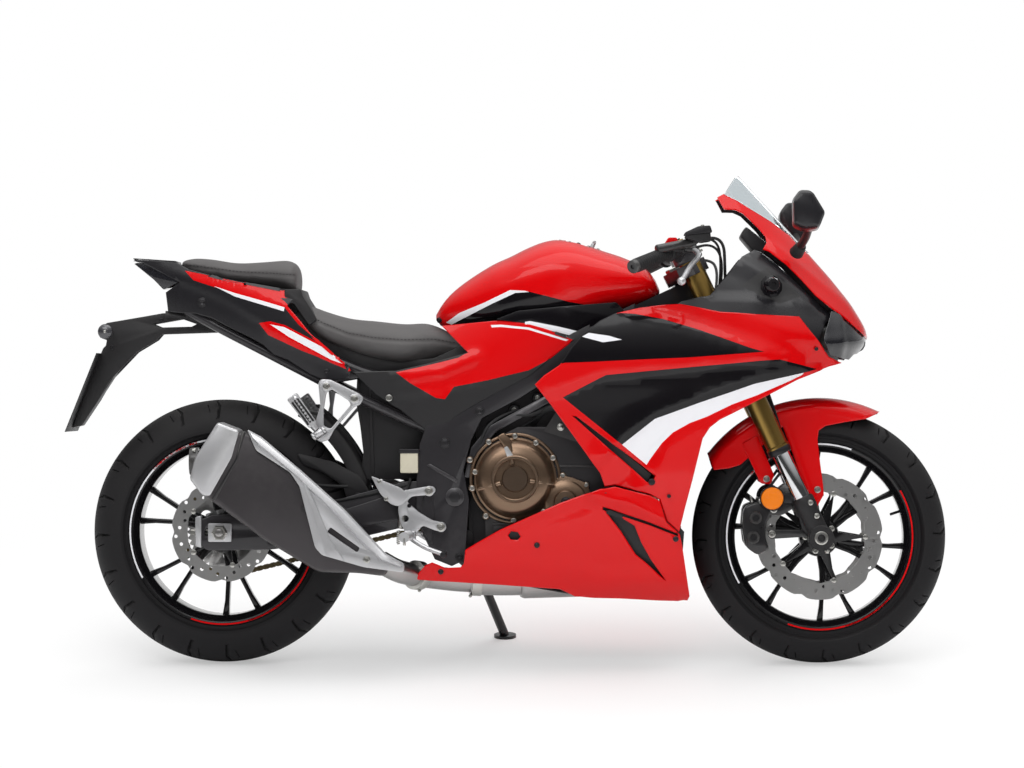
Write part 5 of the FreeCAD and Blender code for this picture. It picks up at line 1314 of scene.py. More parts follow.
class Tank(Assembly):
    """Fuel tank with its stripes, filler and lower side covers."""

    plan = TankPlan()
    fall = math.radians(13)

    def build(self) -> None:
        """Make the tank, its cap and the covers."""
        self.shell()
        self.covers()

    def shell(self) -> None:
        """Make the painted tank."""
        b, p = self.bench, self.plan
        skin = SaddleSkin(stations=p.stations)
        creases = [
            Crease(((560, 800), (700, 862), (760, 876), (900, 848), (1000, 830)), -4.0, 12.0, True),
            Crease(((640, 930), (760, 960), (900, 940), (1010, 905)), 2.0, 24.0),
        ]
        xs = [503 + 10.6 * i for i in range(51)]
        rows, turns = len(xs), 61
        verts, faces = [], []
        for x in xs:
            for k in range(turns):
                v = (k / (turns - 1) * 2 - 1) * math.pi * skin.reach * 0.995
                place = skin.point(x, v)
                lift = 0.0
                if place.z > 790 and abs(place.y) > 40:
                    lift = sum(c.lift((place.x, place.z)) for c in creases)
                sign = 1 if place.y >= 0 else -1
                verts.append((place.x, place.y + sign * lift, place.z))
        for i in range(rows - 1):
            for k in range(turns - 1):
                a = i * turns + k
                faces.append((a, a + 1, a + turns + 1, a + turns))
        shell = b.raw(verts, faces)
        for name in ("red_paint", "white_paint", "black_paint"):
            shell.data.materials.append(b.finishes[name])
        b.edit(shell)
        b.close(merge=0.5)
        b.edit(shell)
        bpy.ops.mesh.select_all(action="DESELECT")
        bpy.ops.mesh.select_mode(type="EDGE")
        bpy.ops.mesh.select_non_manifold()
        bpy.ops.mesh.fill_holes(sides=0)
        b.close()
        self.stripe(shell, p.white, p.black)
        up = Vector((math.sin(self.fall), 0, math.cos(self.fall)))
        seat = Vector((842, 0, 989))
        self.recess(shell, seat, up)
        parts = [shell]
        for side in (-1, 1):
            parts += self.bolt((512, side * 40, 812), (-0.6, side * 0.7, 0.2), 5.0, "bolt_black")
        ring = [(52, 0), (54, 0.5), (53, 1), (40, 1), (39, 0.4), (39, 0)]
        parts.append(b.paint(b.turned([*ring, ring[0]], seat - up * 6, seat + up * 1.5, 48), "silver_cast"))
        for i in range(6):
            turn = Matrix.Rotation(math.tau * i / 6, 3, up)
            spot = seat + turn @ Vector((math.cos(self.fall), 0, -math.sin(self.fall))) * 46
            parts += self.bolt(spot + up * 1.5, up, 3.0, "bolt_zinc", height=1.6)
        b.park("tank_shell", parts, "chassis", ["fuel_tank"])
        self.cap(seat, up)

    def recess(self, shell: Thing, seat: Vector, up: Vector) -> None:
        """Press the shell flat under the filler cap and darken the filler's mouth."""
        for vert in shell.data.vertices:
            rise = (vert.co - seat).dot(up)
            if rise > -3 and (vert.co - seat - up * rise).length < 50:
                vert.co -= up * (rise + 3)
        for face in shell.data.polygons:
            if (face.center - seat).length < 39:
                face.material_index = 2

    def stripe(self, shell: Thing, white: Outline, black: Outline) -> None:
        """Cut the stripe edges into the shell and give each patch its paint."""
        b = self.bench
        mesh = bmesh.new()
        mesh.from_mesh(shell.data)
        for outline in (white, black):
            for (ax, az), (bx, bz) in zip(outline, [*outline[1:], outline[0]]):
                normal = Vector((az - bz, 0, bx - ax))
                length = math.hypot(bx - ax, bz - az)
                near = []
                for face in mesh.faces:
                    c = face.calc_center_median()
                    along = ((c.x - ax) * (bx - ax) + (c.z - az) * (bz - az)) / length
                    off = abs((c.x - ax) * (az - bz) + (c.z - az) * (bx - ax)) / length
                    if -16 < along < length + 16 and off < 26 and abs(c.y) > 30:
                        near.append(face)
                geometry = list({*near, *[e for f in near for e in f.edges],
                                 *[v for f in near for v in f.verts]})
                bmesh.ops.bisect_plane(mesh, geom=geometry, dist=0.05, plane_co=(ax, 0, az), plane_no=normal)
        for face in mesh.faces:
            c = face.calc_center_median()
            if abs(c.y) > 25:
                marks = [inside((c.x, c.z), outline) for outline in (white, black)]
                face.material_index = marks.index(True) + 1 if any(marks) else 0
        mesh.to_mesh(shell.data)
        mesh.free()
        b.only(shell)

    def cap(self, seat: Vector, up: Vector) -> None:
        """Make the filler cap with its lock cover and hinge."""
        b = self.bench
        profile = [(0, 0), (37.5, 0), (38, 0.3), (37.6, 0.85), (35, 1.0), (24, 1.02), (22, 0.9), (12, 0.9),
                   (10, 1.05), (0, 1.1)]
        disc = b.turned(profile, seat - up * 8, seat, 56)
        front = Vector((up.z, 0, -up.x))
        flap = b.bar(seat + Vector((0, -9, 0)) + up * 0.5 - front * 2,
                     seat + Vector((0, 9, 0)) + up * 0.5 - front * 2, 7.0, round_by=3.0)
        parts = [b.paint(disc, "silver_cast"), b.paint(flap, "bolt_black")]
        pin = Vector((878.7, 0, 997.5))
        knuckle = b.bar(pin + Vector((0, -10, 0)), pin + Vector((0, 10, 0)), 4.0, round_by=0.8)
        ear = b.bar(pin, seat + front * 30, 4.5, 5.5)
        parts += [b.paint(knuckle, "silver_cast"), b.paint(ear, "silver_cast")]
        for i in range(5):
            turn = Matrix.Rotation(math.tau * (i + 0.5) / 5, 3, up)
            parts += self.bolt(seat + turn @ front * 30 - up * 0.8, up, 2.6, "bolt_zinc", height=1.0)
        b.park("filler_cap_disc", parts, "fuel_cap", ["fuel_cap"])

    def covers(self) -> None:
        """Make the covers between tank, seat and frame: red over black."""
        b = self.bench
        black = ((312, 689), (365, 637), (424, 600), (492, 545), (518, 546), (553, 583), (611, 618),
                 (728, 679), (775, 719), (833, 765), (780, 785), (728, 802), (660, 810), (640, 809),
                 (520, 798), (582, 735), (500, 712), (413, 692))
        red = ((520, 798), (640, 809), (660, 810), (728, 802), (780, 785), (828, 764), (812, 742),
               (775, 719), (726, 693), (681, 682), (632, 670), (550, 654), (529, 625), (508, 628),
               (447, 663), (414, 688), (482, 703), (560, 722), (582, 735))
        plan = PlanSkin(plan=((300, 138), (420, 142), (560, 143), (700, 143), (840, 142)),
                        heart=((300, 690), (500, 640), (700, 730), (840, 760)), roll=3.0, spread=60.0)
        creases = [Crease(((550, 650), (632, 666), (681, 678), (775, 715)), -2.5, 6.0, True),
                   Crease(((418, 678), (520, 690), (600, 722)), 6.0, 22.0, roof=True)]
        line = ((636, 799), (660, 800), (726, 793), (818, 764), (812, 761), (724, 788), (660, 794.5),
                (638, 793.5))
        regions = [Region(black, "black_plastic"), Region(red, "red_paint"), Region(line, "white_paint")]
        sheet = b.sheet(plan, regions, 11.0, 3.0, creases, roll=1.4)
        knee = rounded(((648, 812), (700, 832), (800, 842), (930, 852), (968, 812), (900, 806), (862, 792),
                        (842, 768), (790, 784), (712, 804)), 4.0)
        flash = ((716, 806), (728, 808), (790, 796), (858, 780), (852, 767), (716, 800))
        parts = [sheet]
        for side in (-1, 1):
            parts.append(b.paint(b.plate(knee, side * 118, side * 136, 4.0), "black_paint"))
            parts.append(b.paint(b.plate(flash, side * 134, side * 137, 0.8), "white_paint"))
        for side in (-1, 1):
            parts += self.bolt((398, side * 141, 628), (0, side, 0), 5.5, "bolt_zinc")
        b.park("side_cover_panels", parts, "chassis", ["side_covers"])


@dataclass(frozen=True)
class SeatPlan:
    """Stations of the seats: place, half width, top and bottom."""

    rider: Sequence[tuple[float, float, float, float]] = (
        (192, 78, 852, 812), (206, 96, 842, 790), (240, 108, 828, 766), (300, 114, 811, 742),
        (360, 117, 805, 722), (430, 112, 798, 708), (480, 98, 800, 716), (520, 82, 790, 724),
        (556, 62, 768, 730), (576, 46, 754, 736))
    pillion: Sequence[tuple[float, float, float, float]] = (
        (-104, 44, 955, 938), (-78, 60, 956, 928), (-30, 74, 953, 915), (30, 86, 944, 905),
        (90, 94, 946, 896), (140, 97, 950, 886), (168, 95, 949, 872), (178, 88, 936, 868))


class Seats(Assembly):
    """The two seats, filled and stitched."""

    plan = SeatPlan()

    def cushion(self, stations: Sequence[tuple[float, float, float, float]], crown: float) -> Thing:
        """Return a closed cushion through stations."""
        b = self.bench
        steps = 24
        first, last = stations[0][0], stations[-1][0]
        count = max(12, int((last - first) / 12))
        verts = []
        for i in range(count + 1):
            x = first + (last - first) * i / count
            half, top, low = (smooth([(s[0], s[k]) for s in stations], x) for k in (1, 2, 3))
            middle, rise = (top + low) / 2, (top - low) / 2
            for k in range(steps):
                t = math.tau * k / steps
                c, s = math.cos(t), math.sin(t)
                verts.append((x, half * math.copysign(abs(c) ** (2 / crown), c),
                              middle + rise * math.copysign(abs(s) ** (2 / crown), s)))
        faces = [tuple(reversed(range(steps))), tuple(count * steps + k for k in range(steps))]
        for i in range(count):
            for k in range(steps):
                n = (k + 1) % steps
                faces.append((i * steps + k, i * steps + n, (i + 1) * steps + n, (i + 1) * steps + k))
        obj = b.raw(verts, faces)
        b.edit(obj)
        b.close()
        return obj

    def fill(self, obj: Thing, most: float) -> Thing:
        """Swell a cushion as its foam fills the cover, by no more than a few millimetres."""
        b = self.bench
        b.modify(obj, "REMESH", mode="VOXEL", voxel_size=7.0)
        b.move(obj, Matrix.Scale(0.001, 4))
        start = [v.co.copy() for v in obj.data.vertices]
        cloth = obj.modifiers.new("cover", "CLOTH")
        cloth.settings.effector_weights.gravity = 0.0
        cloth.settings.use_pressure = True
        cloth.settings.uniform_pressure_force = 3.0
        cloth.settings.quality = 4
        scene = bpy.context.scene
        for frame in range(1, 13):
            scene.frame_set(frame)
        b.only(obj)
        bpy.ops.object.modifier_apply(modifier=cloth.name)
        scene.frame_set(1)
        cap = most * 0.001
        for vert, old in zip(obj.data.vertices, start):
            step = vert.co - old
            if step.length > cap:
                vert.co = old + step.normalized() * cap
        b.move(obj, Matrix.Scale(1000.0, 4))
        b.modify(obj, "SMOOTH", factor=0.5, iterations=6)
        return b.modify(obj, "SUBSURF", levels=1, render_levels=1)

    def channel(self, obj: Thing, line: Outline, depth: float, width: float) -> None:
        """Press a sewn channel into a seat's sides along a side view line."""
        for vert in obj.data.vertices:
            d, _ = distance_to_line((vert.co.x, vert.co.z), line)
            if d < width * 3:
                flank = abs(vert.co.y) > 20
                inward = Vector((0, -math.copysign(1, vert.co.y), 0)) if flank else Vector((0, 0, -1))
                vert.co += inward * depth * math.exp(-((d / width) ** 2))

    def stitched(self, obj: Thing, line: Outline, offset: float) -> list[Thing]:
        """Return stitches laid along a side view line on both sides of a seat."""
        b = self.bench
        parts = []
        there_and_back = dense([*line, *reversed(line)], STITCH_PITCH)
        points = there_and_back[: len(there_and_back) // 2]
        for side in (-1, 1):
            for (ax, az), (bx, bz) in zip(points, points[1:]):
                x, z = (ax + bx) / 2, (az + bz) / 2 + offset
                hit, place, normal, _ = obj.ray_cast(Vector((x, side * 220, z)), Vector((0, -side, 0)))
                if hit and normal.y * side > 0.2:
                    along = Vector((bx - ax, 0, bz - az)).normalized()
                    along = (along - normal * along.dot(normal)).normalized()
                    parts.append(b.bar(place - along * 2.4, place + along * 2.4, 0.9, round_by=0.5, steps=6))
        return [b.paint(p, "seam_thread") for p in parts]

    def build(self) -> None:
        """Make both seats."""
        b, p = self.bench, self.plan
        rider = self.fill(self.cushion(p.rider, 2.9), 5.0)
        seam = ((196, 822), (240, 800), (300, 776), (360, 765), (430, 760), (500, 762), (560, 752))
        self.channel(rider, seam, 2.6, 4.0)
        parts = [b.paint(rider, "seat_vinyl"), *self.stitched(rider, seam, 5.0)]
        seat = b.park("rider_seat_cushion", parts, "chassis", ["rider_seat"], angle=60.0)
        pillion = self.fill(self.cushion(p.pillion, 2.7), 4.0)
        seam = ((-90, 940), (-30, 932), (40, 922), (120, 918), (174, 914))
        self.channel(pillion, seam, 2.0, 3.5)
        parts = [b.paint(pillion, "seat_vinyl"), *self.stitched(pillion, seam, 4.0)]
        seat = b.park("pillion_seat_cushion", parts, "chassis", ["pillion_seat"], angle=60.0)


class Tail(Assembly):
    """The painted tail, its lamp, the tray under it and the plate arm."""

    plan = ((-220, 46), (-214, 50), (-170, 62), (-100, 78), (0, 98), (100, 112), (200, 120), (345, 126))
    outline: Outline = (
        (-214, 952), (-206, 955), (-150, 952), (-107, 947), (-78, 931), (-7, 912), (70, 897), (148, 881),
        (172, 876), (171, 858), (157, 844), (185, 812), (211, 780), (258, 738), (296, 708), (306, 690),
        (303, 672), (241, 670), (211, 682), (157, 717), (124, 729), (100, 752), (70, 769), (16, 795),
        (-24, 816), (-64, 827), (-95, 828), (-130, 832), (-135, 877), (-101, 901), (-132, 917), (-191, 948))
    red: Outline = ((-88, 928), (-23, 915), (48, 899), (148, 881), (172, 876), (171, 862), (140, 862),
                    (151, 840), (105, 854), (34, 874), (-23, 891), (-66, 905))
    red_line: Outline = ((140, 862), (152, 853), (192, 809), (249, 749), (300, 700), (306, 690), (290, 708),
                         (233, 758), (183, 801), (151, 840))
    red_arrow: Outline = ((90, 804), (117, 808), (152, 799), (254, 745), (291, 714), (305, 692), (259, 711),
                          (228, 725), (189, 740), (112, 776))
    white: Outline = ((-17, 891), (34, 874), (105, 854), (151, 840), (149, 831), (100, 846), (34, 866))
    white_arrow: Outline = ((117, 801), (151, 794), (254, 740), (288, 708), (262, 717), (162, 771))

    def build(self) -> None:
        """Make the tail and what hangs under it."""
        b = self.bench
        skin = PlanSkin(plan=self.plan, heart=((-214, 930), (-100, 880), (0, 850), (150, 790),
                                               (300, 690)), roll=7.0,
                        spread=70.0)
        regions = [Region(self.outline, "gloss_plastic"), Region(self.red, "red_paint"),
                   Region(self.red_line, "red_paint"), Region(self.red_arrow, "red_paint"),
                   Region(self.white, "white_paint"), Region(self.white_arrow, "white_paint")]
        creases = [Crease(((-101, 899), (-40, 876), (20, 850), (90, 808), (112, 777), (211, 731),
                           (303, 692)), 3.0,
                          7.0, True),
                   Crease(((-140, 930), (-60, 905), (60, 872), (150, 842)), 1.6, 14.0)]
        sides = b.sheet(skin, regions, 11.0, 3.0, creases, roll=1.5)
        top = b.copy_node("tail_cowl", 1.0, keep=lambda v: v.x < -100 and v.z > 940)
        deck = b.copy_node("tail_cowl", 0.0,
                           keep=lambda v: abs(v.y) < 120 and -106 < v.x < 182 and v.z > 858)
        brace = rounded(((112, 890), (172, 882), (216, 808), (180, 798), (130, 832)), 5.0)
        deck.data.transform(Matrix.Translation((0, 0, -3)) @ Matrix.Diagonal((1, 0.92, 1, 1)))
        parts = [sides, b.paint(b.plate(brace, -72, 72, 4.0), "black_plastic"),
                 b.paint(top, "gloss_plastic"), b.paint(deck, "black_plastic")]
        for side in (-1, 1):
            for x, z, r in ((-46, 853, 8.0), (250, 690, 4.6)):
                y = smooth(self.plan, x)
                parts += self.bolt((x, side * y, z), (0, side, 0), r, "bolt_black", height=2.0)
        b.park("tail_panels", parts, "chassis", ["tail_cowl"])
        self.lamps()
        self.tray()

    def lamps(self) -> None:
        """Make the tail lamp's lens, its inner row and the turn signals."""
        b = self.bench
        lens = b.copy_node("rear_lamps", 2.0, keep=lambda v: v.x > -230 and abs(v.y) < 75 and v.z > 860)
        parts = [b.paint(lens, "lamp_glass")]
        for k in range(-2, 3):
            for row, (x, z) in enumerate(((-170, 931), (-142, 908))):
                y = k * (15 if row == 0 else 17)
                parts.append(b.paint(b.bar((x, y, z), (x - 12, y, z + 6), 5.5, round_by=2.0, steps=14),
                                     "lamp_red"))
        for side in (-1, 1):
            inner, outer = Vector((-272, side * 82, 784)), Vector((-272, side * 126, 784))
            body = b.turned([(0, 0), (9, 0), (15, 0.25), (18, 0.62), (18, 0.7), (0, 0.7)], inner, outer, 28)
            glass = b.turned([(0, 0.7), (17.2, 0.7), (17, 0.86), (13, 0.97), (0, 1.0)], inner, outer, 28)
            screw = self.bolt((-272, side * 125.5, 784), (0, side, 0), 2.4, "bolt_zinc", height=0.8)
            parts += [b.paint(body, "black_plastic"), b.paint(glass, "smoke_lens"), *screw]
        b.park("rear_lamp_lenses", parts, "chassis", ["rear_lamps"])

    def tray(self) -> None:
        """Make the plate arm with its window, and the plate with its frame."""
        b = self.bench
        tray = b.copy_node("rear_fender", 0.0, keep=lambda v: v.x > -140.5 and v.z > 600)
        arm = ((-146, 829), (-90, 829), (12, 791), (4, 784), (-149, 779), (-161, 765), (-209, 736),
               (-244, 699), (-272, 670), (-300, 622), (-340, 562), (-362, 557), (-298, 725), (-284, 745),
               (-280, 765), (-296, 771), (-300, 783), (-294, 794), (-280, 806), (-232, 814))
        hole = ((-169, 803), (-100, 815), (-66, 803), (-78, 797), (-150, 795))
        parts = [b.paint(tray, "black_plastic")]
        for y0, y1 in ((-26, -20), (20, 26)):
            parts.append(b.paint(b.plate(arm, y0, y1, 1.4, [hole]), "black_plastic"))
        web = ((-276, 760), (-250, 700), (-340, 562), (-362, 557), (-298, 725), (-290, 745))
        parts.append(b.paint(b.plate(web, -21, 21, 0.8), "black_plastic"))
        parts.append(b.paint(b.plate(((-276, 760), (-149, 779), (4, 784), (12, 791), (-90, 829), (-146, 829),
                                      (-232, 814), (-280, 806)), -10, 10, 1.0, [hole]), "black_plastic"))
        parts.append(b.paint(b.bar((-272, -84, 784), (-272, 84, 784), 7.0, round_by=2.0), "black_plastic"))
        for side in (-1, 1):
            for x, z in ((-150, 812), (-60, 818), (-268, 748)):
                parts += self.bolt((x, side * 26, z), (0, side, 0), 4.0, "bolt_black", height=2.0)
        b.park("plate_arm_and_tray", parts, "chassis", ["rear_fender"])
        plate = b.copy_node("number_plate", 0.5)
        parts = [b.paint(plate, "black_plastic")]
        slope = Vector((68, 0, 169)).normalized()
        out = Vector((-169, 0, 68)).normalized()
        middle = Vector((-330, 0, 640.5))
        blank = b.pane([middle + slope * u + Vector((0, v, 0)) + out * 1.2
                        for u, v in rounded(((-86, -96), (86, -96), (86, 96), (-86, 96)), 8.0)], out)
        parts.append(b.paint(blank, "plate_blank"))
        for side in (-1, 1):
            spot = middle + slope * 74 + Vector((0, side * 70, 0)) + out * 1.6
            parts += self.bolt(spot, out, 4.0, "bolt_zinc", hexagon=True, height=3.0)
        b.park("plate_with_bolts", parts, "chassis", ["number_plate"])


@dataclass(frozen=True)
class WheelPlan:
    """Sizes of one wheel; each half is a half width across the machine."""

    name: str
    axle: Point2
    tyre_radius: float
    half: float
    rim_half: float
    spoke_half: float
    hub_radius: float
    hub_half: float

    @property
    def body(self) -> str:
        """Return the body that the wheel's pieces ride on."""
        return f"{self.name}_wheel"


class Wheel(Assembly):
    """A cast wheel with its tyre."""

    spoke_turn = math.radians(18.0)

    def __init__(self, bench: Bench, plan: WheelPlan) -> None:
        """Keep the sizes."""
        super().__init__(bench)
        self.plan = plan

    def tread_point(self, turn: float, s: float, deep: float) -> Vector:
        """Return a point of the tread: angle, distance across from the crown and depth."""
        p = self.plan
        bend = p.half * 1.03
        lean = s / bend
        r = p.tyre_radius - p.half + (p.half - deep) * math.cos(lean)
        return Vector((math.sin(turn) * r, (p.half - deep) * math.sin(lean), math.cos(turn) * r))

    def tyre(self) -> None:
        """Make the tyre: treads with sipes, walls with a rim line, beads."""
        b, p = self.bench, self.plan
        segments = 20
        pitch = math.tau / segments
        wide = p.half * 1.5
        unroll = p.tyre_radius
        cell = pitch * unroll
        border = [(0, -wide), (cell, -wide), (cell, wide), (0, wide)]
        outlines: list[tuple[Outline, int | None]] = [(dense(border, 9.0), 0)]
        sipes = []
        for side in (1, -1):
            a = 0.30 if side > 0 else 0.80
            lines = [((a * cell, side * 10), ((a + 0.12) * cell, side * wide * 0.42),
                      ((a + 0.10) * cell, side * wide * 0.78)),
                     (((a - 0.2) * cell, side * wide * 0.34), ((a - 0.14) * cell, side * wide * 0.6))]
            for line in lines:
                left, right = [], []
                count = len(line)
                for k, (x, y) in enumerate(line):
                    ax, ay = line[max(k - 1, 0)]
                    bx, by = line[min(k + 1, count - 1)]
                    nx, ny = -(by - ay), bx - ax
                    size = math.hypot(nx, ny)
                    w = 2.6 if 0 < k < count - 1 else 1.2
                    left.append((x + nx / size * w, y + ny / size * w))
                    right.append((x - nx / size * w, y - ny / size * w))
                loop = left + list(reversed(right))
                middle = Vector((sum(q[0] for q in loop) / len(loop), sum(q[1] for q in loop) / len(loop)))
                inner = [tuple(middle + (Vector(q) - middle) * 0.9 - (Vector(q) - middle).normalized() * 0.3)
                         for q in loop]
                sipes.append(inner)
                outlines += [(loop, 0), (inner, 1)]
        verts, faces = triangulate(outlines, 9.0)
        made = []
        for x, y in verts:
            deep = 0.0
            if any(inside((x, y), s) or distance_to_line((x, y), [*s, s[0]])[0] < 0.05 for s in sipes):
                deep = 4.0
            made.append(self.tread_point(x / unroll, y, deep))
        cell_obj = b.raw(made, [f for f, _ in faces])
        cell_obj.data.materials.append(b.finishes["tread_black"])
        # The sipes' floors take the near black finish: painted shade in the grooves.
        cell_obj.data.materials.append(b.finishes["groove_black"])
        for face, (_, mark) in zip(cell_obj.data.polygons, faces):
            face.material_index = mark
        tread = b.joined(b.around(cell_obj, segments))
        b.edit(tread)
        b.close(outward=True, merge=0.3)
        edge = self.tread_point(0, wide, 0)
        seat = p.rim_half - 4
        wall = [(edge.z, edge.y), (edge.z - 6, p.half + 0.6),
                ((edge.z + 222) / 2 + 8, p.half * 0.5 + seat * 0.5 + 4.5),
                (238, seat + 4.8), (232, seat + 4.2), (231, seat + 2.6), (226, seat + 1.6), (222, seat),
                (217, seat - 1)]
        if p.half < edge.y + 0.5:
            wall.pop(1)
        sides = []
        for sign in (1, -1):
            line = [(r, sign * a) for r, a in wall]
            sides.append(b.paint(b.lathe(line, (0, 0), 160), "tyre_black"))
        inner = b.paint(b.lathe([(217, seat - 1), (240, seat - 6), (240, -seat + 6), (217, -seat + 1)],
                                (0, 0), 96),
                        "tyre_black")
        place = Matrix.Translation((p.axle[0], 0, p.axle[1]))
        parts = [b.move(o, place) for o in (tread, *sides, inner)]
        valve_at = Vector((p.axle[0] + 195, 0, p.axle[1] + 60))
        parts.append(b.paint(b.bar(valve_at, valve_at + Vector((-26, -14, -8)), 3.2), "bolt_black"))
        b.park(f"{p.name}_tyre_treaded", parts, p.body, [f"{p.name}_tyre"], angle=40.0)

    def spokes(self) -> list[Thing]:
        """Return the six forked spokes, tapered, with a web at the root."""
        b, p = self.bench, self.plan
        made = []
        reach = 204.0
        spread = math.radians(11.5)
        for sign in (1, -1):
            tip = Vector((reach * math.cos(spread), reach * math.sin(spread) * sign))
            line = [(30.0, 5.0 * sign), (78.0, 8.5 * sign),
                    (118.0, (reach * math.sin(spread) * 0.36 + 2) * sign),
                    (162.0, reach * math.sin(spread) * 0.70 * sign), (tip.x, tip.y)]
            widths = (8.5, 7.0, 5.4, 5.4, 8.0)
            left = [(x, z + w) for (x, z), w in zip(line, widths)]
            right = [(x, z - w) for (x, z), w in zip(line, widths)]
            outline = left + list(reversed(right))
            blade = b.plate(outline, -p.spoke_half, p.spoke_half, 0)
            for vert in blade.data.vertices:
                share = min(max((vert.co.x - 40) / (reach - 40), 0), 1)
                vert.co.y *= 1.0 - 0.34 * share * (1.6 - share)
            made.append(b.bevel(blade, 3.2, 3, 30))
        web = b.plate(((34, -11), (104, -9), (112, 0), (104, 9), (34, 11)), -p.spoke_half * 0.55,
                      p.spoke_half * 0.55, 0)
        made.append(b.bevel(web, 3.0, 2, 30))
        one = b.joined([b.paint(m, "rim_black") for m in made])
        first = b.move(one, Matrix.Rotation(self.spoke_turn, 4, "Y"))
        return b.around(first, SPOKES)

    def rim(self) -> None:
        """Make the rim: barrel, lips, hub, spokes and the painted lines."""
        b, p = self.bench, self.plan
        h = p.rim_half
        half = [(222, h), (223, h - 1), (223, h - 3.4), (221.5, h - 4.5), (216.5, h - 5), (215.5, h - 14),
                (206, h - 25)]
        inner = [(199, h - 30), (199.5, h - 18), (206, h - 9), (211, h - 4), (213, h - 1.5), (215.5, h)]
        profile = [*half, *[(r, -a) for r, a in [*reversed(half), *reversed(inner)]], *inner, half[0]]
        parts = [b.paint(b.lathe(profile, (0, 0), 160), "rim_black")]
        parts += self.spokes()
        hub = p.hub_radius
        hub_profile = [(13.4, p.hub_half), (hub * 0.62, p.hub_half), (hub * 0.66, p.hub_half - 2),
                       (hub * 0.7, 32),
                       (hub, 24), (hub + 2, 18), (hub + 2, -18), (hub, -24), (hub * 0.7, -32),
                       (hub * 0.66, -p.hub_half + 2), (hub * 0.62, -p.hub_half), (13.4, -p.hub_half),
                       (13.4, p.hub_half)]
        parts.append(b.paint(b.lathe(hub_profile, (0, 0), 64), "rim_black"))
        for sign in (1, -1):
            for start, sweep, finish in ((200, 140, "red_paint"), (20, 140, "white_paint"),
                                         (-16, 32, "red_paint"), (164, 32, "red_paint")):
                arc = b.raw([(0, sign * (h - 0.2), 217.0), (0, sign * (h + 0.5), 217.2),
                             (0, sign * (h + 0.5), 220.8),
                             (0, sign * (h - 0.2), 221.0)], (), [(0, 1), (1, 2), (2, 3)])
                b.edit(arc)
                bpy.ops.mesh.spin(steps=48, angle=math.radians(sweep), center=(0, 0, 0), axis=(0, 1, 0))
                b.close()
                if sum((f.normal.y * sign) for f in arc.data.polygons) < 0:
                    arc.data.flip_normals()
                parts.append(b.paint(b.move(arc, Matrix.Rotation(math.radians(start), 4, "Y")), finish))
        place = Matrix.Translation((p.axle[0], 0, p.axle[1]))
        parts = [b.move(o, place) for o in parts]
        b.park(f"{p.name}_rim_cast", parts, p.body, [f"{p.name}_rim"], angle=35.0)

    def disc(self, radius: float, band: float, face: float, side: Side, waves: int) -> list[Thing]:
        """Return a drilled brake disc with a waved edge, its carrier and rivets."""
        b, p = self.bench, self.plan
        count = waves * 12
        edge = wavy(count, lambda t: radius - PETAL_DIP * max(0.0, math.cos(t * waves)) ** 3)
        inner = wavy(count, lambda t: radius - band + 3.0 * max(0.0, math.cos(t * waves + math.pi)) ** 2)
        holes = [inner]
        for k in range(waves * 4):
            t = math.tau * (k + 0.5) / (waves * 4)
            r = radius - band * (0.26, 0.5, 0.74, 0.5)[k % 4]
            holes.append(circle((r * math.cos(t), r * math.sin(t)), 4.2, 12))
        y0, y1 = side.value * face, side.value * (face + 4.5)
        ring = b.plate(edge, min(y0, y1), max(y0, y1), 0.0, holes)
        parts = [b.paint(ring, "disc_steel")]
        mid = side.value * (face + 2.2)
        arms = 5
        carrier = wavy(arms * 8, lambda t: 40 + (radius - band - 35) * max(0.0, math.cos(t * arms)) ** 4)
        plate = b.plate(carrier, mid - 2.4, mid + 2.4, 0.8, [circle((0, 0), 26, 24)])
        parts.append(b.paint(plate, "rim_black"))
        for k in range(arms):
            t = math.tau * k / arms
            r = radius - band + 1
            spot = Vector((r * math.cos(t), mid, r * math.sin(t)))
            out = Vector((0, side.value, 0))
            parts.append(b.paint(b.bar(spot - out * 4, spot + out * 4.2, 6.5, round_by=1.2, steps=18),
                                 "bolt_zinc"))
            t += math.pi / arms
            spot = Vector((34 * math.cos(t), mid + side.value * 2, 34 * math.sin(t)))
            parts += self.bolt(spot, out, 5.0, "bolt_zinc", height=3.5)
        place = Matrix.Translation((p.axle[0], 0, p.axle[1]))
        return [b.move(o, place) for o in parts]


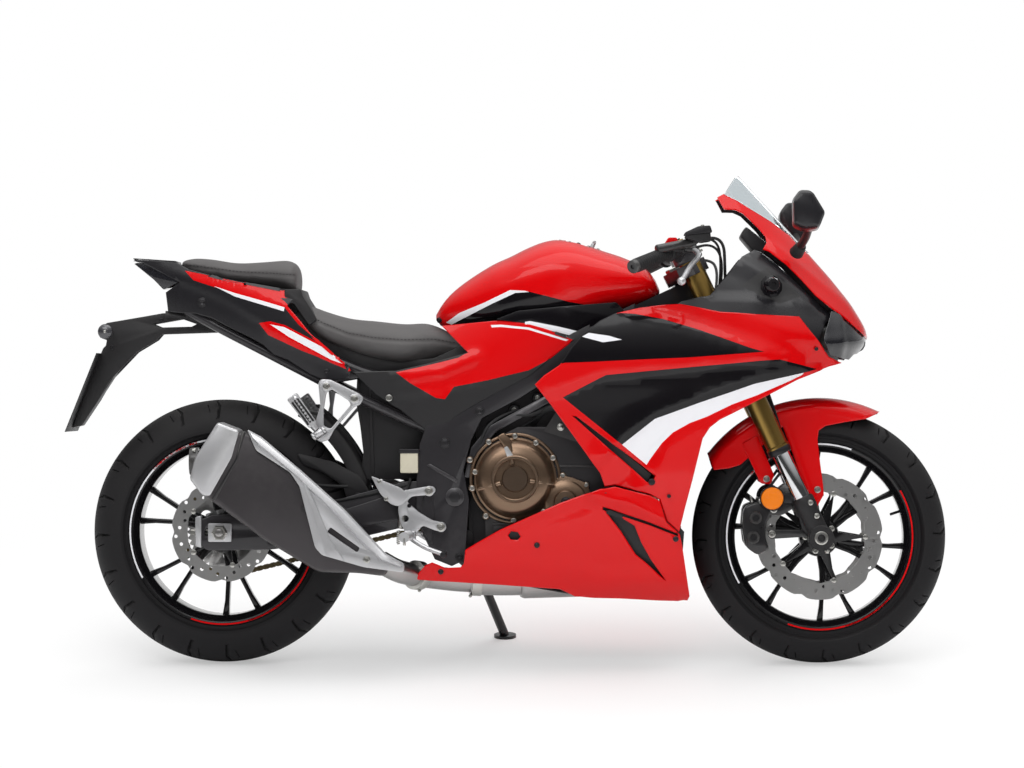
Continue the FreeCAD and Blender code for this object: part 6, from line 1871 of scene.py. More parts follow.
class RunningGear(Assembly):
    """Both wheels, discs, sprocket and chain."""

    front = WheelPlan("front", FRONT_AXLE, tyre_radius=300.0, half=60.0, rim_half=48.0, spoke_half=17.0,
                      hub_radius=46.0, hub_half=54.0)
    rear = WheelPlan("rear", REAR_AXLE, tyre_radius=312.0, half=80.0, rim_half=67.0, spoke_half=22.0,
                     hub_radius=52.0, hub_half=82.0)

    def build(self) -> None:
        """Make the wheels and what turns with them."""
        b = self.bench
        for plan in (self.front, self.rear):
            wheel = Wheel(b, plan)
            wheel.tyre()
            wheel.rim()
        front = Wheel(b, self.front)
        parts = front.disc(148, 42, 56, Side.RIGHT, 10) + front.disc(148, 42, 56, Side.LEFT, 10)
        b.park("front_discs_drilled", parts, "front_wheel", ["front_discs"])
        rear = Wheel(b, self.rear)
        b.park("rear_disc_drilled", rear.disc(119, 38, 84, Side.RIGHT, 8), "rear_wheel", ["rear_disc"])
        self.sprocket()
        self.chain()

    def sprocket(self) -> None:
        """Make the rear sprocket with teeth and lightening windows."""
        b = self.bench
        teeth = 43
        steps = itertools.cycle((101.5, 98.5, 94.0, 98.5))
        outline = wavy(teeth * 4, lambda _: next(steps))
        holes = [circle((0, 0), 20, 20)]
        for k in range(6):
            t = math.tau * (k + 0.5) / 6
            holes.append(circle((63 * math.cos(t), 63 * math.sin(t)), 14, 14))
        plate = b.plate(outline, 88, 92, 0.5, holes)
        parts = [b.paint(plate, "disc_steel")]
        parts.append(b.paint(b.turned([(18, 0), (50, 0), (52, 0.3), (46, 0.9), (18, 1.0),
                                       (18, 0)], Vector((0, 82, 0)),
                                      Vector((0, 88.5, 0)), 40), "rim_black"))
        for k in range(6):
            t = math.tau * k / 6
            parts += self.bolt((62 * math.cos(t), 92, 62 * math.sin(t)), (0, 1, 0), 5.0, "bolt_zinc",
                               hexagon=True, height=4.0)
        place = Matrix.Translation((0, 0, REAR_AXLE[1]))
        b.park("rear_sprocket_toothed", [b.move(o, place) for o in parts], "rear_wheel", ["rear_sprocket"])

    def chain(self) -> None:
        """Make the chain of plates and rollers round both sprockets."""
        b = self.bench
        big, small = 109.0, 48.0
        (x0, z0), (x1, z1) = REAR_AXLE, FRONT_SPROCKET
        heading = math.atan2(z1 - z0, x1 - x0)
        spread = math.acos((big - small) / math.hypot(x1 - x0, z1 - z0))
        path: list[Point2] = []
        up, low = heading + spread, heading - spread
        for k in range(41):
            t = up + (math.tau - 2 * spread) * k / 40
            path.append((x0 + big * math.cos(t), z0 + big * math.sin(t)))
        for k in range(21):
            t = low + 2 * spread * k / 20
            path.append((x1 + small * math.cos(t), z1 + small * math.sin(t)))
        path.append(path[0])
        lengths = [0.0]
        for a, c in zip(path, path[1:]):
            lengths.append(lengths[-1] + math.hypot(c[0] - a[0], c[1] - a[1]))
        links = int(lengths[-1] / CHAIN_PITCH / 2) * 2

        def at(s: float) -> Vector:
            """Return the point at a length along the path."""
            s %= lengths[-1]
            i = max(k for k, value in enumerate(lengths) if value <= s)
            i = min(i, len(path) - 2)
            t = (s - lengths[i]) / (lengths[i + 1] - lengths[i])
            return Vector((path[i][0] + (path[i + 1][0] - path[i][0]) * t, 0,
                           path[i][1] + (path[i + 1][1] - path[i][1]) * t))

        pitch = lengths[-1] / links
        shape = [(-9.5, 3.6), (-8, 5.8), (-5, 6.2), (0, 4.6), (5, 6.2), (8, 5.8), (9.5, 3.6), (9.5, -3.6),
                 (8, -5.8), (5, -6.2), (0, -4.6), (-5, -6.2), (-8, -5.8), (-9.5, -3.6)]
        outer = [b.plate([(x + 7.9, z) for x, z in shape], y, y + 1.6, 0.0) for y in (84.2, 96.2)]
        inner = [b.plate([(x + 7.9, z) for x, z in shape], y, y + 1.6, 0.0) for y in (86.2, 94.2)]
        pins = [b.bar((x, 83.4, 0), (x, 98.6, 0), 2.6, round_by=0.6, steps=10) for x in (0, 15.8)]
        rollers = [b.bar((x, 87.6, 0), (x, 94.4, 0), 5.0, round_by=0.6, steps=12) for x in (0, 15.8)]
        outer_link = b.joined([b.paint(o, "chain_steel") for o in [*outer, *pins]])
        inner_link = b.joined([b.paint(o, "chain_steel") for o in [*inner, *rollers]])
        made = []
        for k in range(links):
            a, c = at(k * pitch), at((k + 1) * pitch)
            turn = -math.atan2(c.z - a.z, c.x - a.x)
            place = Matrix.Translation(a) @ Matrix.Rotation(turn, 4, "Y")
            made.append(b.again(outer_link if k % 2 else inner_link, place))
        for spare in (outer_link, inner_link):
            bpy.data.objects.remove(spare)
        drive = b.bar((x1, 86, z1), (x1, 94, z1), 43.0, round_by=1.5, steps=40)
        made.append(b.paint(drive, "disc_steel"))
        b.park("drive_chain_links", made, "chassis", ["drive_chain"])


class FrontEnd(Assembly):
    """Everything that turns with the bars, apart from the wheel."""

    def build(self) -> None:
        """Make the fork, its clamps, the guard, the brakes and the bars."""
        self.tubes()
        self.feet()
        self.axle()
        self.guard()
        self.calipers()
        self.clamps()
        self.bars()

    def tubes(self) -> None:
        """Make the gold outer tubes with their caps and dust seals."""
        b = self.bench
        low, high = fork_point(500), fork_point(985)
        run = (high - low).length
        profile = [(22, 0), (27.5, 0), (28, 6 / run), (28, 15 / run), (26, 18 / run), (26, 0.28),
                   (26.6, 0.29),
                   (26.6, 1 - 26 / run), (26, 1 - 24 / run), (26, 1 - 3 / run), (24.5, 1), (0, 1)]
        tube = b.paint(b.turned(profile, low, high, 48), "gold_anodised")
        seal = b.turned([(21, 0), (27, 0), (28.6, 0.3), (28.6, 0.8), (27, 1), (21, 1),
                         (21, 0)], low - STEER_UP * 3,
                        low + STEER_UP * 13, 40)
        cap = b.turned([(0, 0), (22, 0), (22, 0.5), (20, 1), (0, 1)], high - STEER_UP * 3,
                       high + STEER_UP * 7, 32)
        nut = b.turned([(0, 0), (10, 0), (10, 0.85), (9, 1), (0, 1)], high + STEER_UP * 6,
                       high + STEER_UP * 15, 6)
        screw = b.bar(high + STEER_UP * 14, high + STEER_UP * 19, 4.0)
        parts = [tube, b.paint(seal, "bolt_black"), b.paint(cap, "satin_steel"),
                 b.paint(nut, "gold_anodised"), b.paint(screw, "bolt_black")]
        b.park("fork_tubes_gold", b.both_sides(parts), "front_fork", ["fork_outer_tubes"])

    def feet(self) -> None:
        """Make the chromed sliders with their cast feet and axle clamps."""
        b = self.bench
        slider = b.paint(b.bar(fork_point(372), fork_point(506), 20.4, steps=48), "chrome")
        foot = b.turned([(0, 0), (22, 0), (25, 0.03), (25, 0.72), (26.5, 0.76), (26.5, 0.96), (24, 1),
                         (20, 1)],
                        fork_point(289), fork_point(394), 40)
        parts = [slider, b.paint(foot, "black_plastic")]
        boss = [(16, -27), (28, -27), (30, -25), (30, 25), (28, 27), (16, 27), (16, -27)]
        parts.append(b.paint(b.lathe(boss, FRONT_AXLE, 40, -100.0), "black_plastic"))
        web = [(1388, 372), (1402, 330), (1392, 296), (1366, 318), (1352, 366)]
        parts.append(b.paint(b.plate(web, -108, -92, 4), "black_plastic"))
        ear = [(1398, 276), (1422, 270), (1432, 280), (1426, 296), (1402, 300)]
        parts.append(b.paint(b.plate(ear, -124, -76, 3), "black_plastic"))
        parts += self.bolt((1424, -113, 270), (0, 0, -1), 4.5)
        parts += self.bolt((1424, -90, 270), (0, 0, -1), 4.5)
        for z in (383, 352):
            spot = fork_point(z)
            parts += self.bolt((spot.x + 14, -124, z), (0, -1, 0), 4.6, height=2.0)
        stay = b.plate(rounded(((1288, 400), (1296, 408), (1352, 404), (1366, 394), (1362, 380),
                                (1296, 382)), 4.0),
                       -96, -92, 1.0)
        rim = b.turned([(0, 0), (29, 0), (29, 0.8), (27.5, 1), (26.5, 1), (26.5, 0.6), (0, 0.6)],
                       Vector((1296, -96, 392)), Vector((1296, -105, 392)), 48)
        lens = b.turned([(0, 0), (26.2, 0), (26.2, 0.6), (24, 0.9), (12, 1), (0, 1.04)],
                        Vector((1296, -100, 392)), Vector((1296, -107, 392)), 48)
        parts += [b.paint(stay, "bolt_black"), b.paint(rim, "bolt_black"), b.paint(lens, "amber_lens")]
        b.park("fork_feet_cast", b.both_sides(parts), "front_fork", ["fork_lowers"])

    def axle(self) -> None:
        """Make the hollow axle with its shoulders."""
        b = self.bench
        profile = [(9, -128), (12.4, -128), (12.4, 128), (9, 128), (9, -128)]
        tube = b.paint(b.lathe(profile, FRONT_AXLE, 40), "satin_steel")
        collar = b.paint(b.lathe([(9.2, -127.6), (14, -127.6), (17, -126.4), (17, -124), (9.2, -124),
                                  (9.2, -127.6)],
                                 FRONT_AXLE, 40), "bolt_zinc")
        b.park("front_axle_hollow", [tube, collar, b.mirrored(collar)], "front_fork", ["front_axle"])

    def guard(self) -> None:
        """Make the front guard with its legs, straps and bolts."""
        b = self.bench
        top = ((1141, 480), (1150, 502), (1158, 516), (1201, 556), (1260, 608), (1296, 622), (1343, 640),
               (1391, 646), (1462, 636), (1522, 616), (1560, 592))
        low = ((1517, 578), (1470, 571), (1423, 562), (1407, 551), (1404, 529), (1411, 470), (1417, 425),
               (1419, 400), (1404, 373), (1384, 384), (1366, 430), (1350, 484), (1322, 560), (1280, 520),
               (1222, 470), (1196, 462), (1160, 458))
        creases = [Crease(((1170, 500), (1300, 590), (1400, 604), (1540, 580)), 2.0, 9.0),
                   Crease(((1330, 560), (1360, 480), (1392, 390)), 2.5, 8.0)]
        outline = (*[(x, z + 30) for x, z in top[:-1]], (1572, 602), *low)
        shell = b.sheet(ArchSkin(), [Region(outline, "red_paint")], 9.0, 3.0, creases, roll=1.4)
        parts = [shell]
        for side in (-1, 1):
            parts += self.bolt((1404, side * 67.5, 412), (0, side, 0), 5.5)
            strap = rounded(((1226, 520), (1262, 540), (1302, 446), (1294, 424), (1270, 426)), 6.0)
            parts.append(b.paint(b.plate(strap, side * 65, side * 71, 1.6), "red_paint"))
            parts += self.bolt((1284, side * 70.5, 437), (0, side, 0), 5.5)
            boss = b.bar((1371, side * 64, 382), (1371, side * 82, 382), 8.0)
            parts.append(b.paint(boss, "bolt_black"))
        b.park("front_guard", parts, "front_fork", ["front_fender"])

    def calipers(self) -> None:
        """Make the radial brake calipers on their feet."""
        b = self.bench
        body = rounded(((1232, 372), (1262, 384), (1298, 366), (1282, 330), (1280, 300), (1290, 272),
                        (1262, 258), (1236, 276), (1226, 324)), 9.0)
        outer = b.plate(body, -91.5, -65, 5.0)
        inner = b.plate(body, -53, -40.5, 3.0)
        bridge = b.plate(rounded(((1230, 366), (1246, 374), (1244, 274), (1232, 284),
                                  (1226, 324)), 5.0), -80, -45, 3.0)
        parts = [b.paint(o, "steel_black") for o in (outer, inner, bridge)]
        lug = b.plate(rounded(((1290, 382), (1345, 392), (1352, 372), (1320, 352),
                               (1288, 352)), 8.0), -90, -76, 3.0)
        low_lug = b.plate(rounded(((1284, 318), (1376, 318), (1384, 302), (1290, 296)), 6.0), -88, -76, 3.0)
        parts += [b.paint(lug, "steel_black"), b.paint(low_lug, "steel_black")]
        for x, z in ((1258, 346), (1252, 300)):
            parts.append(b.paint(b.turned([(0, 0), (15, 0), (15, 0.6), (13, 1), (8, 1), (7, 0.7), (0, 0.7)],
                                          Vector((x, -91, z)), Vector((x, -97, z)), 32), "steel_black"))
        for x, z in ((1300, 366), (1296, 308)):
            parts += self.bolt((x, -90, z), (0, -1, 0), 6.0)
        parts += self.bolt((1272, -88, 324), (0, -1, 0), 3.6, "bolt_black")
        parts.append(b.paint(b.bar((1250, -80, 382), (1246, -80, 397), 3.2), "bolt_zinc"))
        parts.append(b.paint(b.bar((1270, -78, 384), (1270, -92, 386), 6.0, steps=18), "bolt_zinc"))
        pads = b.plate(((1236, 350), (1276, 352), (1272, 290), (1240, 290)), -54, -51.5, 0.5)
        parts.append(b.paint(pads, "satin_steel"))
        hose = [(1270, -90, 388), (1290, -97, 420), (1330, -92, 470), (1316, -80, 560), (1280, -70, 660),
                (1262, -64, 730)]
        parts.append(b.paint(b.tube(hose, 3.4), "rubber_black"))
        b.park("front_caliper_pair", b.both_sides(parts), "front_fork", ["front_calipers"])

    def clamps(self) -> None:
        """Make the fork clamps with their pinch bolts and the stem nut."""
        b = self.bench
        parts = [b.paint(b.copy_node("steering_yokes", 2.5), "frame_black")]
        stem_low = self.stem_point(937)
        ring = [(9.5, 0), (20, 0), (21, 0.2), (21, 0.8), (19, 1), (9.5, 1), (9.5, 0)]
        parts.append(b.paint(b.turned(ring, stem_low - STEER_UP * 9, stem_low, 6), "bolt_zinc"))
        for height in (745, 915):
            for side in (-1, 1):
                leg = fork_point(height, Side(side))
                spot = leg - STEER_FRONT * 34 + Vector((0, side * 22, 0))
                for rise in (-7, 7) if height < 800 else (0,):
                    parts += self.bolt(spot + STEER_UP * rise, (-STEER_FRONT.x, side * 0.5, -STEER_FRONT.z),
                                       5.0, height=4.0)
        b.park("steering_clamps", parts, "front_fork", ["steering_yokes"])

    def stem_point(self, height: float) -> Vector:
        """Return the point of the steering axis at a height."""
        return Vector((FRONT_AXLE[0] + TRAIL - height * math.tan(RAKE), 0.0, height))

    def bars(self) -> None:
        """Make both clip-on bars: grips, switches, levers, reservoir and hoses."""
        b = self.bench
        inner, outer = Vector((1052, -208, 966)), Vector((972, -345, 930))
        along = (outer - inner).normalized()
        hub = fork_point(960)
        ring = [(26.2, 0), (33, 0), (35.5, 0.12), (35.5, 0.88), (33, 1), (26.2, 1), (26.2, 0)]
        clamp = b.paint(b.turned(ring, hub - STEER_UP * 14, hub + STEER_UP * 14, 40), "frame_black")
        bar = b.paint(b.bar(inner - along * 84, outer - along * 2, 11.0), "steel_black")
        boss = b.paint(b.bar(hub + Vector((-22, -22, -4)), inner - along * 60, 15.0, 13.0, 3.0),
                       "frame_black")
        grip_profile = [(0, 0), (21, 0), (22, 0.02), (21, 0.045), (16.4, 0.06),
                        *ribs(15, 0.1, 0.056, 16.5, 15.4, (0.03, 0.034, 0.05)), (16.5, 0.965), (15, 1.0),
                        (0, 1.0)]
        grip = b.paint(b.turned(grip_profile, inner, outer, 40), "rubber_black")
        weight = b.paint(b.turned([(0, 0), (13, 0), (15.5, 0.15), (15.5, 0.8), (12, 1), (5, 1), (4, 0.7),
                                   (0, 0.7)],
                                  outer, outer + along * 12, 32), "steel_black")
        switch = b.paint(b.bar(inner - along * 33, inner - along * 1.5, 21.0, 19.0, 4.0), "black_plastic")
        common = [clamp, bar, boss, grip, weight, switch]
        common += self.bolt(hub + STEER_FRONT * 34, STEER_FRONT, 4.5)
        perch = inner - along * 46
        ring = [(11.2, 0), (17, 0), (18, 0.15), (18, 0.85), (17, 1), (11.2, 1), (11.2, 0)]
        common.append(b.paint(b.turned(ring, perch - along * 9, perch + along * 9, 32), "steel_black"))
        root = perch + Vector((34, -2, -2))
        common.append(b.paint(b.bar(perch + Vector((8, 0, 0)), root + Vector((6, 0, 0)), 9.0),
                              "steel_black"))
        blade = [root, root + Vector((12, -22, -8)), root + Vector((12, -60, -20)),
                 root + Vector((-8, -100, -40)), (1080, -330, 897), (1075, -342, 893)]
        common.append(b.paint(b.tube(blade, 6.2), "silver_cast"))
        common.append(b.paint(b.bar((1083, -334, 899), (1074, -344, 892), 9.5, round_by=5.0), "silver_cast"))
        common += self.bolt(root + Vector((0, 0, 9)), (0, 0, 1), 5.0, height=2.0)
        twins = [b.mirrored(o) for o in common]
        near = self.brake_side()
        cable = b.tube([(1098, 232, 958), (1150, 215, 968), (1180, 150, 940), (1168, 90, 880)], 3.4)
        horn = b.plate(rounded(((1052, 976), (1060, 990), (1084, 990), (1086, 974)), 4.0), 196, 216, 2.0)
        far = [b.paint(cable, "rubber_black"), b.paint(horn, "black_plastic")]
        b.park("clip_on_bars", [*common, *twins, *near, *far], "front_fork", ["handlebars"])

    def brake_side(self) -> list[Thing]:
        """Return the right bar's master cylinder, reservoir, switch and hoses."""
        b = self.bench
        parts = [b.paint(b.bar((1022, -262, 971), (1112, -212, 990), 10.5, round_by=3.0), "steel_black")]
        pot = b.plate(rounded(((1086, 997), (1090, 1006), (1146, 1012), (1149, 990),
                               (1124, 986)), 5.0), -266, -222, 4.0)
        lid = b.plate(rounded(((1084, 1003), (1088, 1010), (1118, 1024), (1146, 1026),
                               (1151, 1010)), 4.0), -270, -218,
                      2.5)
        parts += [b.paint(pot, "black_plastic"), b.paint(lid, "bolt_black")]
        for y in (-262, -226):
            parts += self.bolt((1128, y, 1025), (-0.1, 0, 1), 3.2, height=1.5)
        parts.append(b.paint(b.bar((1110, -236, 990), (1118, -240, 1000), 9.0), "black_plastic"))
        parts.append(b.paint(b.plate(rounded(((1040, 984), (1050, 1000), (1070, 1000),
                                              (1074, 984)), 4.0), -222, -206,
                                     2.5), "red_paint"))
        parts.append(b.paint(b.plate(rounded(((1034, 964), (1036, 986), (1084, 992),
                                              (1086, 966)), 6.0), -226, -192,
                                     5.0), "black_plastic"))
        lines = [
            ([(1112, -212, 990), (1150, -206, 1004), (1180, -180, 990), (1184, -134, 940), (1186, -96, 880),
              (1180, -84, 820)], 3.6),
            ([(1052, -196, 958), (1110, -176, 1000), (1164, -144, 1000), (1178, -96, 950), (1172, -84, 888)],
             3.0),
            ([(1052, -190, 948), (1118, -168, 985), (1166, -132, 984), (1182, -92, 935), (1174, -78, 880)],
             3.0),
        ]
        parts += [b.paint(b.tube(points, radius), "rubber_black") for points, radius in lines]
        return parts


class Cockpit(Assembly):
    """Instruments and mirrors."""

    def build(self) -> None:
        """Make both."""
        self.instruments()
        self.mirrors()

    def instruments(self) -> None:
        """Make the instrument case, its face and stay."""
        b = self.bench
        face_up = Vector((-0.62, 0, 0.785)).normalized()
        case = b.plate(rounded(((1222, 1009), (1236, 1033), (1290, 990), (1272, 962),
                                (1250, 976)), 7.0), -64, 64, 8.0)
        parts = [b.paint(case, "black_plastic")]
        middle = Vector((1256, 0, 1014))
        face = b.pane([middle + face_up * 0.9 + Vector((0.785 * u, v, 0.62 * u * -1))
                       for u, v in rounded(((-27, -57), (27, -57), (27, 57),
                                            (-27, 57)), 10.0)], face_up * -3)
        parts.append(b.paint(face, "dial_face"))
        stay = b.copy_node("instrument_panel", 0.0, keep=lambda v: v.z < 962 or abs(v.y) < 14)
        parts.append(b.paint(stay, "frame_black"))
        b.park("instrument_case", parts, "chassis", ["instrument_panel"])

    def mirrors(self) -> None:
        """Make the mirrors: folded shells, glass, stalks and boots."""
        b = self.bench
        shell = b.plate(rounded(((1337, 1020), (1336, 1082), (1354, 1106), (1380, 1105), (1409, 1050),
                                 (1396, 1012), (1364, 1008)), 8.0), -374, -290, 9.0)
        for vert in shell.data.vertices:
            share = (vert.co.y + 332) / 40
            vert.co.x -= 6 * share * share
            vert.co.z = 1058 + (vert.co.z - 1058) * (1 - 0.16 * max(0.0, -share))
        glass = b.pane([(1336 + 6 * (abs(t) ** 2), -332 + 36 * s, 1064 + 27 * t) for s, t in
                        rounded(((-1, -0.9), (1, -0.9), (1, 1), (-1, 1)), 0.5)], (8, 0, 0))
        stalk = b.tube([(1372, -326, 1030), (1372, -250, 1012), (1368, -180, 996), (1356, -136, 976)], 9.5)
        boot = b.bar((1372, -330, 1036), (1372, -300, 1018), 15.0, 11.0, 4.0)
        foot = b.bar((1362, -150, 984), (1350, -126, 966), 13.0, 17.0, 3.0)
        parts = [b.paint(shell, "gloss_plastic"), b.paint(glass, "mirror_glass"),
                 b.paint(stalk, "black_plastic"),
                 b.paint(boot, "rubber_black"), b.paint(foot, "rubber_black")]
        b.park("mirror_pair", b.both_sides(parts), "chassis", ["mirrors"])


class Chassis(Assembly):
    """Frame, engine, radiator and what hangs on them."""

    def build(self) -> None:
        """Make each piece."""
        self.frame()
        self.rail()
        self.engine()
        self.covers()
        self.cooler()
        self.hangers()
        self.pillion()
        self.stand()

    def frame(self) -> None:
        """Make the twin spar frame with its bolts, ribs and pivot."""
        b = self.bench
        parts = [b.paint(b.copy_node("main_frame", 3.0), "frame_black")]
        marks = ((529, 522, 9), (552, 396, 13), (562, 256, 7), (610, 596, 8), (1010, 800, 8), (830, 735, 8))
        for x, z, r in marks:
            for side in (-1, 1):
                y = 138 if x < 900 else 100
                parts += self.bolt((x, side * y, z), (0, side, 0), r, "bolt_black", hexagon=r > 8,
                                   height=4.0)
        for side in (-1, 1):
            rib = [(486, 470), (494, 474), (560, 436), (556, 428)]
            parts.append(b.paint(b.plate(rib, side * 136, side * 141, 1.2), "frame_black"))
            spar = [(790, 626), (706, 580), (650, 549), (611, 505), (592, 440), (574, 442), (590, 512),
                    (632, 562), (698, 598), (784, 644)]
            parts.append(b.paint(b.plate(rounded(spar, 5.0), side * 134, side * 143, 3.5), "frame_black"))
            pad = b.lathe([(0, 137), (22, 137), (22, 140), (20, 141.5), (0, 141.5)] if side > 0 else
                          [(0, -137), (22, -137), (22, -140), (20, -141.5), (0, -141.5)], (552, 396), 40)
            parts.append(b.paint(pad, "frame_black"))
            low = rounded(((470, 330), (480, 420), (500, 420), (505, 340), (500, 280)), 12.0)
            parts.append(b.paint(b.plate(low, side * 136, side * 140, 1.5), "frame_black"))
            weld = [(1052 - 9 * k, side * (58 + 3.4 * k), 866 - 5 * k) for k in range(9)]
            parts.append(b.paint(b.tube(weld, 3.0), "frame_black"))
        b.park("frame_spars", parts, "chassis", ["main_frame"])

    def rail(self) -> None:
        """Make the seat rail with its gussets and bolts."""
        b = self.bench
        parts = [b.paint(b.copy_node("seat_rail", 0.0), "frame_black")]
        for side in (-1, 1):
            gusset = rounded(((300, 702), (250, 722), (200, 700), (262, 664), (330, 676)), 6.0)
            parts.append(b.paint(b.plate(gusset, side * 88, side * 92, 1.0), "frame_black"))
            for x, z in ((500, 549), (545, 628)):
                parts += self.bolt((x, side * 104, z), (0, side, 0), 7.0, "bolt_black", hexagon=True)
        step = rounded(((150, 884), (188, 884), (194, 866), (212, 838), (226, 812), (208, 798), (186, 830),
                        (172, 850), (150, 850)), 3.0)
        parts.append(b.paint(b.plate(step, -112, 112, 3.0), "black_plastic"))
        under = rounded(((190, 850), (218, 822), (262, 778), (330, 738), (425, 716), (500, 722), (575, 756),
                         (640, 760), (640, 704), (570, 640), (500, 640), (330, 684), (205, 742),
                         (140, 775)), 6.0)
        parts.append(b.paint(b.plate(under, -78, 78, 3.0), "black_plastic"))
        guard = rounded(((326, 690), (322, 620), (330, 560), (336, 500), (330, 436), (470, 436), (486, 470),
                         (505, 560), (560, 640), (500, 650)), 8.0)
        for side in (-1, 1):
            parts.append(b.paint(b.plate(guard, side * 66, side * 70, 1.2), "black_plastic"))
            rib = rounded(((344, 660), (352, 660), (360, 450), (352, 450)), 2.0)
            parts.append(b.paint(b.plate(rib, side * 69, side * 73, 1.0), "black_plastic"))
        apron = [(319, 690), (316, 620), (326, 560), (333, 500), (327, 436), (331, 436), (338, 500),
                 (331, 560), (322, 620), (326, 690)]
        parts.append(b.paint(b.plate(apron, -70, 70, 0.8), "black_plastic"))
        b.park("seat_rail_tubes", parts, "chassis", ["seat_rail"])

    def engine(self) -> None:
        """Make the engine: cases, cylinders, ribs, filter, hoses and wiring."""
        b = self.bench
        parts = [b.paint(b.copy_node("engine_block", 5.0), "engine_dark")]
        for k in range(7):
            z = 262 + 34 * k
            if 330 < z < 460:
                continue
            parts.append(b.paint(b.plate(((640, z), (640, z + 5), (925, z + 5), (925, z)), -151, -146, 1.0),
                                 "engine_dark"))
        for k in range(5):
            start, end = (792 + 10 * k, 566 + 25 * k), (976 + 12 * k, 520 + 25 * k)
            rib = [start, (start[0] + 2, start[1] + 6), (end[0] + 2, end[1] + 6), end]
            for side in (-1, 1):
                parts.append(b.paint(b.plate(rib, side * 148, side * 153, 1.2), "engine_dark"))
        for side in (-1, 1):
            cap = rounded(((842, 676), (856, 700), (1004, 712), (1030, 690), (1024, 668)), 10.0)
            parts.append(b.paint(b.plate(cap, side * 152, side * 143, 3.0), "engine_dark"))
            for x, z in ((868, 690), (1006, 694), (800, 560), (944, 500)):
                parts += self.bolt((x, side * 152, z), (0, side, 0), 6.0, "bolt_zinc", hexagon=True)
            for x, z in ((645, 262), (760, 246), (900, 250), (640, 500), (955, 340)):
                parts += self.bolt((x, side * 148, z), (0, side, 0), 5.0, "bolt_zinc", hexagon=True)
        parts.append(b.paint(b.bar((960, -28, 300), (1010, -28, 292), 34.0, round_by=4.0, steps=24),
                             "bolt_black"))
        hoses = [
            ([(735, -100, 566), (752, -130, 600), (800, -150, 606), (830, -150, 590), (842, -140, 555)], 8.0,
             "rubber_black"),
            ([(640, -90, 528), (640, -120, 560), (690, -140, 590), (740, -138, 585), (770, -132, 610)], 5.0,
             "rubber_black"),
            ([(596, -80, 380), (600, -130, 460), (612, -142, 530), (640, -140, 580), (700, -120, 600)], 4.0,
             "rubber_black"),
            ([(842, -140, 640), (880, -158, 600), (900, -160, 540), (905, -158, 480), (930, -150, 430)], 9.0,
             "rubber_black"),
            ([(640, 90, 528), (640, 120, 560), (690, 140, 590), (740, 138, 585), (770, 132, 610)], 5.0,
             "rubber_black"),
        ]
        parts += [b.paint(b.tube(points, radius), finish) for points, radius, finish in hoses]
        for k in range(4):
            y = -99 + 66 * k
            parts.append(b.paint(b.bar((830, y, 678), (786, y, 706), 26.0, 22.0, 4.0, 28), "bolt_black"))
            parts.append(b.paint(b.bar((922, y, 706), (932, y, 732), 9.0, 7.0), "rubber_black"))
        bay = rounded(((596, 520), (600, 640), (650, 690), (720, 730), (830, 742), (900, 700), (905, 560),
                       (860, 500), (640, 480)), 16.0)
        parts.append(b.paint(b.plate(bay, -96, 96, 10.0), "engine_dark"))
        back = rounded(((572, 262), (574, 540), (650, 560), (650, 262)), 8.0)
        parts.append(b.paint(b.plate(back, -66, 66, 5.0), "engine_dark"))
        for side in (-1, 1):
            for k, (x, z) in enumerate(((640, 560), (690, 600), (745, 628), (800, 648))):
                pot = b.bar((x, side * 90, z), (x, side * 112, z), 17.0 - 1.5 * k, 14.0 - k, 2.0, 24)
                parts += [b.paint(pot, "bolt_black"), *self.bolt((x, side * 111, z), (0, side, 0), 4.0)]
            lead = [(610, side * 98, 600), (660, side * 112, 640), (730, side * 118, 668),
                    (820, side * 116, 690)]
            parts.append(b.paint(b.tube(lead, 5.0), "rubber_black"))
            link = [(640, side * 112, 520), (700, side * 118, 552), (770, side * 120, 600),
                    (830, side * 116, 640)]
            parts.append(b.paint(b.tube(link, 3.5), "rubber_black"))
        fuel_rail = b.bar((800, -120, 716), (800, 120, 716), 7.0)
        parts.append(b.paint(fuel_rail, "bolt_zinc"))
        b.park("engine_cases", parts, "chassis", ["engine_block"])

    def round_cover(self, place: Point2, side: int, steps: Sequence[Point2], finish: str) -> Thing:
        """Return a turned cover: (radius, distance off the case) steps from its rim inward."""
        profile = [(r, side * (CASE_HALF + off)) for r, off in steps]
        return self.bench.paint(self.bench.lathe(profile, place, 72), finish)

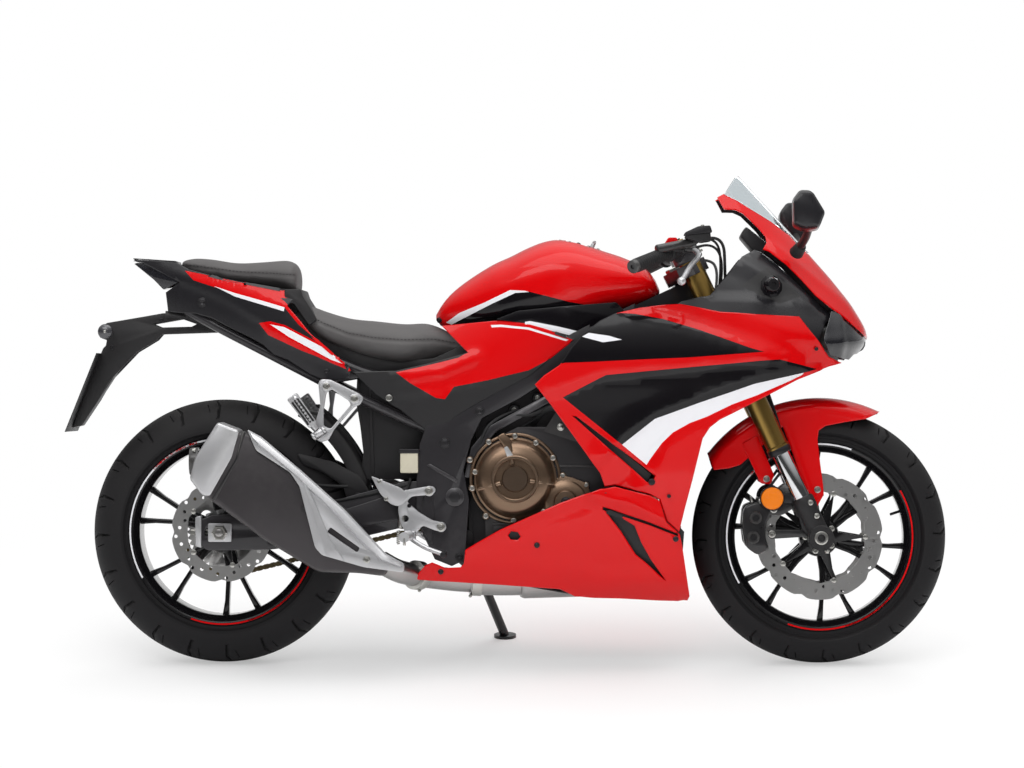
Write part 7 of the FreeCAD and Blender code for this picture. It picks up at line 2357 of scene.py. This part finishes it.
    def covers(self) -> None:
        """Make the bronze covers with their rings, ribs and bolts."""
        b = self.bench
        main = (694, 439)
        clutch = self.round_cover(main, -1, [(0, 34), (46, 34), (47, 36), (47, 42), (49, 44), (53, 44),
                                             (55, 42), (56, 36), (72, 33), (82, 26), (88, 14), (92, 8),
                                             (96, 7), (97, 5), (97, 0), (0, 0)], "bronze_cast")
        eye = self.round_cover(main, -1, [(0, 40), (28, 40), (31, 37), (31, 33), (0, 33)], "bronze_dark")
        parts = [clutch, eye]
        for turn in (100, 196, 352):
            t = math.radians(turn)
            a = Vector((main[0] + 34 * math.cos(t), -184, main[1] + 34 * math.sin(t)))
            c = Vector((main[0] + 90 * math.cos(t), -168, main[1] + 90 * math.sin(t)))
            parts.append(b.paint(b.bar(a, c, 6.0, 4.5, 1.0, 16), "bronze_cast"))
        spout = rounded(((664, 520), (652, 538), (668, 548), (684, 530), (690, 500), (676, 496)), 5.0)
        parts.append(b.paint(b.plate(spout, -182, -160, 3.0), "bronze_cast"))
        clip = rounded(((676, 490), (668, 512), (676, 516), (690, 494)), 3.0)
        parts.append(b.paint(b.plate(clip, -187, -180, 1.0), "silver_cast"))
        second = (812, 386)
        pump = self.round_cover(second, -1, [(0, 26), (24, 26), (26, 24), (28, 18), (44, 16), (50, 12),
                                             (56, 4), (58, 3), (58, 0), (0, 0)], "bronze_cast")
        parts.append(pump)
        parts += self.bolt((812, -172, 386), (0, -1, 0), 8.0, "bolt_black", hexagon=True)
        ring_bolts = ((588, 483), (593, 417), (625, 352), (632, 525), (693, 539), (742, 523), (782, 488),
                      (805, 446), (859, 424), (690, 341), (760, 362), (600, 455))
        for x, z in ring_bolts:
            boss = b.bar((x, -CASE_HALF, z), (x, -CASE_HALF - 10, z), 9.0, 7.5, 1.5, 18)
            parts.append(b.paint(boss, "bronze_cast"))
            parts += self.bolt((x, -155, z), (0, -1, 0), 4.2, "bolt_zinc", hexagon=True, height=3.5)
        rim = [(main[0] + 104 * math.cos(math.tau * k / 40), -149,
                main[1] + 104 * math.sin(math.tau * k / 40))
               for k in range(41)]
        parts.append(b.paint(b.tube(rim, 4.0), "bronze_cast"))
        link = rounded(((770, 400), (800, 450), (862, 430), (872, 400), (850, 350), (790, 340)), 14.0)
        parts.append(b.paint(b.plate(link, -158, -145, 3.0), "bronze_cast"))
        generator = self.round_cover((810, 404), 1, [(0, 34), (52, 34), (60, 31), (66, 24), (74, 20),
                                                     (82, 8), (86, 4), (86, 0), (0, 0)], "bronze_cast")
        cap = self.round_cover((810, 404), 1, [(0, 37), (14, 37), (16, 34), (0, 34)], "bolt_black")
        parts += [generator, cap]
        for k in range(8):
            t = math.tau * (k + 0.3) / 8
            parts += self.bolt((810 + 80 * math.cos(t), 154, 404 + 80 * math.sin(t)), (0, 1, 0), 4.2,
                               "bolt_zinc", hexagon=True)
        guard = rounded(((616, 350), (692, 350), (694, 474), (640, 478), (612, 430)), 12.0)
        parts.append(b.paint(b.plate(guard, 122, 150, 6.0), "engine_dark"))
        for x, z in ((632, 366), (678, 366), (682, 456), (640, 460)):
            parts += self.bolt((x, 149, z), (0, 1, 0), 4.2, "bolt_zinc", hexagon=True)
        b.park("engine_side_covers", parts, "chassis", ["engine_covers"])

    def cooler(self) -> None:
        """Make the radiator: core, tanks, cap, fan and hoses."""
        b = self.bench
        turn = Matrix.Translation((1084, 0, 545)) @ Matrix.Rotation(math.radians(12), 4, "Y")
        core = b.plate(((-11, -120), (-11, 120), (11, 120), (11, -120)), -146, 146, 0.8)
        parts = [b.paint(b.move(core, turn), "core_fins")]
        for k in range(20):
            z = -114 + 12 * k
            row = b.plate(((10.5, z), (10.5, z + 2), (12.6, z + 2), (12.6, z)), -146, 146, 0.0)
            parts.append(b.paint(b.move(row, turn), "satin_steel"))
        for side in (-1, 1):
            tank = b.plate(rounded(((-14, -130), (-14, 130), (14, 130), (14, -130)), 5.0), side * 144,
                           side * 160, 3.0)
            parts.append(b.paint(b.move(tank, turn), "black_plastic"))
        for z in (-130, 118):
            beam = b.plate(rounded(((-14, z), (-14, z + 14), (14, z + 14), (14, z)), 4.0), -158, 158, 2.0)
            parts.append(b.paint(b.move(beam, turn), "black_plastic"))
        shroud = b.lathe([(96, -16), (104, -16), (104, -40), (96, -40), (96, -16)], (0, 0), 48)
        shroud = b.move(shroud, Matrix.Rotation(math.radians(90), 4, "Z"))
        hub = b.bar((-18, 0, 0), (-44, 0, 0), 22.0, round_by=3.0)
        parts += [b.paint(b.move(o, turn), "black_plastic") for o in (shroud, hub)]
        for k in range(7):
            t = math.tau * k / 7
            blade = b.raw([(-24, 20 * math.cos(t), 20 * math.sin(t)),
                           (-36, 20 * math.cos(t + 0.4), 20 * math.sin(t + 0.4)),
                           (-36, 92 * math.cos(t + 0.5), 92 * math.sin(t + 0.5)),
                           (-24, 92 * math.cos(t), 92 * math.sin(t))],
                          [(0, 1, 2, 3)])
            b.modify(blade, "SOLIDIFY", thickness=2.0, offset=0.0)
            parts.append(b.paint(b.move(blade, turn), "black_plastic"))
        lines = [([(1106, -150, 655), (1080, -156, 690), (1030, -140, 700), (990, -120, 705)], 13.0),
                 ([(1060, 150, 425), (1010, 156, 400), (940, 158, 395), (880, 156, 400)], 13.0)]
        parts += [b.paint(b.tube(points, radius), "rubber_black") for points, radius in lines]
        parts.append(b.paint(b.bar((1108, -120, 668), (1111, -120, 684), 16.0, round_by=3.0), "satin_steel"))
        for side in (-1, 1):
            stay = rounded(((1078, 640), (1076, 766), (1094, 768), (1097, 640)), 4.0)
            parts.append(b.paint(b.plate(stay, side * 27, side * 39, 2.0), "frame_black"))
        b.park("radiator_unit", parts, "chassis", ["radiator"])

    def hangers(self) -> None:
        """Make the rider peg hangers with heel guards, pegs and pedals."""
        b = self.bench
        guard = rounded(((356, 446), (372, 440), (428, 417), (446, 398), (436, 384), (420, 374), (402, 380),
                         (378, 404)), 6.0)
        arm = rounded(((424, 402), (434, 412), (486, 421), (504, 421), (509, 411), (500, 402), (452, 398),
                       (440, 386), (470, 360), (500, 342), (528, 336), (534, 325), (526, 315), (508, 318),
                       (478, 330), (462, 312), (446, 306), (434, 318), (424, 342), (420, 366)), 6.0)
        parts = [b.paint(b.plate(guard, -161, -155, 2.0), "silver_cast"),
                 b.paint(b.plate(arm, -160, -148, 3.0, [circle((437, 346), 8.0), circle((446, 376), 5.0)]),
                         "silver_cast")]
        for x, z in ((492, 410), (520, 326)):
            parts.append(b.paint(b.bar((x, -138, z), (x, -150, z), 12.0), "silver_cast"))
            parts += self.bolt((x, -160, z), (0, -1, 0), 7.0)
        for x, z in ((376, 432), (392, 392)):
            parts += self.bolt((x, -161, z), (0, -1, 0), 3.6, "bolt_zinc", height=1.6)
        peg_profile = [(0, 0), (12, 0), (12, 0.06), *ribs(9, 0.1, 0.092, 11.5, 9.6, (0.05, 0.058, 0.08)),
                       (12, 0.95), (12, 1.0), (0, 1.0)]
        peg = b.turned(peg_profile, Vector((447, -166, 307)), Vector((440, -282, 307)), 20)
        knuckle = b.plate(rounded(((434, 298), (434, 318), (462, 318), (462, 296)), 5.0), -170, -152, 3.0)
        feeler = b.bar((441, -279, 306), (441, -279, 288), 3.5)
        parts += [b.paint(peg, "silver_cast"), b.paint(knuckle, "silver_cast"), b.paint(feeler, "bolt_zinc")]
        pedal = [(450, -168, 300), (470, -172, 286), (500, -178, 272), (528, -186, 264)]
        parts.append(b.paint(b.tube(pedal, 5.5), "silver_cast"))
        parts.append(b.paint(b.bar((528, -184, 264), (528, -222, 264), 7.5, round_by=2.0), "bolt_black"))
        coil = []
        for k in range(60):
            t = math.tau * k / 8
            coil.append((420 + 4 * math.cos(t), -150 + 4 * math.sin(t), 318 - 0.55 * k))
        twins = [b.mirrored(o) for o in parts]
        right = [b.paint(b.tube(coil, 1.0, 1), "bolt_zinc")]
        right.append(b.paint(b.bar((424, -150, 322), (430, -150, 352), 8.0, round_by=2.0), "bolt_zinc"))
        right.append(b.paint(b.tube([(430, -150, 352), (436, -140, 400), (448, -136, 440)], 3.0),
                             "rubber_black"))
        pot = b.plate(rounded(((424, 452), (424, 503), (466, 503), (466, 452)), 4.0), -146, -118, 4.0)
        lid = b.plate(rounded(((421, 498), (421, 508), (469, 508), (469, 498)), 3.0), -148, -116, 2.0)
        right += [b.paint(pot, "reservoir"), b.paint(lid, "bolt_black")]
        left = [b.paint(b.tube([(528, 186, 270), (560, 180, 300), (590, 160, 330), (600, 156, 350)], 4.0),
                        "bolt_zinc")]
        b.park("rider_peg_hangers", [*parts, *twins, *right, *left], "chassis", ["peg_hangers"])

    def pillion(self) -> None:
        """Make the pillion brackets and their folding pegs."""
        b = self.bench
        outline = rounded(((233, 664), (240, 672), (262, 671), (330, 638), (340, 628), (332, 612),
                           (316, 606), (272, 556), (258, 530), (238, 524), (222, 536), (226, 570),
                           (238, 610)), 5.0)
        hole = rounded(((252, 640), (264, 648), (304, 622), (310, 612), (262, 556), (246, 562),
                        (246, 600)), 5.0)
        plate = b.paint(b.plate(outline, -160, -150, 2.5, [hole]), "silver_cast")
        parts = [plate]
        for x, z in ((253, 655), (318, 626)):
            ring = b.bar((x, -159, z), (x, -163, z), 12.0, round_by=1.5, steps=24)
            parts += [b.paint(ring, "silver_cast"), *self.bolt((x, -162, z), (0, -1, 0), 6.0)]
            parts.append(b.paint(b.bar((x, -108, z), (x, -151, z), 9.0), "silver_cast"))
        way = Vector((math.sin(math.radians(56)), 0, math.cos(math.radians(56))))
        pivot = Vector((236, -176, 545))
        for sign in (1, -1):
            near, far = pivot + way * (11 * sign), pivot + way * (17 * sign)
            parts.append(b.paint(b.bar(near, far, 10.0, steps=24), "silver_cast"))
            slab = b.plate(((-3, -9.5), (-3, 9.5), (3, 9.5), (3, -9.5)), -158, -176, 0.8)
            slab = b.move(slab, Matrix.Translation((pivot + way * (14 * sign)).xz.to_3d().xzy)
                          @ Matrix.Rotation(math.radians(-34), 4, "Y"))
            parts.append(b.paint(slab, "silver_cast"))
        parts.append(b.paint(b.bar(pivot - way * 18.5, pivot + way * 18.5, 4.0), "bolt_zinc"))
        b.park("pillion_bracket_pair", b.both_sides(parts), "chassis", ["pillion_brackets"])
        run = Vector((-math.cos(math.radians(56)), 0, math.sin(math.radians(56))))
        for side, name in ((-1, "right"), (1, "left")):
            place = Vector((236, side * 176, 545))
            eye = b.bar(place - way * 10, place + way * 10, 9.8, steps=24)
            arm_profile = [(0, 0.1), (7, 0.1), (9, 0.2), (9, 0.24),
                           *ribs(8, 0.26, 0.085, 9.2, 7.6, (0.045, 0.052, 0.078)), (9, 0.955), (7.5, 1.0),
                           (0, 1.0)]
            arm = b.turned(arm_profile, place, place + run * 104, 24)
            lean = Matrix.Translation(place) @ Matrix.Rotation(math.radians(-36), 4, "Y")
            tread = b.paint(b.plate(rounded(((-11, 22), (-14, 108), (14, 108), (11, 22)), 5.0), -7, 7, 2.0),
                            "silver_cast")
            strips = [b.paint(b.plate(rounded(((x - 2.5, 30), (x - 2.5, 96), (x + 2.5, 96), (x + 2.5, 30)),
                                              2.0),
                                      side * 6, side * 9, 1.0), "rubber_black") for x in (-7.5, 0.0, 7.5)]
            step = [b.move(part, lean) for part in (tread, *strips)]
            b.park(f"pillion_peg_{name}_ribbed",
                   [b.paint(eye, "silver_cast"), b.paint(arm, "silver_cast"), *step],
                   f"pillion_peg_{name}", [f"pillion_peg_{name}"])

    def stand(self) -> None:
        """Make the side stand: a rounded copy of the imported one."""
        b = self.bench
        parts = [b.paint(b.copy_node("side_stand", 1.0), "steel_black")]
        b.park("side_stand_leg", parts, "side_stand", ["side_stand"])


class RearEnd(Assembly):
    """Exhaust, swingarm, hugger and what sits at the rear axle."""

    def build(self) -> None:
        """Make each piece."""
        self.headers()
        self.muffler()
        self.swingarm()
        self.axle()
        self.caliper()
        self.shock()
        self.hugger()

    def headers(self) -> None:
        """Make the four headers, the collector, the link pipe and their clamps."""
        b = self.bench
        parts = []
        for y in (-75, -25, 25, 75):
            route = [(1010, y, 660), (1036, y, 628), (1048, y, 596), (1044, y, 540), (1022, y, 440),
                     (1004, y, 350), (992, y * 0.92, 280), (966, y * 0.72, 232), (925, y * 0.5, 205)]
            parts.append(b.paint(b.tube(route, 17.0, 5), "header_steel"))
            flange = b.bar((1012, y, 658), (1020, y, 648), 25.0, round_by=2.0, steps=24)
            parts.append(b.paint(flange, "bolt_zinc"))
        main = [(945, 0, 206), (900, -6, 200), (860, -14, 195), (800, -24, 194), (720, -38, 193),
                (650, -50, 192), (585, -60, 195)]
        parts.append(b.paint(b.tube(main, 32.0, 7), "satin_steel"))
        box = b.bar((880, -12, 197), (700, -42, 193), 40.0, round_by=12.0, steps=40)
        parts.append(b.paint(box, "satin_steel"))
        link = [(602, -59, 195), (560, -64, 197), (520, -74, 202), (480, -96, 208), (450, -130, 214),
                (424, -160, 222), (404, -176, 232), (382, -188, 246)]
        parts.append(b.paint(b.tube(link, 27.0, 6), "satin_steel"))
        for start, end in (((588, -60, 195), (612, -57, 194)), ((470, -104, 210), (455, -124, 213))):
            parts.append(b.paint(b.bar(start, end, 34.5, round_by=2.0, steps=36), "bolt_zinc"))
            parts.append(b.paint(b.bar((start[0] - 2, start[1] - 20, start[2] - 34),
                                       (start[0] - 2, start[1] + 20, start[2] - 34), 4.0), "bolt_zinc"))
        b.park("exhaust_pipes", parts, "chassis", ["exhaust_pipe"])

    def muffler(self) -> None:
        """Make the stubby three sided muffler with its end cap, heat shield and outlet."""
        b = self.bench
        body = rounded(((56, 553), (98, 535), (186, 442), (300, 368), (404, 246), (396, 214), (330, 222),
                        (237, 224), (114, 298), (-26, 401), (-22, 430)), 14.0)
        shell = b.paint(b.plate(body, -234, -142, 9.0), "charcoal")
        cap = rounded(((5, 573), (57, 553), (40, 490), (-12, 398), (-32, 402), (-61, 441), (-48, 490)), 8.0)
        end = b.plate(cap, -236, -140, 11.0)
        parts = [shell, b.paint(end, "silver_cast")]
        seam = rounded(((62, 552), (70, 548), (52, 486), (-2, 388), (-10, 394), (46, 488)), 3.0)
        parts.append(b.paint(b.plate(seam, -235, -141, 2.0), "steel_black"))
        shield = rounded(((74, 556), (109, 537), (197, 463), (301, 370), (396, 268), (440, 244), (438, 224),
                          (346, 236), (248, 264), (232, 282), (196, 424), (174, 456), (95, 507)), 7.0)
        slot = rounded(((260, 318), (268, 329), (336, 281), (330, 270)), 4.0)
        face = b.plate(shield, -246, -238, 2.6, [slot])
        parts.append(b.paint(face, "silver_cast"))
        lip = rounded(((258, 262), (254, 276), (204, 428), (212, 432), (268, 300), (300, 250)), 3.0)
        parts.append(b.paint(b.plate(lip, -249, -244, 1.6), "silver_cast"))
        post = b.bar((352, -230, 254), (352, -240, 254), 12.0, round_by=2.0, steps=24)
        parts += [b.paint(post, "bolt_zinc"), *self.bolt((352, -245, 254), (0, -1, 0), 6.0)]
        ridge = (((80, 552), (92, 530)), ((109, 536), (104, 512)), ((197, 462), (187, 444)),
                 ((301, 369), (284, 352)), ((352, 314), (334, 296)), ((396, 267), (382, 252)),
                 ((434, 245), (430, 236)))
        rows = [[(x0, -244.0, z0), (0.7 * x1 + 0.3 * x0, -254.0, 0.7 * z1 + 0.3 * z0), (x1, -244.0, z1)]
                for (x0, z0), (x1, z1) in ridge]
        corners = [c for row in rows for c in row]
        faces = [(3 * i + k, 3 * i + (k + 1) % 3, 3 * i + 3 + (k + 1) % 3, 3 * i + 3 + k)
                 for i in range(len(rows) - 1) for k in range(3)]
        last = 3 * (len(rows) - 1)
        rib = b.raw(corners, [*faces, (0, 1, 2), (last + 2, last + 1, last)])
        b.edit(rib)
        b.close()
        parts.append(b.paint(b.bevel(rib, 1.2), "silver_cast"))
        strip = rounded(((198, 372), (206, 380), (262, 330), (256, 320)), 3.0)
        parts.append(b.paint(b.plate(strip, -240, -232, 1.5), "black_plastic"))
        rim = b.turned([(25, 0), (31, 0), (33, 0.3), (33, 1), (25, 1), (25, 0)], Vector((-64, -188, 480)),
                       Vector((-44, -188, 480)), 40)
        # The outlet is closed by a near black plug: painted shade for the inside of the pipe.
        bore_shade_plug = b.turned([(0, 0.02), (25.4, 0), (25.4, 1), (0, 1)], Vector((-50, -188, 480)),
                        Vector((-40, -188, 480)), 32)
        parts += [b.paint(rim, "steel_black"), b.paint(bore_shade_plug, "groove_black")]
        for k in range(4):
            t = math.tau * (k + 0.5) / 4
            place = (-56, -188 + 38 * math.cos(t), 480 + 38 * math.sin(t))
            parts += self.bolt((place[0] + 6, place[1], place[2]), (-1, 0, 0.1), 3.4)
        b.park("muffler_shell", parts, "chassis", ["muffler"])

    def swingarm(self) -> None:
        """Make the swingarm's two arms with their adjusters, pads and pivot."""
        b = self.bench
        arm = rounded(((566, 426), (540, 434), (434, 432), (293, 394), (120, 358), (-20, 352), (-50, 340),
                       (-54, 290), (-30, 270), (120, 272), (300, 294), (430, 324), (556, 366)), 8.0)
        slot = rounded(((-36, 322), (28, 322), (28, 302), (-36, 302)), 9.0, 6)
        parts = []
        for side in (-1, 1):
            parts.append(b.paint(b.plate(arm, side * 102, side * 129, 6.0, [slot]), "frame_black"))
            recess = rounded(((410, 404), (300, 368), (130, 338), (130, 296), (300, 316), (430, 346)), 10.0)
            parts.append(b.paint(b.plate(recess, side * 128, side * 131, 1.4), "frame_black"))
            cap = rounded(((-58, 348), (-44, 352), (-44, 276), (-58, 280)), 3.0)
            parts.append(b.paint(b.plate(cap, side * 101, side * 130, 2.0), "silver_cast"))
            parts.append(b.paint(b.bar((-56, side * 115, 312), (-70, side * 115, 312), 7.0, round_by=1.0,
                                       steps=6),
                                 "bolt_zinc"))
            block = rounded(((-28, 334), (28, 334), (28, 290), (-28, 290)), 5.0)
            parts.append(b.paint(b.plate(block, side * 128, side * 135, 2.0), "silver_cast"))
            pivot = b.bar((548, side * 98, 396), (548, side * 132, 396), 26.0, round_by=3.0, steps=36)
            parts.append(b.paint(pivot, "frame_black"))
            spool = b.bar((120, side * 128, 290), (120, side * 136, 290), 9.0, round_by=1.0)
            parts.append(b.paint(spool, "bolt_black"))
        cross = rounded(((368, 412), (462, 416), (464, 345), (372, 345)), 14.0)
        parts.append(b.paint(b.plate(cross, -103, 103, 3.0), "frame_black"))
        parts.append(b.paint(b.bar((548, -100, 396), (548, 100, 396), 22.0), "frame_black"))
        glide = rounded(((560, 434), (470, 440), (470, 430), (560, 426)), 2.0)
        parts.append(b.paint(b.plate(glide, 84, 128, 1.5), "rubber_black"))
        guard = rounded(((500, 466), (440, 462), (180, 414), (186, 402), (440, 448), (500, 452)), 4.0)
        parts.append(b.paint(b.plate(guard, 84, 132, 2.0), "black_plastic"))
        line = [(520, -104, 440), (440, -131, 424), (330, -132, 396), (200, -131, 374), (120, -122, 372)]
        parts.append(b.paint(b.tube(line, 3.6), "rubber_black"))
        b.park("swingarm_arms", parts, "chassis", ["swingarm"])

    def axle(self) -> None:
        """Make the rear axle with its nut and collars."""
        b = self.bench
        parts = [b.paint(b.copy_node("rear_axle", 0.6), "satin_steel")]
        nut = b.turned([(8, 0), (19, 0), (19, 0.8), (16, 1), (8, 1), (8, 0)], Vector((0, -135, 312)),
                       Vector((0, -150, 312)), 6)
        head = b.turned([(0, 0), (18, 0), (18, 0.8), (15, 1), (0, 1)], Vector((0, 135, 312)),
                        Vector((0, 146, 312)), 6)
        tip = b.bar((0, -140, 312), (0, -156, 312), 9.0)
        parts += [b.paint(nut, "bolt_zinc"), b.paint(head, "bolt_zinc"), b.paint(tip, "satin_steel")]
        b.park("rear_axle_nut", parts, "chassis", ["rear_axle"])

    def caliper(self) -> None:
        """Make the rear caliper with its pistons, pins, hanger and hose."""
        b = self.bench
        body = rounded(((36, 358), (92, 350), (128, 372), (114, 426), (66, 442), (38, 420)), 12.0)
        inner = rounded(((44, 372), (88, 362), (116, 378), (104, 416), (68, 430), (46, 412)), 10.0)
        bridge = rounded(((96, 399), (116, 380), (128, 384), (112, 424), (72, 437), (60, 428)), 4.0)
        parts = [b.paint(b.plate(body, -118, -95, 5.0), "steel_black"),
                 b.paint(b.plate(inner, -78, -68, 2.5), "steel_black"),
                 b.paint(b.plate(bridge, -97, -74, 2.0), "steel_black")]
        parts.append(b.paint(b.bar((80, -116, 394), (80, -121, 394), 15.0, round_by=2.0), "bolt_black"))
        for x, z in ((54, 420), (112, 384)):
            parts += self.bolt((x, -118, z), (0, -1, 0), 5.0)
        hanger = rounded(((30, 330), (50, 380), (120, 380), (124, 356), (60, 320), (40, 300)), 8.0)
        parts.append(b.paint(b.plate(hanger, -106, -97, 2.0), "steel_black"))
        hose = [(90, -104, 432), (120, -110, 450), (170, -112, 440), (220, -116, 420), (300, -120, 420)]
        parts.append(b.paint(b.tube(hose, 4.0), "rubber_black"))
        b.park("rear_caliper_body", parts, "chassis", ["rear_caliper"])

    def shock(self) -> None:
        """Make the rear shock: damper, coil spring and eyes."""
        b = self.bench
        top, low = Vector((478, 0, 560)), Vector((440, 0, 416))
        run = low - top
        parts = [b.paint(b.bar(top, low, 17.0, round_by=2.0), "bolt_black")]
        for share, radius in ((0.1, 31.0), (0.86, 31.0)):
            parts.append(b.paint(b.bar(top + run * share, top + run * (share + 0.06), radius, round_by=2.0,
                                       steps=36),
                                 "bolt_black"))
        across = Vector((0, 1, 0))
        other = run.normalized().cross(across)
        coil = []
        for k in range(6 * 12 + 1):
            t = math.tau * k / 12
            place = top + run * (0.16 + 0.7 * k / 72)
            coil.append(place + across * (27 * math.cos(t)) + other * (27 * math.sin(t)))
        parts.append(b.paint(b.tube(coil, 5.0, 2), "spring_dark"))
        for place in (top, low):
            parts.append(b.paint(b.bar(place - across * 18, place + across * 18, 16.0, round_by=2.0),
                                 "satin_steel"))
        b.park("rear_shock_spring", parts, "chassis", ["rear_shock"])

    def hugger(self) -> None:
        """Make the hugger: an arch over the tyre with ridges and stays."""
        b = self.bench
        rows, steps = [], 40
        across = [(-79, 8), (-79, 30), (-76, 40), (-66, 45), (-40, 48), (0, 50)]
        across += [(-y, r) for y, r in reversed(across[:-1])]
        for k in range(steps + 1):
            share = k / steps
            t = math.radians(33 + 47 * share)
            tip = min(1.0, share * 5, (1 - share) * 5)
            row = []
            for y, rise in across:
                width = y * (0.9 + 0.1 * tip)
                r = 322 + rise * (0.45 + 0.55 * tip)
                row.append((r * math.sin(t), width, 312 + r * math.cos(t)))
            rows.append(row)
        wide = len(across)
        verts = [p for row in rows for p in row]
        faces = [(i * wide + j, i * wide + j + 1, (i + 1) * wide + j + 1, (i + 1) * wide + j)
                 for i in range(steps) for j in range(wide - 1)]
        arch = b.raw(verts, faces)
        b.edit(arch)
        b.close()
        b.modify(arch, "SOLIDIFY", thickness=4.0, offset=-1.0)
        b.bevel(arch, 1.2)
        parts = [b.paint(arch, "black_plastic")]
        stay = rounded(((176, 498), (262, 478), (330, 442), (352, 402), (330, 372), (300, 372), (286, 420),
                        (240, 452), (190, 470)), 10.0)
        for side in (-1, 1):
            parts.append(b.paint(b.plate(stay, side * 78, side * 84, 2.0), "black_plastic"))
            parts += self.bolt((322, side * 84, 396), (0, side, 0), 6.0, "bolt_black")
            ridge = []
            for k in range(9):
                t = math.radians(36 + 5.2 * k)
                ridge.append((372 * math.sin(t), side * 30, 312 + 370 * math.cos(t)))
            parts.append(b.paint(b.tube(ridge, 3.0), "black_plastic"))
        b.park("rear_hugger_arch", parts, "chassis", ["rear_hugger"])


def note_bounds(notes: list, label: str) -> None:
    """Keep the parts' overall bounds as plain lists."""
    low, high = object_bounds()
    notes.append({"when": label, "low": [round(v, 5) for v in low], "high": [round(v, 5) for v in high]})


def main() -> None:
    """Build the motorcycle's looks and its studio."""
    logging.basicConfig(level=logging.INFO, format="%(message)s")
    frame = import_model()
    notes: list[dict] = []
    note_bounds(notes, "after load")
    bench = Bench(frame)
    palette = Palette()
    bench.finishes = {finish.name: palette.material(finish) for finish in FINISHES}
    for obj in frame["nodes"].values():
        bench.paint(obj, "black_plastic")
    for assembly in (Fairing, Tank, Seats, Tail, RunningGear, FrontEnd, Cockpit, Chassis, RearEnd):
        LOG.info("== %s", assembly.__name__)
        assembly(bench).build()
    Studio().build(bench.parked)
    note_bounds(notes, "before finish")
    LOG.info("%d pieces made", bench.made)


if __name__ == "__main__":
    main()
